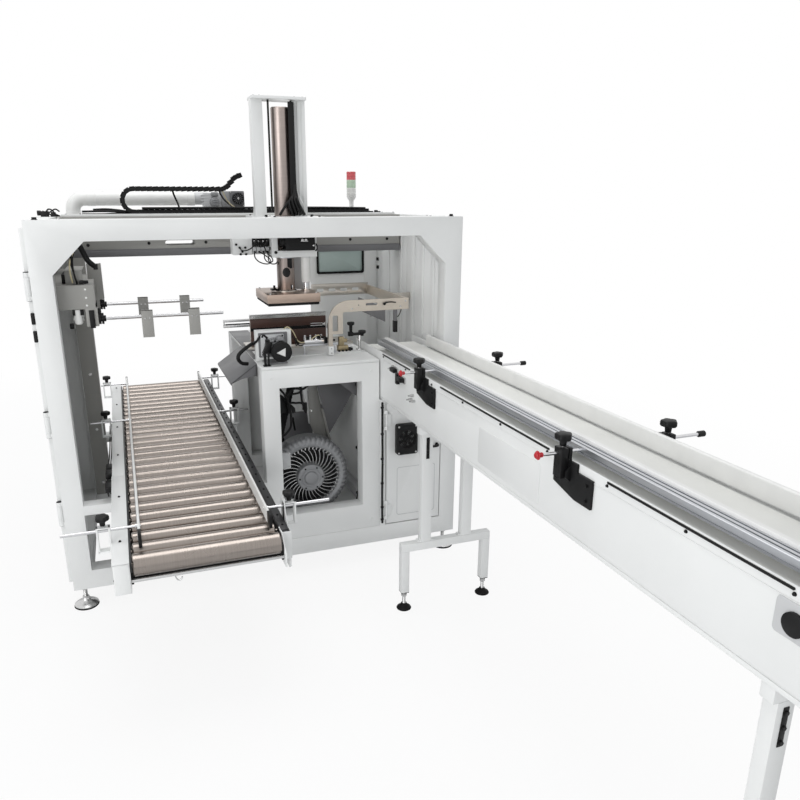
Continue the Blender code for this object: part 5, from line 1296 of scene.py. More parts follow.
def make_infeed():
    piece("infeed_body", Solid().node("infeed_frame"), "white coat", "infeed_frame", edge=0.0009)
    piece("infeed_band", Solid().node("infeed_belt"), "belt", "infeed_belt", edge=0.0012)
    trim = Solid()
    for outer, out in ((1.4067, -1), (1.7103, 1)):
        face = outer + out * 0.0016
        for z, tall, first in ((1.019, 0.0026, -2.3), (0.829, 0.012, -2.3)):
            trim.box((min(outer, face), first, z), (max(outer, face), -0.02, z + tall))
    for x, out in ((1.4113, 1), (1.7057, -1)):
        inner = x + out * 0.02
        trim.box((min(x, inner), -2.298, 0.8293), (max(x, inner), 0.358, 0.8323))
    piece("infeed_folds", trim, "white coat", edge=0.0007)
    ties = Solid()
    ties.box((1.4115, -2.1, 0.862), (1.7055, -2.06, 0.902))
    row("infeed_cross_ties", ties, 6, (0, 0.44, 0), "light grey coat and painted shade")
    plates, caps = Solid(), Solid()
    for outer, out in ((1.4067, -1), (1.7103, 1)):
        face = outer + out * 0.004
        cover = outer + out * 0.012
        for y in (-2.214,) if out < 0 else (-2.214, 0.274):
            outline = rounded((y - 0.045, 0.945), (y + 0.045, 1.02), 0.01)
            plates.sheet("X", outline, min(outer, face), max(outer, face))
            caps.lathe(
                (0, y, 0.98), "X",
                [
                    (face, 0.0), (face, 0.024), (cover - out * 0.002, 0.024), (cover, 0.02),
                    (cover, 0.0)
                ], 24
            )
    piece("infeed_bearing_plates", plates, "light grey coat and painted shade", edge=0.0012)
    piece("infeed_bearing_caps", caps, "nylon")
    for name, x, way, first, count in (
        ("infeed_near_screws", 1.4066, "-X", -2.2, 9), ("infeed_far_screws", 1.7104, "+X", -2.2, 10)
    ):
        places = [(x, first + 0.27 * i, z) for i in range(count) for z in (1.034,)]
        screws(name, places, way, "nylon", size=0.55, sides=16)
    # Slim dark strips on the near edge, under the guide
    strips = Solid()
    for y0, y1 in ((-2.2, -1.66), (-1.4, -0.66), (-0.36, -0.03)):
        strips.sheet("X", rounded((y0, 1.0405), (y1, 1.0465), 0.0028), 1.404, 1.4069)
    piece("infeed_edge_strips", strips, "nylon", edge=0.0006)
    # Inspection plate on the near side
    plate = Solid()
    plate.sheet("X", rounded((-1.36, 0.858), (-0.98, 0.985), 0.01), 1.4052, 1.4069)
    piece("infeed_cover", plate, "white coat", edge=0.0007)
    # Drive under the middle of the belt: a gearbox with its motor between the side plates
    drive = Solid()
    drive.box((1.5, -0.98, 0.842), (1.59, -0.88, 0.932))
    drive.lathe(
        (1.545, 0, 0.885), "Y",
        [(-0.88, 0.0), (-0.88, 0.04), (-0.7, 0.04), (-0.695, 0.034), (-0.695, 0.0)], 28
    )
    piece("infeed_drive", drive, "cast aluminium", edge=0.003)
    # Small sensor with its bracket at the near edge
    sensor, metal = Solid(), Solid()
    for y, z in ((-0.19, 1.008), (-0.275, 0.985)):
        sensor.box((1.386, y - 0.028, z - 0.009), (1.4, y + 0.02, z + 0.009))
        metal.sheet(
            "X", rounded((y - 0.04, z - 0.014), (y + 0.034, z + 0.014), 0.004), 1.4002, 1.4067
        )
    sensor.box((1.392, -0.245, 0.955), (1.406, -0.222, 1.0))
    piece("infeed_sensors", sensor, "nylon", edge=0.0012)
    piece("infeed_sensor_plates", metal, "bright zinc", edge=0.0008)
    nuts = [
        (1.386, y, z) for y, z in ((-0.4, 0.945), (-0.415, 0.925), (-0.385, 0.925), (-0.16, 1.008))
    ]
    stub = Solid()
    for x, y, z in nuts:
        stub.lathe(
            (0, y, z), "X",
            [
                (1.4066, 0.0), (1.4066, 0.006), (1.392, 0.006), (1.39, 0.0035), (1.382, 0.0035),
                (1.382, 0.0)
            ], 6
        )
    piece("infeed_fittings", stub, "bright zinc")


def make_lane_guides():
    white, rail, rod, cap_red, cap = Solid(), Solid(), Solid(), Solid(), Solid()
    outline = [(1.4764, 1.036), (1.4975, 1.036), (1.499, 1.0375), (1.499, 1.076)]
    outline += arc((1.489, 1.078), 0.01, 0, 90, 5) + [(1.479, 1.088)]
    outline += arc((1.479, 1.0854), 0.0026, 90, 180, 2)
    white.sheet("Y", outline, -2.28, 0.14)
    piece("near_guide_strip", white, "sliding plastic and painted highlight", "near_guide", edge=0.0006)
    groove = [(1.441, 1.057), (1.441, 1.062), (1.445, 1.062), (1.445, 1.066)]
    groove += [(1.441, 1.066), (1.441, 1.079), (1.442, 1.08), (1.45, 1.08)]
    groove += [(1.45, 1.075), (1.455, 1.075), (1.455, 1.08), (1.464, 1.08)]
    groove += [(1.464, 1.075), (1.469, 1.075), (1.469, 1.08), (1.4762, 1.08)]
    groove += [(1.4762, 1.056), (1.442, 1.056)]
    rail.sheet("Y", groove, -2.279, 0.139)
    piece("near_guide_rail", rail, "aluminium", body="near_lane_guide")
    for y in (-0.5, -1.49):
        rod.disc((0, y, 1.068), "X", 1.306, 1.46, 0.005, sides=20)
        for low, high, wide in ((1.303, 1.3165, 0.0095), (1.3165, 1.327, 0.007)):
            cap_red.disc((0, y, 1.068), "X", low, high, wide, 0.003, sides=20)
        cap_red.disc((0, y, 1.068), "X", 1.309, 1.3125, 0.0125, 0.001, sides=20)
    piece("near_guide_rods", rod, "chrome", body="near_lane_guide")
    piece("near_rod_caps", cap_red, "red rubber", body="near_lane_guide")

    far, rod, grip = Solid(), Solid(), Solid()
    far.sheet(
        "Y",
        [
            (1.6902, 1.036), (1.704, 1.036), (1.704, 1.084), (1.7, 1.088), (1.6942, 1.088),
            (1.6902, 1.084)
        ], -2.28, 0.14
    )
    piece("far_guide_strip", far, "sliding plastic and painted highlight", "far_guide", edge=0.0007)
    for y in (-0.5, -1.49):
        rod.disc((0, y, 1.068), "X", 1.702, 1.861, 0.005, sides=20)
        cap.disc((0, y, 1.068), "X", 1.838, 1.862, 0.009, 0.002, sides=20)
        grip.sheet("X", rounded((y - 0.016, 1.052), (y + 0.016, 1.084), 0.004), 1.7, 1.7062)
    piece("far_guide_rods", rod, "chrome", body="far_lane_guide")
    piece("far_rod_caps", cap, "nylon", body="far_lane_guide")
    piece("far_guide_pads", grip, "aluminium", body="far_lane_guide", edge=0.0006)

    names = [f"{side}_clamp_{number}" for side in ("near", "far") for number in (1, 2)]
    body, studs, plates = Solid(), Solid(), []
    for name in names:
        low, high = span(name)
        y = -0.5 if name.endswith("1") else -1.49
        near = name.startswith("near")
        seat, out = (1.4067, -1) if near else (1.7103, 1)

        def x(depth):
            return seat + out * depth

        outline = [(y + 0.052, 1.048), (y + 0.052, 0.969), (y - 0.048, 0.947)]
        outline += [(y - 0.12, 0.947), (y - 0.12, 1.026), (y - 0.052, 1.026), (y - 0.052, 1.048)]
        body.sheet("X", outline, min(x(0), x(0.008)), max(x(0), x(0.008)))
        # Cast body with the rod's eye, the slit of its clamp and a rib on either side
        ears = [(y - 0.018, 1.0), (y + 0.018, 1.0), (y + 0.018, 1.083), (y - 0.018, 1.083)]
        eye = circle((y, 1.068), 0.0054, 16)
        for start, end in ((0.0005, 0.01), (0.013, 0.0338)):
            body.sheet("X", ears, min(x(start), x(end)), max(x(start), x(end)), [eye])
        body.box(
            (min(x(0.009), x(0.014)), y - 0.0165, 1.002),
            (max(x(0.009), x(0.014)), y + 0.0165, 1.055)
        )
        for dy in (-0.026, 0.018):
            gusset = [(x(0.001), 0.985), (x(0.022), 1.004), (x(0.022), 1.02), (x(0.001), 1.045)]
            body.sheet("Y", gusset, y + dy, y + dy + 0.008)
        knob_x = seat + out * 0.02
        star_knob(body, knob_x, y, 1.123, 1.0865)
        studs.disc((knob_x, y, 0), "Z", 1.083, 1.088, 0.0055, 0.0005, 12)
        plates += [
            (x(0.008), y + 0.038, 0.985), (x(0.008), y - 0.1, 0.965), (x(0.008), y - 0.1, 1.008)
        ]
    piece("lane_clamps", body, "nylon", *names, edge=0.0011)
    piece("lane_clamp_studs", studs, "bright zinc")
    near = [p for p in plates if p[0] < 1.5]
    screws("near_clamp_screws", near, "-X", "nylon", size=0.8)
    screws("far_clamp_screws", [p for p in plates if p[0] > 1.5], "+X", "nylon", size=0.8)


def make_stands():
    body, stems, pads, tips, bolts = Solid(), Solid(), Solid(), Solid(), []
    for y in (-0.474, -2.2):
        back = y + 0.036
        body.box((1.333, y, 0.276), (1.751, back, 0.312))
        for x in (1.333, 1.715):
            body.box((x, y, 0.082), (x + 0.036, back, 0.2765))
            middle = (x + 0.018, y + 0.018, 0)
            tips.box((x + 0.001, y + 0.001, 0.0795), (x + 0.035, back - 0.001, 0.0822))
            stems.lathe(middle, "Z", thread(0.0125, 0.0796, 0.008, sizes().thread_pitch), 16)
            stems.lathe(
                middle, "Z", [(0.062, 0.0), (0.062, 0.0135), (0.071, 0.0135), (0.071, 0.0)], 6
            )
            pads.lathe(
                middle, "Z",
                [
                    (0, 0.0), (0, 0.0315), (0.0025, 0.0324), (0.007, 0.03), (0.013, 0.021),
                    (0.02, 0.014), (0.026, 0.012), (0.026, 0.0)
                ], 28
            )
        for x in (1.42, 1.61):
            body.box((x, y, 0.3118), (x + 0.046, back, 0.794))
            body.box((x - 0.012, y + 0.002, 0.3119), (x + 0.058, back - 0.002, 0.318))
            bolts += [(x + 0.023, y, z) for z in (0.7, 0.735, 0.77)]
        body.box((1.407, y + 0.001, 0.7935), (1.71, back - 0.001, 0.8287))
        for x in (1.436, 1.63):
            tips.box((x, y - 0.002, 0.69), (x + 0.014, y + 0.0004, 0.782))
    names = ("infeed_stand_1", "infeed_stand_2")
    piece("stand_tubes", body, "white coat", *names, edge=0.0028)
    piece("stand_stems", stems, "bright zinc")
    piece("stand_pads", pads, "rubber")
    piece("stand_plugs", tips, "nylon", edge=0.0006)
    screws("stand_bolts", bolts, "-Y", "nylon", size=0.9)


def fork(solid, face, toward, y):
    """White two pronged bracket that the guide's rod runs through."""
    eye = circle((y, 0.637), 0.006, 14)
    for start in (0.0005, 0.04):
        ends = (face + toward * start, face + toward * (start + 0.006))
        outline = rounded((y - 0.015, 0.56), (y + 0.015, 0.652), 0.004)
        solid.sheet("X", outline, min(ends), max(ends), [eye])
    ends = (face + toward * 0.0005, face + toward * 0.046)
    solid.box((min(ends), y - 0.015, 0.56), (max(ends), y + 0.015, 0.566))
    solid.box((min(ends), y - 0.015, 0.648), (max(ends), y + 0.015, 0.652))


def make_rollers():
    white, dark, knobs, studs = Solid(), Solid(), Solid(), Solid()
    white.box((0.205, -0.8, 0.481), (0.257, 1.66, 0.59))
    # Raised cover over the drive end, folded round the rail
    white.box((0.203, -0.8, 0.5885), (0.2575, 0.02, 0.5925))
    for y in (-0.62, 0.7, 1.5):
        fork(white, 0.205, -1, y)
        fork(white, 0.802, 1, y)
        for x in (0.182, 0.825):
            star_knob(knobs, x, y, 0.694, 0.656)
            studs.disc((x, y, 0), "Z", 0.652, 0.657, 0.0055, 0.0005, 12)
    piece("left_rail", white, "white coat", "left_roller_rail", edge=0.0016)
    dark.box((0.768, -0.735, 0.481), (0.802, 1.66, 0.586))
    dark.box((0.7705, -0.72, 0.5855), (0.7995, 1.655, 0.59))
    dark.box((0.2572, -0.79, 0.55), (0.2642, 1.655, 0.588))
    piece("right_rail", dark, "dark rail", "right_roller_rail", edge=0.0016)
    piece("fork_knobs", knobs, "nylon")
    piece("fork_studs", studs, "bright zinc")
    # Tall folded plate that closes the inner channel and carries the drum's bearing
    bracket = Solid()
    outline = [(-0.69, 0.59), (-0.735, 0.589), (-0.758, 0.578), (-0.778, 0.556), (-0.8, 0.528)]
    outline += [(-0.8, 0.482), (-0.752, 0.482), (-0.7, 0.482), (-0.69, 0.486)]
    bracket.sheet("X", outline, 0.768, 0.773)
    outline = [(-0.575, 0.645), (-0.6, 0.664), (-0.64, 0.672), (-0.64, 0.64), (-0.665, 0.6)]
    outline += [(-0.705, 0.56), (-0.716, 0.5), (-0.716, 0.438), (-0.69, 0.42), (-0.6, 0.42)]
    outline += [(-0.6, 0.47), (-0.586, 0.564)]
    bracket.sheet("X", outline, 0.8025, 0.8065)
    bracket.box((0.7725, -0.74, 0.482), (0.8045, -0.7352, 0.588))
    piece("right_rail_end", bracket, "white coat", edge=0.0012)

    roller = Solid()
    y, z = -0.672, 0.5675
    profile = [(0.259, 0.0), (0.259, 0.006), (0.267, 0.006), (0.2675, 0.0225), (0.27, 0.0275)]
    profile += [(0.273, 0.0295), (0.752, 0.0295), (0.755, 0.0275), (0.7575, 0.0225), (0.758, 0.006)]
    profile += [(0.766, 0.006), (0.766, 0.0)]
    roller.lathe((0, y, z), "X", profile, 36)
    row("rollers", roller, 27, (0, 0.088, 0), "worn zinc darkened as painted reflection", "roller_bed")
    rod = Solid()
    rod.disc((0, -0.628, 0.56), "X", 0.265, 0.76, 0.006, sides=10)
    row("roller_spacers", rod, 26, (0, 0.088, 0), "worn zinc darkened as painted reflection")
    drum = Solid()
    ends = [(0.262, 0.0), (0.262, 0.01), (0.266, 0.01), (0.2665, 0.035), (0.27, 0.038)]
    ends += [(0.755, 0.038), (0.7585, 0.035), (0.759, 0.01), (0.763, 0.01), (0.763, 0.0)]
    drum.lathe((0, -0.755, 0.56), "X", ends, 48)
    piece("front_drum", drum, "worn zinc darkened as painted reflection")
    pan = Solid()
    pan.box((0.2575, -0.74, 0.5), (0.7675, 1.65, 0.504))
    for x in (0.2575, 0.76):
        pan.box((x, -0.775, 0.5), (x + 0.0077, 1.655, 0.5595))
    piece("roller_pan", pan, "nylon", edge=0.0008)
    bar = Solid()
    bar.box((0.2575, -0.792, 0.515), (0.7675, -0.786, 0.525))
    bar.tube(
        smooth_path(
            [
                (0.395, -0.789, 0.518), (0.4, -0.79, 0.503), (0.408, -0.792, 0.498),
                (0.416, -0.793, 0.503), (0.418, -0.793, 0.51)
            ], 5
        ), 0.0026, 8
    )
    piece("drum_bar", bar, "bright zinc", edge=0.001)
    plug = Solid()
    plug.box((0.208, -0.8015, 0.484), (0.254, -0.7995, 0.587))
    piece("rail_end_plate", plug, "white coat", edge=0.0008)
    places = [(0.231, y, 0.5925) for y in (-0.63, -0.22)] + [
        (0.231, y, 0.59) for y in (0.3, 0.75, 1.2, 1.6)
    ]
    screws("rail_top_screws", places, "+Z", "nylon", size=0.65, sides=16)
    places = [(0.785, -0.68 + 0.088 * i, 0.59) for i in range(26)]
    screws("rail_axle_screws", places, "+Z", "nylon", size=0.6)
    places = [(0.205, -0.74 + 0.2 * i, 0.505) for i in range(12)]
    screws("rail_side_screws", places, "-X", "nylon", size=0.65)
    # Cable and air fittings along the rail's outer side
    bits, loom = Solid(), []
    for y, z in ((-0.06, 0.575), (0.02, 0.555), (0.1, 0.575), (0.22, 0.56)):
        bits.sheet("X", rounded((y - 0.03, z - 0.012), (y + 0.03, z + 0.012), 0.004), 0.178, 0.2049)
    bits.disc((0, 0.06, 0.545), "X", 0.176, 0.2049, 0.012)
    piece("rail_fittings", bits, "nylon", edge=0.0012)
    for dx, z in ((0.0, 0.54), (0.01, 0.53)):
        loom.append(
            [
                (0.196 - dx, -0.04, z), (0.19 - dx, 0.1, z - 0.014), (0.194 - dx, 0.3, z),
                (0.1985 - dx, 0.6, z - 0.004), (0.1985 - dx, 1.0, z - 0.004)
            ]
        )
    cables("rail_hoses", loom, sizes().wire, "nylon")
    cross = Solid()
    cross.box((0.2575, -0.7, 0.486), (0.7675, -0.66, 0.4995))
    row("roller_cross_ties", cross, 5, (0, 0.55, 0), "light grey coat and painted shade")


def make_case_guides():
    for side, x, face, toward, reaches in (
        ("left", 0.297, 0.205, -1, (0.159, 0.098, 0.058)),
        ("right", 0.735, 0.802, 1, (0.176, 0.098, 0.098))
    ):
        body = side + "_guide"
        strip, tips, rods = Solid(), Solid(), Solid()
        strip.sheet(
            "Y",
            [
                (x - 0.004, 0.607), (x - 0.003, 0.606), (x + 0.003, 0.606), (x + 0.004, 0.607),
                (x + 0.004, 0.655), (x + 0.003, 0.656), (x - 0.003, 0.656), (x - 0.004, 0.655)
            ], -0.7075, 1.6
        )
        piece(side + "_guide_strip", strip, "sliding plastic and painted highlight", side + "_case_guide")
        tips.sheet(
            "X",
            [
                (-0.732, 0.61), (-0.726, 0.604), (-0.69, 0.604), (-0.69, 0.658), (-0.726, 0.658),
                (-0.732, 0.652)
            ], x - 0.0055, x + 0.0055
        )
        tips.sheet(
            "X", [(1.594, 0.604), (1.6045, 0.604), (1.6045, 0.658), (1.594, 0.658)], x - 0.0055,
            x + 0.0055
        )
        piece(side + "_guide_tips", tips, "nylon", body=body, edge=0.001)
        for y, reach in zip((-0.62, 0.7, 1.5), reaches):
            end = face + toward * reach
            start = x + toward * 0.001
            rods.disc((0, y, 0.637), "X", min(start, end), max(start, end), 0.0055, sides=20)
            collar = (x + toward * 0.0035, x + toward * 0.012)
            rods.disc((0, y, 0.637), "X", min(collar), max(collar), 0.0085, 0.0012, 20)
        piece(side + "_guide_rods", rods, "chrome", body=body)
        back = Solid()
        ends = (x + toward * 0.0038, x + toward * 0.0068)
        back.box((min(ends), -0.688, 0.612), (max(ends), 1.592, 0.624))
        piece(side + "_guide_backing", back, "aluminium", body=body, edge=0.0006)
        heads = [(x - toward * 0.004, y, 0.637) for y in (-0.62, 0.7, 1.5)]
        screws(
            side + "_guide_screws", heads, "+X" if toward < 0 else "-X", "bright zinc", body, 0.5,
            16
        )


# Flap unit, gantry, carriage and lift head


def make_flap_unit():
    grey = Solid()
    # Front plate, beam and the box behind it
    grey.sheet(
        "Y", [(0.0205, 1.2925), (0.218, 1.2925), (0.218, 1.3885), (0.0205, 1.3885)], 0.0803, 0.0845
    )
    grey.box((0.0205, 0.084, 1.2925), (0.138, 0.88, 1.3885))
    grey.box((0.1375, 0.085, 1.294), (0.214, 0.575, 1.386))
    grey.box((0.086, 0.8798, 0.1827), (0.165, 0.969, 1.449))
    # Side plates and the folded plate that stands up behind
    grey.box((0.19, 0.35, 1.296), (0.247, 0.356, 1.45))
    grey.box((0.19, 0.356, 1.33), (0.196, 0.4, 1.45))
    grey.box((0.242, 0.356, 1.296), (0.248, 0.4, 1.448))
    grey.box((0.115, 0.12, 1.388), (0.18, 0.125, 1.443))
    grey.box((0.115, 0.125, 1.439), (0.18, 0.33, 1.443))
    for y in (0.1, 0.54):
        grey.box((0.178, y - 0.02, 1.222), (0.2235, y + 0.02, 1.295))
    for y in (0.2, 0.4, 0.6, 0.78):
        grey.box((0.0195, y, 1.3), (0.021, y + 0.03, 1.382))
    piece("flap_unit_body", grey, "grey coat and painted shade", "flap_unit", edge=0.0014)
    lit = Solid()
    for z in (1.371, 1.338, 1.3075):
        lit.disc((0.186, 0, z), "Y", 0.079, 0.0835, 0.0042, sides=16)
    lit.disc((0.232, 0, 1.432), "Y", 0.3485, 0.3505, 0.0045, sides=16)
    piece("flap_unit_plugs", lit, "sliding plastic and painted highlight")
    sensor = Solid()
    sensor.box((0.166, 0.11, 1.39), (0.2, 0.1195, 1.403))
    sensor.box((0.1, 0.15, 1.3888), (0.112, 0.3, 1.425))
    for y in (0.1, 0.54):
        for low in (0.2242, 0.235):
            sensor.lathe(
                (0, y, 1.25), "X",
                [(low, 0.0), (low, 0.021), (low + 0.0085, 0.0225), (low + 0.0085, 0.0)], 40,
                (6, 0.1)
            )
        sensor.disc((0, y, 1.25), "X", 0.2242, 0.252, 0.0125)
        sensor.box((0.19, y - 0.026, 1.216), (0.21, y - 0.0195, 1.288))
        sensor.box((0.214, y - 0.012, 1.264), (0.236, y + 0.012, 1.292))
    sensor.box((0.128, 0.09, 1.268), (0.17, 0.118, 1.29))
    sensor.disc((0.12, 0.1, 0), "Z", 1.214, 1.236, 0.008)
    piece("flap_unit_fittings", sensor, "nylon", edge=0.001)
    air = Solid()
    air.lathe(
        (0.148, 0.103, 0), "Z",
        [(1.23, 0.0), (1.23, 0.01), (1.236, 0.016), (1.29, 0.016), (1.29, 0.0)], 24
    )
    air.lathe(
        (0, 0.115, 1.25), "X", [(0.128, 0.0), (0.128, 0.008), (0.168, 0.008), (0.168, 0.0)], 16
    )
    for y in (0.18, 0.25):
        air.box((0.12, y, 1.3888), (0.17, y + 0.036, 1.432))
    piece("flap_unit_cylinders", air, "sliding plastic and painted highlight", edge=0.0015)
    rods = Solid()
    plates, clamps, heads = Solid(), Solid(), []
    for y, end, low in ((0.1, 0.724, 1.163), (0.54, 0.69, 1.19)):
        rods.disc((0, y, 1.25), "X", 0.2245, end, 0.007, sides=28)
        face = y - 0.0085
        for left in (0.389, 0.579):
            plates.box((left, face, low), (left + 0.046, face + 0.0035, 1.276))
            plates.box((left, face, 1.2725), (left + 0.046, face + 0.014, 1.276))
            clamps.sheet(
                "X", rounded((y - 0.0065, 1.238), (y + 0.012, 1.262), 0.003), left + 0.008,
                left + 0.038, [circle((y, 1.25), 0.0071, 16)]
            )
            heads += [(left + 0.014, face, 1.243), (left + 0.032, face, 1.243)]
    piece("flap_rods", rods, "chrome", "front_flap_rod", "rear_flap_rod")
    piece("flap_plates", plates, "grey coat and painted shade", edge=0.0008)
    piece("flap_clamps", clamps, "aluminium", edge=0.0008)
    screws("flap_plate_screws", heads, "-Y", "bright zinc", size=0.45, sides=16)
    paths = [
        [
            (0.15, 0.105, 1.44), (0.146, 0.098, 1.47), (0.15, 0.093, 1.505), (0.165, 0.1, 1.535),
            (0.19, 0.13, 1.555)
        ],
        [
            (0.158, 0.11, 1.39), (0.152, 0.098, 1.43), (0.15, 0.096, 1.47), (0.158, 0.1, 1.51),
            (0.185, 0.12, 1.552)
        ]
    ]
    cables("flap_unit_cables", paths, 0.0075, "nylon")
    pale = [
        [
            (0.142, 0.112, 1.395), (0.138, 0.097, 1.44), (0.142, 0.094, 1.48),
            (0.158, 0.097, 1.515), (0.18, 0.112, 1.55)
        ]
    ]
    cables("flap_unit_signal_cable", pale, 0.006, "cream sheath")
    bundle = Solid()
    bundle.tube(
        smooth_path(
            [
                (0.176, 0.118, 1.556), (0.19, 0.135, 1.52), (0.205, 0.15, 1.48),
                (0.226, 0.165, 1.455)
            ], 5
        ), 0.011, 12
    )
    bundle.disc((0.232, 0.168, 0), "Z", 1.44, 1.462, 0.009)
    piece("flap_unit_loom", bundle, "nylon")
    column = [(0.126, 0.8798, z) for z in (0.25, 0.55, 0.85, 1.15)]
    screws("flap_column_screws", column, "-Y", "bright zinc", size=0.9)


def slide_rail(solid, face, out, low, start, end):
    """Profiled steel rail of a linear guide, screwed on the beam's face."""
    shape = [
        (0, 0), (0.006, 0), (0.009, 0.0025), (0.012, 0.0025), (0.014, 0), (0.017, 0), (0.018, 0.001)
    ]
    outline = [(face + out * deep, low + 0.0002 + up) for deep, up in shape]
    outline += [(face + out * deep, low + 0.0198 - up) for deep, up in reversed(shape)]
    return solid.sheet("X", outline, start, end)


def make_gantry():
    front = Solid()
    front.box((0.0803, 0.0803, 1.56), (1.7197, 0.1403, 1.64))
    piece("front_beam", front, "white coat", "front_gantry_beam", edge=0.003)
    rear = Solid()
    # Folded beam with its pocket: a grey face, with a dark strip along its foot as painted shade
    slot = rounded((0.539, 1.508), (0.676, 1.529), 0.009)
    rear.sheet(
        "Y", [(0.0803, 1.462), (1.7197, 1.462), (1.7197, 1.64), (0.0803, 1.64)], 0.58, 0.65, [slot]
    )
    rear.sheet(
        "Y", [(0.0803, 1.462), (1.7197, 1.462), (1.7197, 1.64), (0.0803, 1.64)], 0.6498, 0.71,
        [slot]
    )
    piece("rear_beam", rear, "grey coat and painted shade", "rear_gantry_beam", edge=0.002)
    # Dark strip at the foot of the beam's face: painted shade
    lip = Solid()
    lip.box((0.0805, 0.572, 1.46), (1.7195, 0.5802, 1.49))
    lip.box((0.0805, 0.575, 1.4895), (1.7195, 0.5802, 1.493))
    piece("rear_beam_painted_shade_strip", lip, "dark paint and painted shade", edge=0.0012)
    rails = Solid()
    slide_rail(rails, 0.1403, 1, 1.588, 0.1003, 1.6997)
    slide_rail(rails, 0.58, -1, 1.588, 0.1003, 1.6997)
    piece("slide_rails", rails, "bright zinc")
    strip = Solid()
    strip.box((0.1003, 0.6, 1.6398), (1.6997, 0.62, 1.65))
    piece("beam_cover_strip", strip, "white coat", edge=0.001)
    hole = Solid()
    hole.disc((0.1203, 0.608, 0), "Z", 1.6498, 1.652, 0.004, 0.0006, 14)
    row("cover_strip_screws", hole, 27, (0.0605, 0, 0), "nylon")
    for name, y, low, high in (
        ("front_rail_screws", 0.1583, -0.0004, 0.0006), ("rear_rail_screws", 0.562, -0.0006, 0.0004)
    ):
        dark = Solid()
        dark.disc((0.1203, 0, 1.598), "Y", y + low, y + high, 0.0052, sides=14)
        row(name, dark, 27, (0.0605, 0, 0), "nylon")
    tray = Solid()
    tray.box((0.4, 0.65, 1.6398), (1.6, 0.7, 1.644))
    for y in (0.65, 0.6975):
        tray.box((0.4, y, 1.6398), (1.6, y + 0.0025, 1.656))
    piece("chain_tray", tray, "nylon", edge=0.0008)
    bolts = [
        (x, 0.58, z) for x,
        z in ((0.199, 1.514), (0.465, 1.518), (0.726, 1.518), (1.45, 1.518), (1.65, 1.518))
    ]
    screws("rear_beam_bolts", bolts, "-Y", "nylon", size=0.9)
    ends = [(x, y, 1.64) for x in (0.12, 1.68) for y in (0.088, 0.132)]
    screws("front_beam_bolts", ends, "+Z", "bright zinc", size=0.8)
    stops = Solid()
    for y in (0.1405, 0.556):
        for x in (0.085, 1.701):
            stops.box((x, y, 1.58), (x + 0.014, y + 0.0235, 1.616))
    piece("rail_stops", stops, "nylon", edge=0.002)


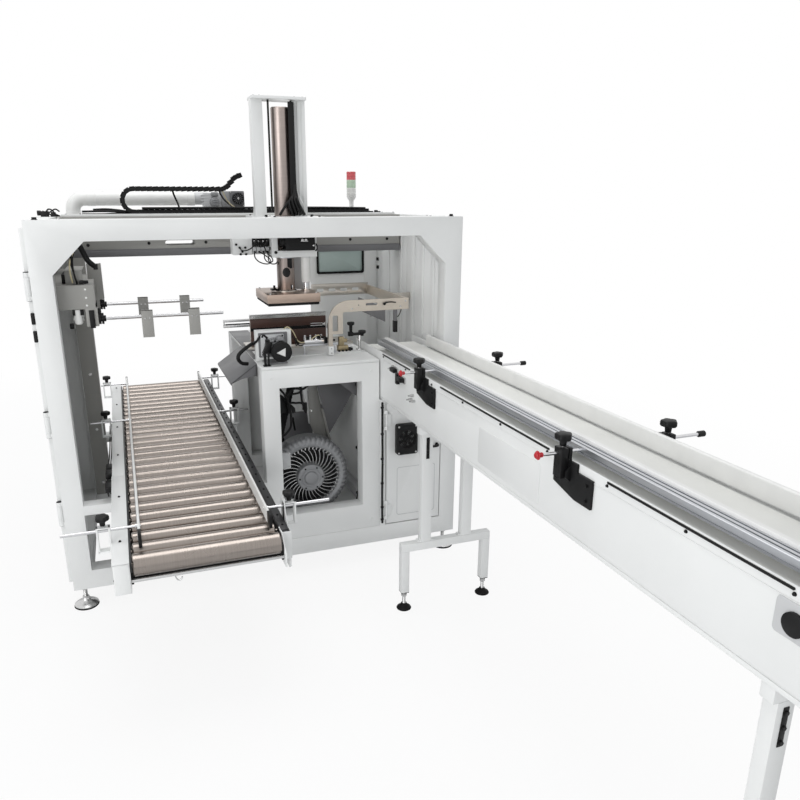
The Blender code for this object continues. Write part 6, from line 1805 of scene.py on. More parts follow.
def make_carriage():
    x0, x1 = 0.92, 1.2
    plate = Solid()
    holes = [circle((1.058, 0.348), 0.047, 32), circle((1.155, 0.348), 0.028, 24)]
    outline = rounded((x0, 0.1465), (x1, 0.5738), 0.008)
    plate.sheet("Z", outline, 1.6262, 1.64, holes)
    blocks, ends = Solid(), Solid()
    for out, face in ((1, 0.1403), (-1, 0.58)):
        saddle = [
            (0.0072, 1.5712), (0.035, 1.5712), (0.035, 1.6265), (0.0072, 1.6265), (0.0072, 1.6086)
        ]
        saddle += [(0.0188, 1.6086), (0.0188, 1.5874), (0.0072, 1.5874)]
        shape = [(face + out * deep, z) for deep, z in saddle]
        for x in (x0, x1 - 0.08):
            blocks.sheet("X", shape, x + 0.009, x + 0.071)
            for a, b in ((x + 0.001, x + 0.0092), (x + 0.0708, x + 0.079)):
                ends.sheet("X", shape, a, b)
    piece("carriage_plate_piece", plate, "white coat", "carriage_plate", edge=0.0016)
    piece("slide_blocks", blocks, "bright zinc", body="carriage", edge=0.0014)
    piece("slide_block_ends", ends, "nylon", body="carriage", edge=0.001)
    heads = [
        (x + dx, y, 1.64) for y in (0.162, 0.558) for x in (0.92, 1.12) for dx in (0.022, 0.058)
    ]
    screws("carriage_screws", heads, "+Z", "nylon", "carriage", 0.75)
    foot = [(x, 0.3, 1.64) for x in (0.968, 1.18)]
    screws("column_foot_screws", foot, "+Z", "nylon", "carriage", 1.1)
    screws("column_foot_pins", [(0.984, 0.3, 1.64)], "+Z", "bright zinc", "carriage", 0.7)

    column = Solid()
    hole = circle((1.058, 0.348), 0.047, 32)
    column.sheet("Z", rounded((0.926, 0.293), (1.167, 0.404), 0.006), 2.128, 2.14, [hole])
    column.box((0.926, 0.3255, 1.6402), (0.977, 0.3705, 2.1282))
    # Folded channel of the right column, open towards the ram
    shape = [
        (1.106, 0.328), (1.167, 0.328), (1.167, 0.398), (1.106, 0.398), (1.106, 0.392),
        (1.161, 0.392), (1.161, 0.334), (1.106, 0.334)
    ]
    column.sheet("Z", shape, 1.6402, 2.1282)
    column.box((1.13, 0.3245, 1.65), (1.1345, 0.3282, 2.12))
    column.box((1.148, 0.3245, 1.65), (1.15, 0.3282, 2.12))
    for x in (0.931, 1.112):
        column.sheet("X", [(0.37, 1.6402), (0.43, 1.6402), (0.37, 1.72)], x, x + 0.006)
    piece("lift_column_body", column, "white coat", "lift_column", edge=0.0018)
    strip = Solid()
    strip.box((1.101, 0.324, 1.6405), (1.107, 0.34, 2.1275))
    strip.box((1.084, 0.299, 1.66), (1.111, 0.304, 2.12))
    strip.box((1.104, 0.3038, 1.66), (1.111, 0.326, 2.12))
    strip.box((0.998, 0.322, 1.66), (1.006, 0.33, 2.1275))
    piece("column_cable_cover", strip, "nylon", body="carriage", edge=0.001)
    tops = [(x, y, 2.14) for x in (0.938, 0.965, 1.118, 1.155) for y in (0.318, 0.384)]
    screws("column_top_screws", tops, "+Z", "bright zinc", "carriage", 0.7)
    # Cables that come down the column's front and fan out over its foot
    loom, ties = [], Solid()
    for i in range(11):
        t = i / 10
        end = (1.086 + 0.06 * t, 0.284 + 0.016 * (i % 3), 1.646)
        swell = (1.07 + 0.044 * t, 0.276 + 0.013 * (i % 3), 1.702 + 0.009 * math.sin(3 * t))
        waist = (1.096 + 0.012 * t, 0.292 + 0.006 * (i % 2), 1.738)
        loom.append([(1.102 + 0.003 * (i % 3), 0.312, 1.8), waist, swell, end])
    loom.append(
        [(1.094, 0.288, 1.73), (1.068, 0.282, 1.702), (1.046, 0.288, 1.672), (1.03, 0.3, 1.646)]
    )
    cables("column_loom", loom, 0.0115, "nylon", body="carriage")
    # Thin white cable among the black ones: painted highlight along the loom
    pale = [
        [
            (1.112, 0.312, 1.772), (1.118, 0.298, 1.735), (1.134, 0.288, 1.7), (1.146, 0.29, 1.672),
            (1.152, 0.296, 1.644)
        ]
    ]
    cables("column_loom_highlight_cable", pale, 0.0035, "sliding plastic and painted highlight", body="carriage")
    ties.sheet("X", rounded((0.29, 1.736), (0.326, 1.762), 0.008), 1.103, 1.108)
    ties.tube(
        smooth_path([(1.112, 0.294, 1.75), (1.1, 0.288, 1.742), (1.088, 0.286, 1.728)], 4), 0.002, 6
    )
    piece("column_ties", ties, "nylon", body="carriage", edge=0.001)

    guide = Solid()
    low, high = 1.46, 1.49
    holes = [circle((1.058, 0.348), 0.0414, 36), circle((1.155, 0.348), 0.0224, 28)]
    guide.sheet("Z", rounded((0.981, 0.27), (1.192, 0.407), 0.005), low, high, holes)
    for x, wide in ((0.982, 0.027), (1.183, 0.008)):
        guide.sheet(
            "X", [(0.2712, low), (0.397, low), (0.397, 1.6257), (0.2712, 1.6257)], x, x + wide
        )
    guide.box((1.168, 0.2705, 1.4898), (1.1905, 0.29, 1.504))
    piece("ram_guide_block", guide, "white coat", "ram_guide", edge=0.0018)
    collar = Solid()
    for x, wide, inner in ((1.058, 0.05, 0.0416), (1.155, 0.0255, 0.0226)):
        collar.sheet(
            "Z", circle((x, 0.348), wide, 32), low - 0.006, low + 0.0002,
            [circle((x, 0.348), inner, 32)]
        )
    piece("guide_collars", collar, "aluminium", body="carriage", edge=0.0008)
    screws("guide_face_screws", [(0.999, 0.27, 1.483)], "-Y", "nylon", "carriage", 0.9)
    screws(
        "guide_side_screws", [(0.981, y, z) for y in (0.3, 0.36) for z in (1.5, 1.56)], "-X",
        "nylon", "carriage", 0.8
    )

    brake = Solid()
    brake.sheet("Y", rounded((1.04, 1.4904), (1.1779, 1.5638), 0.006), 0.249, 0.2988)
    brake.lathe(
        (0, 0.2735, 1.528), "X",
        [
            (1.0172, 0.0), (1.0172, 0.018), (1.019, 0.02), (1.028, 0.0215), (1.03, 0.0245),
            (1.042, 0.0248), (1.042, 0.0)
        ], 36
    )
    brake.sheet("X", [(0.249, 1.4904), (0.27, 1.4904), (0.27, 1.5), (0.249, 1.5)], 1.025, 1.041)
    piece("brake_body", brake, "nylon", "carriage_brake", edge=0.003)
    bits = Solid()
    for x in (1.118, 1.134):
        bits.disc((x, 0, 1.537), "Y", 0.242, 0.2492, 0.0062, sides=16)
    bits.box((1.11, 0.244, 1.53), (1.144, 0.2492, 1.534))
    bits.disc((1.17, 0, 1.512), "Y", 0.245, 0.2492, 0.0045, sides=14)
    piece("brake_fittings", bits, "bright zinc", body="carriage", edge=0.0008)
    hook = Solid()
    hook.tube(
        smooth_path(
            [(1.185, 0.262, 1.52), (1.19, 0.26, 1.505), (1.188, 0.26, 1.492), (1.18, 0.262, 1.488)],
            5
        ), 0.0032, 8
    )
    piece("brake_hose", hook, "nylon", body="carriage")

    valve = Solid()
    valve.box((0.8135, 0.3135, 1.4725), (0.9, 0.393, 1.5445))
    valve.box((0.8995, 0.33, 1.4725), (0.9805, 0.393, 1.5445))
    piece("valve_manifold", valve, "white coat", "carriage_valves", edge=0.002)
    bodies, plugs, pale = Solid(), Solid(), Solid()
    spots = (
        (0.828, 1.519), (0.843, 1.505), (0.868, 1.505), (0.854, 1.488), (0.846, 1.476),
        (0.87, 1.476)
    )
    for x, z in spots:
        bodies.disc((x, 0, z), "Y", 0.305, 0.314, 0.0052, sides=14)
    for i in range(4):
        x = 0.903 + 0.0195 * i
        bodies.box((x, 0.32, 1.508), (x + 0.017, 0.3305, 1.544))
        pale.box((x, 0.318, 1.476), (x + 0.017, 0.3305, 1.506))
        plugs.disc((x + 0.0085, 0, 1.532), "Y", 0.315, 0.3205, 0.004, sides=14)
        bodies.disc((x + 0.0085, 0, 1.484), "Y", 0.31, 0.3185, 0.005, sides=14)
    piece("valve_coils", bodies, "nylon", body="carriage", edge=0.0008)
    piece("valve_bodies", pale, "light grey coat and painted shade", body="carriage", edge=0.001)
    piece("valve_fittings", plugs, "bright zinc", body="carriage")
    runs = [
        [
            (0.9115, 0.311, 1.484), (0.906, 0.297, 1.476), (0.908, 0.292, 1.46),
            (0.922, 0.29, 1.444), (0.944, 0.29, 1.434), (0.966, 0.29, 1.432), (0.978, 0.292, 1.44),
            (0.972, 0.292, 1.456), (0.956, 0.294, 1.468), (0.94, 0.3, 1.48), (0.931, 0.311, 1.484)
        ],
        [
            (0.95, 0.311, 1.484), (0.952, 0.298, 1.474), (0.95, 0.29, 1.458), (0.958, 0.286, 1.444),
            (0.974, 0.286, 1.438), (0.986, 0.284, 1.446), (0.98, 0.282, 1.462),
            (0.966, 0.284, 1.476), (0.954, 0.29, 1.5), (0.944, 0.3, 1.53), (0.94, 0.31, 1.56)
        ],
        [
            (0.97, 0.311, 1.484), (0.972, 0.296, 1.47), (0.966, 0.286, 1.452),
            (0.976, 0.282, 1.434), (0.996, 0.28, 1.432), (1.006, 0.282, 1.44),
            (1.012, 0.284, 1.436), (1.01, 0.286, 1.428)
        ],
        [
            (0.9115, 0.316, 1.532), (0.916, 0.3, 1.518), (0.934, 0.296, 1.508),
            (0.956, 0.296, 1.516), (0.97, 0.3, 1.54), (0.978, 0.305, 1.57)
        ],
        [
            (0.843, 0.306, 1.505), (0.85, 0.296, 1.494), (0.872, 0.292, 1.494),
            (0.896, 0.294, 1.506), (0.916, 0.298, 1.53), (0.93, 0.305, 1.56)
        ],
        [
            (0.931, 0.316, 1.532), (0.936, 0.302, 1.545), (0.934, 0.3, 1.56), (0.93, 0.305, 1.59),
            (0.93, 0.31, 1.624)
        ]
    ]
    cables("valve_hoses", runs, 0.0052, "nylon", body="carriage")


def make_head():
    x, y, x2 = 1.058, 0.348, 1.155
    head = Solid()
    head.box((0.941, 0.216, 1.2592), (1.188, 0.51, 1.2995))
    piece("head_box", head, "ground plate", body="lift_head", edge=0.0022)
    ram = Solid()
    ram.lathe(
        (x, y, 0), "Z",
        [(1.299, 0.0), (1.299, 0.0405), (1.3, 0.041), (2.096, 0.041), (2.1, 0.038), (2.1, 0.0)], 48
    )
    piece("ram", ram, "ram sleeve", "vacuum_head")
    flange, rod, dark = Solid(), Solid(), Solid()
    flange.lathe(
        (x, y, 0), "Z",
        [(1.2989, 0.0), (1.2989, 0.05), (1.303, 0.05), (1.305, 0.048), (1.305, 0.0)], 40
    )
    flange.lathe(
        (x2, y, 0), "Z", [(1.2989, 0.0), (1.2989, 0.019), (1.306, 0.019), (1.306, 0.0)], 24
    )
    piece("head_flanges", flange, "steel sheet", body="lift_head")
    rod.lathe(
        (x2, y, 0), "Z",
        [(1.3055, 0.0), (1.3055, 0.016), (1.336, 0.016), (1.338, 0.0145), (1.338, 0.0)], 28
    )
    piece("guide_rod_end", rod, "chrome", body="lift_head")
    bush = Solid()
    bush.lathe(
        (x2, y, 0), "Z",
        [
            (1.337, 0.0), (1.337, 0.019), (1.34, 0.021), (1.39, 0.0214), (1.391, 0.0218),
            (1.5125, 0.0218), (1.5135, 0.02), (1.5135, 0.0)
        ], 32
    )
    piece("guide_rod_sleeve", bush, "sliding plastic and painted highlight", body="lift_head")
    # Folded plate behind the ram
    back = Solid()
    back.box((1.108, 0.413, 1.2998), (1.16, 0.416, 1.47))
    back.box((1.108, 0.413, 1.2998), (1.16, 0.432, 1.303))
    piece("head_back_plate", back, "light grey coat and painted shade", body="lift_head", edge=0.001)
    # The port's plug and the patch over it follow the tube, so that they run through the bush
    cover, port, patch = Solid(), [], []
    for share, reach in ((1.0, 0.0402), (1.0, 0.0412), (0.66, 0.0412), (0.33, 0.0412)):
        for i in range(28):
            across_x = share * 0.018 * math.cos(i * math.tau / 28) - 0.005
            spot_y = y - math.sqrt(reach**2 - across_x**2)
            port.append(
                (x + across_x, spot_y, 1.389 + share * 0.0222 * math.sin(i * math.tau / 28))
            )
    rings = [list(range(28 * k, 28 * k + 28)) for k in range(4)]
    faces = [
        (a[i], a[(i + 1) % 28], b[(i + 1) % 28], b[i]) for a,
        b in zip(rings, rings[1:]) for i in range(28)
    ]
    cover.shell(port, [*faces, tuple(rings[0]), tuple(rings[3])])
    feet = (
        (0.0, 1.415), (0.007, 1.41), (0.014, 1.406), (0.022, 1.407), (0.03, 1.408), (0.038, 1.409)
    )
    for reach in (0.0412, 0.0402):
        for across_x, low in feet:
            spot_y = y - math.sqrt(reach**2 - across_x**2)
            patch += [(x + across_x, spot_y, low), (x + across_x, spot_y, 1.459)]
    faces = [(0, 1, 13, 12), (10, 11, 23, 22)]
    for i in range(0, 10, 2):
        faces += [(i, i + 1, i + 3, i + 2), (i + 12, i + 13, i + 15, i + 14)]
        faces += [(i, i + 2, i + 14, i + 12), (i + 1, i + 3, i + 15, i + 13)]
    cover.shell(patch, faces)
    piece("ram_cover", cover, "nylon", body="lift_head")
    dark.box((x + 0.014, 0.3064, 1.31), (x + 0.018, 0.313, 1.3325))
    dark.box((0.985, 0.33, 1.3045), (1.006, 0.37, 1.312))
    dark.tube(
        smooth_path(
            [
                (1.016, 0.335, 1.308), (1.004, 0.328, 1.31), (0.996, 0.322, 1.318),
                (0.995, 0.322, 1.33)
            ], 5
        ), 0.0055, 10
    )
    piece("ram_fittings", dark, "nylon", body="lift_head", edge=0.0008)
    lit = Solid()
    lit.box((x + 0.0185, 0.3066, 1.31), (x + 0.0225, 0.314, 1.33))
    lit.box((1.11, 0.356, 1.2993), (1.134, 0.39, 1.305))
    piece("ram_sensor", lit, "bright zinc", body="lift_head", edge=0.0006)
    heads = [
        (x + 0.044 * math.cos(a), y + 0.0445 * math.sin(a), 1.305)
        for a in (0.5, 1.5, 2.6, 3.7, 4.7, 5.8)
    ]
    screws("flange_screws", heads, "+Z", "nylon", "lift_head", 0.4, 16)
    heads = [(a, b, 1.2995) for a in (0.957, 1.172) for b in (0.232, 0.494)]
    screws("head_screws", heads, "+Z", "bright zinc", "lift_head", 0.7)
    pad = Solid()
    pad.box((0.945, 0.22, 1.2467), (1.184, 0.506, 1.2594))
    piece("foam_pad", pad, "foam", "head_pad", edge=0.003)
    cells = Solid()
    for i in range(6):
        for j in range(7):
            cells.lathe(
                (0.977 + 0.0345 * i, 0.25 + 0.0375 * j, 0), "Z",
                [(1.247, 0.0), (1.247, 0.0105), (1.246, 0.0085), (1.246, 0.0)], 14
            )
    piece("suction_cells", cells, "rubber", body="lift_head")


def make_chain():
    bend, low, radius = 0.42, 1.6573, 0.052
    path = [(1.565, 1.6573)] + arc((bend, low + radius), radius, 270, 90, 16)
    path += [(0.83, 1.7613), (0.8525, 1.7706), (0.893, 1.814), (0.915, 1.8233)]
    points = [(x, 0.675, z) for x, z in path]
    obj = lines("drag_chain_links", [points])
    values = {"Pitch": sizes().chain_pitch, "Width": 0.04, "Thick": 0.0215, "Wall": 0.0035}
    settle(grow(obj, "links", "nylon", values), BODY_OF["drag_chain"], "nylon", ["drag_chain"])
    core = Solid()
    core.tube([(x, y, z) for x, y, z in points], 0.0078, 10)
    piece("drag_chain_cables", core, "rubber")
    ends = Solid()
    ends.box((0.905, 0.657, 1.812), (0.9205, 0.693, 1.8345))
    ends.sheet(
        "Y", [(1.52, 1.6465), (1.6, 1.6465), (1.596, 1.652), (1.55, 1.669), (1.52, 1.669)], 0.656,
        0.694
    )
    piece("chain_ends", ends, "nylon", edge=0.0012)
    # Fittings at the chain's fixed end and over the left corner
    bits = Solid()
    bits.disc((1.622, 0.672, 0), "Z", 1.6401, 1.66, 0.01)
    bits.box((1.606, 0.66, 1.6401), (1.642, 0.69, 1.648))
    bits.disc((0, 0.6, 1.656), "X", 0.004, 0.02, 0.011)
    bits.box((0.018, 0.59, 1.6401), (0.052, 0.612, 1.664))
    bits.disc((0.07, 0.6, 0), "Z", 1.6401, 1.66, 0.01)
    bits.box((0.058, 0.588, 1.6401), (0.084, 0.612, 1.65))
    piece("top_fittings", bits, "nylon", edge=0.0014)
    runs = [
        [
            (0.04, 0.6, 1.66), (0.052, 0.596, 1.672), (0.066, 0.598, 1.668), (0.078, 0.602, 1.652),
            (0.092, 0.604, 1.6435)
        ],
        [
            (0.02, 0.602, 1.655), (0.04, 0.604, 1.65), (0.06, 0.608, 1.662), (0.08, 0.606, 1.672),
            (0.096, 0.602, 1.662)
        ],
        [(0.026, 0.606, 1.664), (0.046, 0.61, 1.654), (0.07, 0.612, 1.645), (0.095, 0.61, 1.6435)]
    ]
    cables("corner_hoses", runs, sizes().wire, "nylon")
    long = [
        [
            (0.186, 0.69, 1.66), (0.26, 0.69, 1.661), (0.33, 0.688, 1.66), (0.4, 0.684, 1.6555),
            (0.44, 0.68, 1.6535)
        ], [(0.186, 0.69, 1.648), (0.27, 0.69, 1.6475), (0.34, 0.692, 1.65), (0.4, 0.696, 1.649)],
        [
            (0.235, 0.696, 1.668), (0.29, 0.694, 1.67), (0.34, 0.69, 1.666), (0.38, 0.684, 1.66),
            (0.42, 0.678, 1.656)
        ]
    ]
    cables("feed_hoses", long, 0.01, "nylon")
    laid = [
        [(0.452, y, 1.6735), (0.9, y + 0.002, 1.674), (1.3, y - 0.002, 1.6735), (1.56, y, 1.67)]
        for y in (0.664, 0.676, 0.688)
    ]
    cables("tray_hoses", laid, 0.0115, "nylon")
    drop = [
        [(0.6, 0.69, 1.75), (0.606, 0.7, 1.73), (0.618, 0.704, 1.7), (0.626, 0.7, 1.672)],
        [
            (0.82, 0.694, 1.752), (0.83, 0.72, 1.735), (0.85, 0.76, 1.712), (0.88, 0.8, 1.69),
            (0.91, 0.84, 1.675)
        ]
    ]
    cables("hanging_cables", drop, 0.009, "nylon")
    pale = [
        [
            (0.835, 0.694, 1.752), (0.848, 0.72, 1.73), (0.866, 0.76, 1.706), (0.894, 0.8, 1.684),
            (0.925, 0.84, 1.668)
        ]
    ]
    cables("hanging_signal_cable", pale, 0.006, "cream sheath")


def make_top_units():
    y, z = 1.01, 1.718
    pipe = Solid()
    path = [(0.135, y, 1.6403), (0.135, y, 1.65)]
    path += [(a, y, b) for a, b in arc((0.19, 1.663), 0.055, 180, 90, 12)]
    path += [(0.73, y, z)]
    pipe.tube(path, 0.0345, 32)
    pipe.disc((0.135, y, 0), "Z", 1.6402, 1.656, 0.0358, 0.0015)
    pipe.disc((0, y, z), "X", 0.205, 0.245, 0.0358, 0.0015)
    pipe.disc((0, y, z), "X", 0.69, 0.7298, 0.0358, 0.0015)
    piece("duct", pipe, "duct", "duct_pipe")
    drive, grey = Solid(), Solid()
    drive.lathe((0, y, z), "X", [(0.7305, 0.0), (0.7305, 0.031), (0.8, 0.031), (0.8, 0.0)], 32)
    for i in range(4):
        drive.box((0.76, y - 0.034, 1.69 + 0.014 * i), (0.8, y - 0.029, 1.696 + 0.014 * i))
    drive.box((0.7725, 0.977, 1.6404), (0.872, 1.043, 1.746))
    piece("fan_adapter", drive, "light grey coat and painted shade", edge=0.0025)
    grey.box((0.863, 0.975, 1.6404), (0.984, 1.045, 1.755))
    grey.lathe(
        (0.83, 0, 1.7), "Y", [(0.952, 0.0), (0.952, 0.024), (0.978, 0.027), (0.978, 0.0)], 24
    )
    grey.box((0.813, 0.958, 1.73), (0.848, 0.978, 1.75))
    for dz in (-0.012, 0.0, 0.012):
        grey.box((0.816, 0.948, 1.7 + dz - 0.002), (0.844, 0.9535, 1.7 + dz + 0.002))
    piece("fan_gearmotor", grey, "cast aluminium", edge=0.003)
    face = Solid()
    face.sheet("Y", rounded((0.909, 1.678), (0.985, 1.756), 0.004), 0.966, 0.9752)
    piece("fan_plate", face, "dark paint and painted shade", edge=0.0014)
    fan = Solid()
    centre = (0.949, 0, z)
    fan.lathe(
        centre, "Y",
        [
            (0.9355, 0.0), (0.9355, 0.008), (0.94, 0.009), (0.94, 0.0275), (0.936, 0.029),
            (0.9662, 0.029), (0.9662, 0.0)
        ], 36
    )
    piece("fan_disc", fan, "nylon", "duct_fan_drive")
    blade = Solid()
    blade.box((0.949 + 0.01, 0.937, z - 0.001), (0.949 + 0.027, 0.94, z + 0.001))
    ring("fan_disc_ribs", blade, 14, (0.949, 0.938, z), "Y", "dark paint and painted shade")
    hub = Solid()
    hub.disc(centre, "Y", 0.9335, 0.936, 0.0055, sides=20)
    piece("fan_disc_hub", hub, "bright zinc")
    places = [(a, 0.966, b) for a in (0.914, 0.98) for b in (1.683, 1.751)]
    screws("fan_plate_screws", places, "-Y", "bright zinc", size=0.45, sides=16)

    x, y = 1.594, 1.01
    base, red, green, clear = Solid(), Solid(), Solid(), Solid()
    base.lathe(
        (x, y, 0), "Z",
        [
            (1.6403, 0.0), (1.6403, 0.031), (1.65, 0.031), (1.652, 0.028), (1.6523, 0.013),
            (1.69, 0.012), (1.706, 0.013), (1.716, 0.02), (1.726, 0.0255), (1.729, 0.026),
            (1.729, 0.0)
        ], 36
    )
    piece("light_foot", base, "sliding plastic and painted highlight", "signal_light")
    for solid, low, high in (
        (clear, 1.7292, 1.7735), (green, 1.7745, 1.8165), (red, 1.8175, 1.852)
    ):
        profile = [(low, 0.0), (low, 0.0255), (low + 0.001, 0.026)]
        steps = 6
        for i in range(steps):
            at = low + 0.003 + (high - low - 0.006) * i / (steps - 1)
            profile += [(at, 0.0262 if i % 2 else 0.0254)]
        profile += [(high - 0.001, 0.026), (high, 0.0255), (high, 0.0)]
        solid.lathe((x, y, 0), "Z", profile, 36)
    piece("clear_lens", clear, "clear lens")
    piece("green_lens", green, "green lens")
    piece("red_lens", red, "red lens")
    top = Solid()
    top.lathe(
        (x, y, 0), "Z",
        [(1.8522, 0.0), (1.8522, 0.0262), (1.858, 0.0262), (1.8612, 0.0235), (1.8618, 0.0)], 36
    )
    piece("light_cap", top, "red lens")


# Case lane on the table, guard over the belt's end, and the table's gearmotor


def make_lane():
    white, steel, lip, brown = Solid(), Solid(), Solid(), Solid()
    white.box((0.87, 0.185, 1.0155), (1.396, 0.392, 1.019))
    piece("lane_front_sheet", white, "white coat", edge=0.0008)
    cover = Solid()
    cover.box((0.858, 0.36, 1.0154), (0.96, 0.948, 1.02))
    cover.box((0.858, 0.19, 1.0154), (0.88, 0.3605, 1.02))
    piece("table_side_cover", cover, "dark paint and painted shade", edge=0.001)
    # Steel floor behind, with the upright bar along it
    steel.box((0.87, 0.385, 1.0158), (1.396, 0.54, 1.03))
    steel.box((1.044, 0.372, 1.0158), (1.272, 0.385, 1.036))
    steel.box((0.885, 0.402, 1.0295), (1.262, 0.41, 1.183))
    piece("lane_floor", steel, "steel sheet", "transfer_lane", edge=0.0012)
    lip.sheet(
        "X",
        [(0.399, 1.166), (0.41, 1.166), (0.41, 1.186), (0.39, 1.186), (0.39, 1.184), (0.399, 1.18)],
        0.885, 1.262
    )
    lip.box((0.76, 0.403, 1.156), (0.886, 0.409, 1.168))
    lip.box((0.76, 0.403, 1.13), (0.886, 0.409, 1.142))
    lip.box((0.76, 0.4035, 1.141), (0.768, 0.4085, 1.157))
    piece("lane_bar_lip", lip, "bright zinc", edge=0.0008)
    brown.box((0.886, 0.3985, 1.122), (1.261, 0.4022, 1.1655))
    brown.box((0.887, 0.3985, 1.032), (1.261, 0.4022, 1.106))
    brown.box((0.887, 0.3935, 1.13), (1.25, 0.3987, 1.16))
    piece("lane_pads", brown, "laminate", edge=0.001)
    gap = Solid()
    gap.box((0.887, 0.399, 1.1065), (1.26, 0.4022, 1.1215))
    gap.box((0.77, 0.4045, 1.1425), (0.886, 0.4075, 1.148))
    piece("lane_pad_seal", gap, "rubber")
    # Pusher on its slide at the front
    base, barrel, fittings = Solid(), Solid(), Solid()
    base.box((1.09, 0.196, 1.056), (1.262, 0.209, 1.066))
    for x in (1.098, 1.246):
        base.box((x, 0.199, 1.019), (x + 0.006, 0.206, 1.0565))
        base.box((x - 0.005, 0.195, 1.019), (x + 0.011, 0.21, 1.0215))
    piece("pusher_base", base, "aluminium", edge=0.001)
    z = 1.078
    barrel.lathe(
        (0, 0.2025, z), "X",
        [(1.1, 0.0), (1.1, 0.0115), (1.104, 0.0125), (1.19, 0.0125), (1.194, 0.0115), (1.194, 0.0)],
        24
    )
    for x in (1.104, 1.13, 1.156, 1.182):
        barrel.lathe(
            (x, 0.2025, 0), "Z",
            [
                (z + 0.006, 0.0), (z + 0.006, 0.007), (z + 0.022, 0.007), (z + 0.022, 0.005),
                (z + 0.03, 0.005), (z + 0.032, 0.0035), (z + 0.032, 0.0)
            ], 16
        )
    piece("pusher_barrel", barrel, "chrome")
    for x in (1.117, 1.143, 1.169):
        fittings.box((x - 0.006, 0.1975, z + 0.01), (x + 0.006, 0.2085, z + 0.024))
    fittings.box((1.196, 0.196, 1.065), (1.213, 0.209, z + 0.014))
    fittings.disc((0, 0.2025, z), "X", 1.213, 1.25, 0.0045)
    piece("pusher_fittings", fittings, "nylon", edge=0.001)
    places = [(x, 0.2025, 1.066) for x in (1.222, 1.252)]
    screws("pusher_screws", places, "+Z", "bright zinc", size=0.5, sides=16)
    fork_plate = Solid()
    for z in (1.118, 1.129):
        fork_plate.box((1.18, 0.39, z), (1.25, 0.3935, z + 0.0035))
    fork_plate.box((1.24, 0.39, 1.118), (1.256, 0.3935, 1.1325))
    piece("lane_fork", fork_plate, "bright zinc", edge=0.0006)
    black = [
        [
            (1.041, 0.15, 1.13), (1.052, 0.16, 1.11), (1.06, 0.175, 1.085), (1.074, 0.19, 1.066),
            (1.098, 0.2, 1.064)
        ],
        [
            (1.03, 0.14, 1.12), (1.048, 0.155, 1.096), (1.056, 0.175, 1.07), (1.078, 0.192, 1.08),
            (1.11, 0.198, 1.086)
        ],
        [
            (1.17, 0.198, 1.084), (1.184, 0.186, 1.1), (1.204, 0.184, 1.094), (1.214, 0.19, 1.074),
            (1.226, 0.196, 1.056)
        ], [(1.143, 0.198, 1.086), (1.156, 0.186, 1.106), (1.178, 0.184, 1.104), (1.19, 0.19, 1.09)]
    ]
    cables("pusher_hoses", black, 0.0058, "nylon")
    cream = [
        [
            (0.99, 0.12, 1.16), (1.008, 0.126, 1.166), (1.03, 0.135, 1.148), (1.046, 0.15, 1.122),
            (1.06, 0.17, 1.096), (1.08, 0.186, 1.08), (1.104, 0.196, 1.078)
        ], [(1.13, 0.1975, 1.084), (1.142, 0.184, 1.1), (1.164, 0.182, 1.11), (1.182, 0.19, 1.098)]
    ]
    cables("pusher_signal_cables", cream, 0.0044, "cream sheath")

    # Clamp post beside the lane's end, with two knobs
    post, knobs, block = Solid(), Solid(), Solid()
    post.disc((1.38, 0.226, 0), "Z", 1.019, 1.0245, 0.018)
    post.disc((1.38, 0.226, 0), "Z", 1.024, 1.09, 0.007)
    post.disc((1.38, 0.226, 0), "Z", 1.056, 1.076, 0.0095)
    piece("clamp_post", post, "bright zinc", edge=0.0008)
    star_knob(knobs, 1.393, 0.226, 1.113, 1.085, 0.019, 0.016, 0.008)
    star_knob(knobs, 1.336, 0.226, 1.156, 1.104, 0.018, 0.016, 0.008)
    knobs.disc((0, 0.226, 1.096), "X", 1.326, 1.39, 0.0075)
    knobs.box((1.323, 0.217, 1.088), (1.346, 0.235, 1.108))
    piece("clamp_post_knobs", knobs, "nylon", edge=0.0008)
    block.box((1.27, 0.215, 1.0192), (1.32, 0.245, 1.045))
    block.box((1.276, 0.219, 1.0448), (1.3, 0.241, 1.086))
    block.box((1.299, 0.219, 1.06), (1.316, 0.241, 1.076))
    piece("lane_end_block", block, "brass", edge=0.0015)
    feet = Solid()
    for x in (1.272, 1.29, 1.308, 1.326):
        feet.disc((x, 0.208, 0), "Z", 1.0188, 1.027, 0.005, sides=14)
    feet.box((1.318, 0.22, 1.019), (1.344, 0.24, 1.03))
    piece("lane_end_fittings", feet, "nylon", edge=0.001)
    shiny = Solid()
    shiny.lathe(
        (0, 0.23, 1.037), "X",
        [(1.32, 0.0), (1.32, 0.006), (1.334, 0.006), (1.334, 0.004), (1.346, 0.004), (1.346, 0.0)],
        16
    )
    piece("lane_end_union", shiny, "chrome")

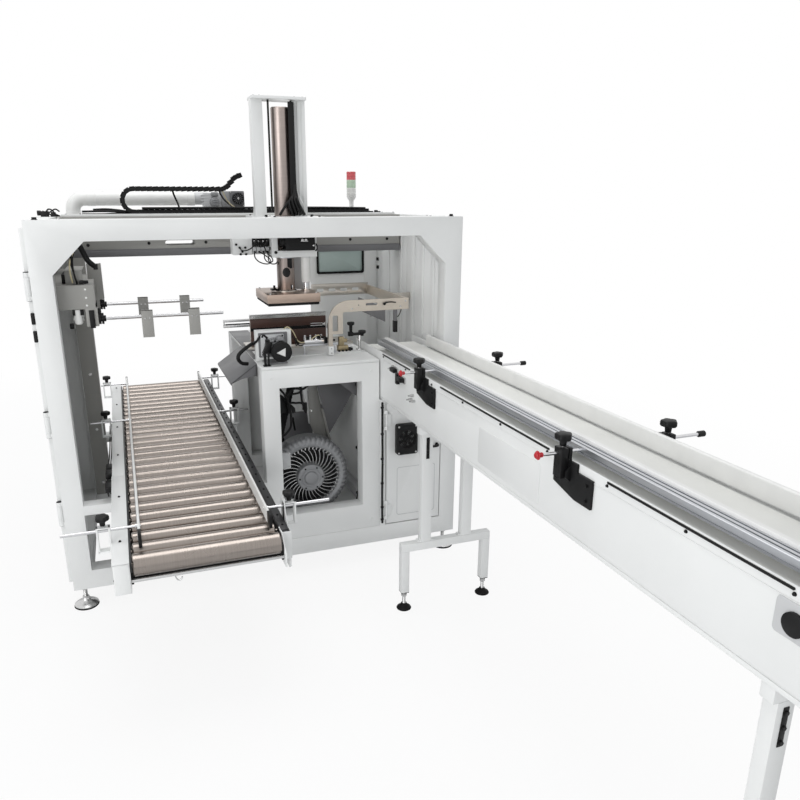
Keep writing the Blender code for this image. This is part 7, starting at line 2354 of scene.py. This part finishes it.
    # Chute sheet in dark grey: a grey sheet, its colour set darker as painted shade of the space it
    # lies in
    sheet = Solid()
    right, left = 0.8567, 0.738
    sheet.sheet(
        "Y", [(right, 1.015), (right, 1.011), (left + 0.004, 0.93), (left, 0.933)], 0.1, 0.54
    )
    sheet.box((right - 0.004, 0.1, 0.956), (right, 0.54, 1.013))
    for y in (0.1, 0.537):
        sheet.sheet(
            "Y", [(right, 1.015), (right, 0.96), (left + 0.05, 0.95), (left, 0.93), (left, 0.934)],
            y, y + 0.003
        )
    sheet.box((left, 0.1, 0.924), (left + 0.003, 0.54, 0.9335))
    piece("chute_sheet", sheet, "dark paint and painted shade", "transfer_chute", edge=0.0006)
    ribs = Solid()
    for y in (0.16, 0.3, 0.44):
        ribs.sheet(
            "Y", [(right - 0.003, 1.005), (right - 0.003, 0.97), (left + 0.03, 0.951)], y, y + 0.004
        )
    piece("chute_ribs", ribs, "steel sheet")
    hose = [
        [
            (0.862, 0.15, 1.1), (0.838, 0.14, 1.092), (0.806, 0.13, 1.074), (0.784, 0.126, 1.055),
            (0.78, 0.126, 1.035), (0.796, 0.132, 1.015), (0.824, 0.14, 1.008)
        ]
    ]
    cables("chute_hose", hose, 0.0165, "nylon")


def make_guard():
    plate = Solid()
    corner, left, right, top = (1.305, 1.168), 1.205, 1.602, 1.268
    outline = [(left, 1.06), (1.225, 1.06), (1.225, 1.115), (1.275, 1.115), (1.275, 1.205)]
    outline += arc((1.285, 1.205), 0.01, 180, 90, 4) + [(right, 1.215), (right, top)]
    outline += arc(corner, 0.1, 90, 180, 14)
    slots = [
        rounded((1.2251, 1.128), (1.251, 1.201), 0.004),
        rounded((1.387, 1.24), (1.445, 1.252), 0.005), circle((1.352, 1.244), 0.0032, 14)
    ]
    plate.sheet("Y", outline, 0.1502, 0.1578, slots)
    # Folded edges of the arch, and the rail that runs back beside the belt
    plate.box((1.205, 0.1575, 1.06), (1.208, 0.172, 1.166))
    plate.box((1.272, 0.1575, 1.115), (1.275, 0.172, 1.205))
    plate.box((1.594, 0.1575, 1.217), (1.601, 0.754, 1.266))
    plate.box((1.588, 0.1575, 1.264), (1.601, 0.754, 1.267))
    piece("guard_plate", plate, "beige steel", "guard_rail", edge=0.0014)
    foot = Solid()
    foot.box((1.2035, 0.14, 1.0193), (1.227, 0.173, 1.0602))
    piece("guard_foot", foot, "white coat", edge=0.0014)
    rear = Solid()
    slots = [
        rounded((1.31 + 0.066 * i, 1.238), (1.35 + 0.066 * i, 1.254), 0.0075) for i in range(4)
    ]
    rear.sheet(
        "Y", [(1.2803, 1.217), (1.5995, 1.217), (1.5995, 1.2795), (1.2803, 1.2795)], 0.7472, 0.755,
        slots
    )
    rear.box((1.2803, 0.74, 1.277), (1.5995, 0.7475, 1.2795))
    rear.box((1.598, 0.4205, 1.218), (1.7195, 0.424, 1.2575))
    rear.box((1.598, 0.4205, 1.218), (1.7195, 0.4595, 1.221))
    piece("guard_rear_rail", rear, "steel sheet", edge=0.001)
    baffle = Solid()
    baffle.box((1.502, 0.207, 1.15), (1.505, 0.62, 1.2168))
    piece("guard_baffle", baffle, "dark paint and painted shade", edge=0.0008)
    lever = Solid()
    lever.tube(
        smooth_path(
            [
                (1.474, 0.146, 1.244), (1.484, 0.142, 1.25), (1.505, 0.14, 1.253),
                (1.533, 0.14, 1.25)
            ], 5
        ), [0.004] * 6 + [0.0028] * 10, 10
    )
    lever.disc((1.478, 0, 1.245), "Y", 0.14, 0.1503, 0.006)
    piece("guard_lever", lever, "nylon")
    screws(
        "guard_screws", [(1.215, 0.14, z) for z in (1.029, 1.05)], "-Y", "bright zinc", size=0.45,
        sides=16
    )
    screws(
        "guard_arm_screws", [(x, 0.1502, 1.229) for x in (1.32, 1.56)] + [(1.586, 0.1502, 1.254)],
        "-Y", "bright zinc", size=0.55, sides=16
    )
    screws(
        "guard_bracket_screws", [(1.712, y, 1.221) for y in (0.432, 0.45)] + [(1.62, 0.44, 1.221)],
        "+Z", "bright zinc", size=0.6
    )

    sensor, metal = Solid(), Solid()
    sensor.box((1.5305, 0.1583, 1.105), (1.5495, 0.1755, 1.16))
    sensor.lathe(
        (1.54, 0, 1.12), "Y", [(0.154, 0.0), (0.154, 0.0055), (0.1584, 0.0065), (0.1584, 0.0)], 16
    )
    metal.box((1.532, 0.1583, 1.159), (1.548, 0.161, 1.2575))
    metal.box((1.532, 0.1609, 1.159), (1.5345, 0.173, 1.22))
    piece("sensor_head", sensor, "nylon", "lane_sensor", edge=0.0012)
    piece("sensor_arm", metal, "dark paint and painted shade", edge=0.0006)
    cord = [
        [
            (1.54, 0.172, 1.158), (1.552, 0.18, 1.172), (1.566, 0.186, 1.18), (1.58, 0.196, 1.2),
            (1.59, 0.215, 1.214)
        ]
    ]
    cables("sensor_cable", cord, 0.0045, "nylon")


def make_gearmotor():
    plate, cast, disc, lit = Solid(), Solid(), Solid(), Solid()
    # Square mounting plate with its stepped face, the gear case and the slotted coupling disc
    plate.box((0.862, 0.14, 1.0155), (1.018, 0.165, 1.155))
    plate.sheet("Y", rounded((0.861, 1.026), (1.021, 1.156), 0.003), 0.12, 0.141)
    piece("gearmotor_plate", plate, "white coat", edge=0.0014)
    rim = Solid()
    rim.sheet("Y", rounded((0.872, 1.038), (1.002, 1.147), 0.003), 0.113, 0.1205)
    piece("gearmotor_rim", rim, "dark paint and painted shade", edge=0.001)
    flange = Solid()
    flange.sheet("Y", rounded((0.88, 1.045), (0.984, 1.14), 0.004), 0.101, 0.114)
    piece("gearmotor_flange", flange, "light grey coat and painted shade", edge=0.0016)
    cast.lathe(
        (0.935, 0, 1.086), "Y",
        [
            (0.062, 0.0), (0.062, 0.028), (0.07, 0.033), (0.08, 0.035), (0.086, 0.04),
            (0.102, 0.042), (0.102, 0.0)
        ], 36
    )
    cast.box((0.898, 0.07, 1.058), (0.922, 0.1012, 1.12))
    for z in (1.118, 1.106, 1.094):
        cast.box((0.901, 0.056, z - 0.0035), (0.976, 0.072, z + 0.0035))
    cast.lathe(
        (0.96, 0, 1.12), "Y",
        [(0.056, 0.0), (0.056, 0.015), (0.07, 0.019), (0.09, 0.019), (0.09, 0.0)], 24
    )
    cast.box((0.89, 0.056, 1.0155), (0.988, 0.14, 1.023))
    piece("gearmotor_case", cast, "cast aluminium", "table_gearmotor", edge=0.0018)
    ribs = Solid()
    ribs.box((0.935 - 0.0014, 0.066, 1.086 + 0.028), (0.935 + 0.0014, 0.1, 1.086 + 0.042))
    ring("gearmotor_ribs", ribs, 20, (0.935, 0.083, 1.086), "Y", "cast aluminium")
    centre = (0.953, 1.078)
    window = [
        (centre[0] + 0.026 * math.cos(a), centre[1] + 0.026 * math.sin(a))
        for a in (math.radians(d) for d in (185, 48, -55))
    ]
    disc.sheet("Y", circle(centre, 0.044, 40), 0.002, 0.011, [window])
    disc.sheet("Y", circle(centre, 0.0455, 40), 0.0108, 0.023)
    disc.lathe(
        (centre[0], 0, centre[1]), "Y",
        [(0.0228, 0.0), (0.0228, 0.038), (0.04, 0.033), (0.063, 0.03), (0.063, 0.0)], 32
    )
    piece("coupling_disc", disc, "nylon", edge=0.0012)
    lit.sheet(
        "Y",
        [
            (centre[0] + (x - centre[0]) * 0.98, centre[1] + (z - centre[1]) * 0.98) for x,
            z in window
        ], 0.006, 0.0109
    )
    piece("coupling_face", lit, "sliding plastic and painted highlight")
    leg = Solid()
    leg.sheet(
        "Y", [(0.879, 1.0157), (0.887, 1.0157), (0.888, 1.065), (0.883, 1.078), (0.876, 1.078)],
        0.026, 0.04
    )
    leg.sheet("Y", [(0.894, 1.0157), (0.901, 1.0157), (0.902, 1.078), (0.895, 1.078)], 0.026, 0.04)
    leg.sheet("Y", [(0.874, 1.07), (0.909, 1.07), (0.916, 1.118), (0.898, 1.118)], 0.03, 0.06)
    leg.box((0.874, 0.02, 1.0155), (0.906, 0.048, 1.019))
    leg.box((0.896, 0.056, 1.095), (0.912, 0.09, 1.124))
    piece("gearmotor_leg", leg, "nylon", edge=0.0012)
    spots = [(x, 0.101, z) for x in (0.887, 0.977) for z in (1.052, 1.133)]
    screws("gearmotor_flange_screws", spots, "-Y", "nylon", size=0.6, sides=16)
    spots = [
        (0.935 + 0.024 * math.cos(a), 0.056, 1.108 + 0.011 * math.sin(a)) for a in (2.7, 1.6, 0.6)
    ]
    screws("gearmotor_cover_screws", spots, "-Y", "nylon", size=0.5, sides=16)
    cord = [
        [
            (0.91, 0.1, 1.124), (0.895, 0.104, 1.138), (0.878, 0.108, 1.133), (0.864, 0.112, 1.114),
            (0.858, 0.13, 1.103), (0.856, 0.148, 1.1)
        ]
    ]
    cables("gearmotor_cable", cord, 0.01, "nylon")


# Stage


def make_stage():
    """World, floor, lamps and the camera at the photograph's angle."""
    scene = bpy.context.scene
    scene.view_settings.view_transform = "Standard"
    world = bpy.data.worlds.new("studio")
    world.use_nodes = True
    scene.world = world
    tree = world.node_tree
    tree.nodes.clear()
    path = add(tree, "ShaderNodeLightPath").outputs
    seen = add(
        tree, "ShaderNodeMath", {0: path["Is Camera Ray"], 1: path["Is Glossy Ray"]},
        operation="MAXIMUM"
    ).outputs[0]
    seen = add(
        tree, "ShaderNodeMath", {0: seen, 1: path["Is Transmission Ray"]}, operation="MAXIMUM"
    ).outputs[0]
    fill = add(tree, "ShaderNodeBackground", {"Color": linear("#F4F6F8"), "Strength": 0.6})
    shown = add(tree, "ShaderNodeBackground", {"Color": linear("#FFFFFF"), "Strength": 1.0})
    mix = add(tree, "ShaderNodeMixShader", {0: seen, 1: fill.outputs[0], 2: shown.outputs[0]})
    add(tree, "ShaderNodeOutputWorld", {"Surface": mix.outputs[0]})

    floor_finish = bpy.data.materials.new("studio floor")
    floor_finish.use_nodes = True
    tree = floor_finish.node_tree
    tree.nodes.clear()
    glow = add(tree, "ShaderNodeEmission", {"Color": linear("#FFFFFF"), "Strength": 1.0})
    matt = add(tree, "ShaderNodeBsdfDiffuse", {"Color": linear("#F4F4F4")})
    place = add(tree, "ShaderNodeTexCoord").outputs["Object"]
    far = add(tree, "ShaderNodeVectorMath", {0: place}, operation="LENGTH").outputs["Value"]
    fade = add(
        tree, "ShaderNodeMapRange",
        {"Value": far, "From Min": 1.5, "From Max": 5.0, "To Min": 0.88, "To Max": 1.0}
    ).outputs[0]
    path = add(tree, "ShaderNodeLightPath").outputs
    share = add(
        tree, "ShaderNodeMath", {0: path["Is Camera Ray"], 1: fade}, operation="MULTIPLY"
    ).outputs[0]
    blend = add(tree, "ShaderNodeMixShader", {0: share, 1: matt.outputs[0], 2: glow.outputs[0]})
    add(tree, "ShaderNodeOutputMaterial", {"Surface": blend.outputs[0]})
    mesh = bpy.data.meshes.new("floor")
    sides = ((-1, -1), (1, -1), (1, 1), (-1, 1))
    corners = [(x * FLOOR_REACH, y * FLOOR_REACH, 0) for x, y in sides]
    mesh.from_pydata(corners, [], [(0, 1, 2, 3)])
    mesh.materials.append(floor_finish)
    floor = bpy.data.objects.new("floor", mesh)
    scene.collection.objects.link(floor)

    for name, place, target, size, power in (
        ("key light", (-2.6, -3.8, 3.4), (0.9, 0.3, 0.8), 3.0, 38),
        ("low fill", (-2.4, -3.4, 1.3), (1.5, 0.7, 1.1), 2.6, 48),
        ("top light", (0.8, 0.6, 5.0), (0.8, 0.5, 0.8), 3.2, 85)
    ):
        lamp = bpy.data.lights.new(name, "AREA")
        lamp.energy = power
        lamp.size = size
        holder = bpy.data.objects.new(name, lamp)
        holder.location = place
        aim = Vector(target) - Vector(place)
        holder.rotation_euler = aim.to_track_quat("-Z", "Y").to_euler()
        scene.collection.objects.link(holder)

    data = bpy.data.cameras.new("camera")
    data.sensor_width = 36.0
    data.lens = CAMERA_LENS
    data.shift_x, data.shift_y = CAMERA_SHIFT
    data.clip_end = 60.0
    camera = bpy.data.objects.new("camera", data)
    camera.location = CAMERA_PLACE + SHIFT
    turns = (90 - CAMERA_PITCH, CAMERA_ROLL, CAMERA_YAW)
    camera.rotation_euler = [math.radians(turn) for turn in turns]
    scene.collection.objects.link(camera)
    scene.camera = camera


# Operators


class PACKER_OT_finishes(bpy.types.Operator):
    """Make the paints, metals, plastics and rubbers"""

    bl_idname = "packer.finishes"
    bl_label = "Finishes"

    def execute(self, context):
        make_finishes()
        return {"FINISHED"}


class PACKER_OT_stage(bpy.types.Operator):
    """Make the floor, the soft lights, the world and the camera"""

    bl_idname = "packer.stage"
    bl_label = "Stage"

    def execute(self, context):
        make_stage()
        return {"FINISHED"}


class PACKER_OT_frame(bpy.types.Operator):
    """Make the welded frame with its levelling feet"""

    bl_idname = "packer.frame"
    bl_label = "Frame"

    def execute(self, context):
        make_frame()
        return {"FINISHED"}


class PACKER_OT_walls(bpy.types.Operator):
    """Make the wall panels, the window and their screws"""

    bl_idname = "packer.walls"
    bl_label = "Walls"

    def execute(self, context):
        make_walls()
        return {"FINISHED"}


class PACKER_OT_side_door(bpy.types.Operator):
    """Make the side door with its hinges and latches"""

    bl_idname = "packer.side_door"
    bl_label = "Side door"

    def execute(self, context):
        make_side_door()
        return {"FINISHED"}


class PACKER_OT_service_door(bpy.types.Operator):
    """Make the front door with its handle, fan and loom"""

    bl_idname = "packer.service_door"
    bl_label = "Service door"

    def execute(self, context):
        make_service_door()
        return {"FINISHED"}


class PACKER_OT_cabinet(bpy.types.Operator):
    """Make the cabinet under the table, with its sheets of painted light and shade and its cables
    """

    bl_idname = "packer.cabinet"
    bl_label = "Cabinet"

    def execute(self, context):
        make_cabinet()
        return {"FINISHED"}


class PACKER_OT_blower(bpy.types.Operator):
    """Make the side channel blower and its hose"""

    bl_idname = "packer.blower"
    bl_label = "Blower"

    def execute(self, context):
        make_blower()
        return {"FINISHED"}


class PACKER_OT_infeed(bpy.types.Operator):
    """Make the infeed belt, its side plates and end drums"""

    bl_idname = "packer.infeed"
    bl_label = "Infeed conveyor"

    def execute(self, context):
        make_infeed()
        return {"FINISHED"}


class PACKER_OT_lane_guides(bpy.types.Operator):
    """Make the belt's side guides with their rods and clamps"""

    bl_idname = "packer.lane_guides"
    bl_label = "Lane guides"

    def execute(self, context):
        make_lane_guides()
        return {"FINISHED"}


class PACKER_OT_stands(bpy.types.Operator):
    """Make the stands under the infeed conveyor"""

    bl_idname = "packer.stands"
    bl_label = "Stands"

    def execute(self, context):
        make_stands()
        return {"FINISHED"}


class PACKER_OT_rollers(bpy.types.Operator):
    """Make the case conveyor's rollers and rails"""

    bl_idname = "packer.rollers"
    bl_label = "Roller conveyor"

    def execute(self, context):
        make_rollers()
        return {"FINISHED"}


class PACKER_OT_case_guides(bpy.types.Operator):
    """Make the case guides with their rods"""

    bl_idname = "packer.case_guides"
    bl_label = "Case guides"

    def execute(self, context):
        make_case_guides()
        return {"FINISHED"}


class PACKER_OT_flap_unit(bpy.types.Operator):
    """Make the unit that holds the case's flaps"""

    bl_idname = "packer.flap_unit"
    bl_label = "Flap unit"

    def execute(self, context):
        make_flap_unit()
        return {"FINISHED"}


class PACKER_OT_gantry(bpy.types.Operator):
    """Make the gantry beams, their rails and the chain tray"""

    bl_idname = "packer.gantry"
    bl_label = "Gantry"

    def execute(self, context):
        make_gantry()
        return {"FINISHED"}


class PACKER_OT_carriage(bpy.types.Operator):
    """Make the carriage with its guide, brake and valves"""

    bl_idname = "packer.carriage"
    bl_label = "Carriage"

    def execute(self, context):
        make_carriage()
        return {"FINISHED"}


class PACKER_OT_head(bpy.types.Operator):
    """Make the ram and the vacuum head"""

    bl_idname = "packer.head"
    bl_label = "Lift head"

    def execute(self, context):
        make_head()
        return {"FINISHED"}


class PACKER_OT_chain(bpy.types.Operator):
    """Make the drag chain and the cables over the frame"""

    bl_idname = "packer.chain"
    bl_label = "Drag chain"

    def execute(self, context):
        make_chain()
        return {"FINISHED"}


class PACKER_OT_top_units(bpy.types.Operator):
    """Make the duct, its fan drive and the signal light"""

    bl_idname = "packer.top_units"
    bl_label = "Top units"

    def execute(self, context):
        make_top_units()
        return {"FINISHED"}


class PACKER_OT_table_units(bpy.types.Operator):
    """Make the transfer lane, chute, guard rail and gearmotor"""

    bl_idname = "packer.table_units"
    bl_label = "Table units"

    def execute(self, context):
        make_lane()
        make_guard()
        make_gearmotor()
        return {"FINISHED"}


OPERATORS = (
    PACKER_OT_finishes, PACKER_OT_stage, PACKER_OT_frame, PACKER_OT_walls, PACKER_OT_side_door,
    PACKER_OT_service_door, PACKER_OT_cabinet, PACKER_OT_blower, PACKER_OT_infeed,
    PACKER_OT_lane_guides, PACKER_OT_stands, PACKER_OT_rollers, PACKER_OT_case_guides,
    PACKER_OT_flap_unit, PACKER_OT_gantry, PACKER_OT_carriage, PACKER_OT_head, PACKER_OT_chain,
    PACKER_OT_top_units, PACKER_OT_table_units
)


class PACKER_PT_machine(bpy.types.Panel):
    """Sizes, colours and pieces of the case packing machine"""

    bl_idname = "PACKER_PT_machine"
    bl_label = "Case packing machine"
    bl_space_type = "VIEW_3D"
    bl_region_type = "UI"
    bl_category = "Machine"

    def draw(self, context):
        layout = self.layout
        for group in (context.scene.packer_sizes, context.scene.packer_colours):
            box = layout.box()
            for name in group.__annotations__:
                box.prop(group, name)
        column = layout.column(align=True)
        for operator in OPERATORS:
            column.operator(operator.bl_idname)


CLASSES = (PACKER_PG_colours, PACKER_PG_sizes, *OPERATORS, PACKER_PT_machine)


def register():
    for kind in CLASSES:
        bpy.utils.register_class(kind)
    bpy.types.Scene.packer_colours = bpy.props.PointerProperty(type=PACKER_PG_colours)
    bpy.types.Scene.packer_sizes = bpy.props.PointerProperty(type=PACKER_PG_sizes)


def unregister():
    del bpy.types.Scene.packer_sizes
    del bpy.types.Scene.packer_colours
    for kind in reversed(CLASSES):
        bpy.utils.unregister_class(kind)


def main():
    register()
    bpy.ops.packer.finishes()
    bpy.ops.packer.stage()
    bpy.ops.packer.frame()
    bpy.ops.packer.walls()
    bpy.ops.packer.side_door()
    bpy.ops.packer.service_door()
    bpy.ops.packer.cabinet()
    bpy.ops.packer.blower()
    bpy.ops.packer.infeed()
    bpy.ops.packer.lane_guides()
    bpy.ops.packer.stands()
    bpy.ops.packer.rollers()
    bpy.ops.packer.case_guides()
    bpy.ops.packer.flap_unit()
    bpy.ops.packer.gantry()
    bpy.ops.packer.carriage()
    bpy.ops.packer.head()
    bpy.ops.packer.chain()
    bpy.ops.packer.top_units()
    bpy.ops.packer.table_units()


if __name__ == "__main__":
    main()
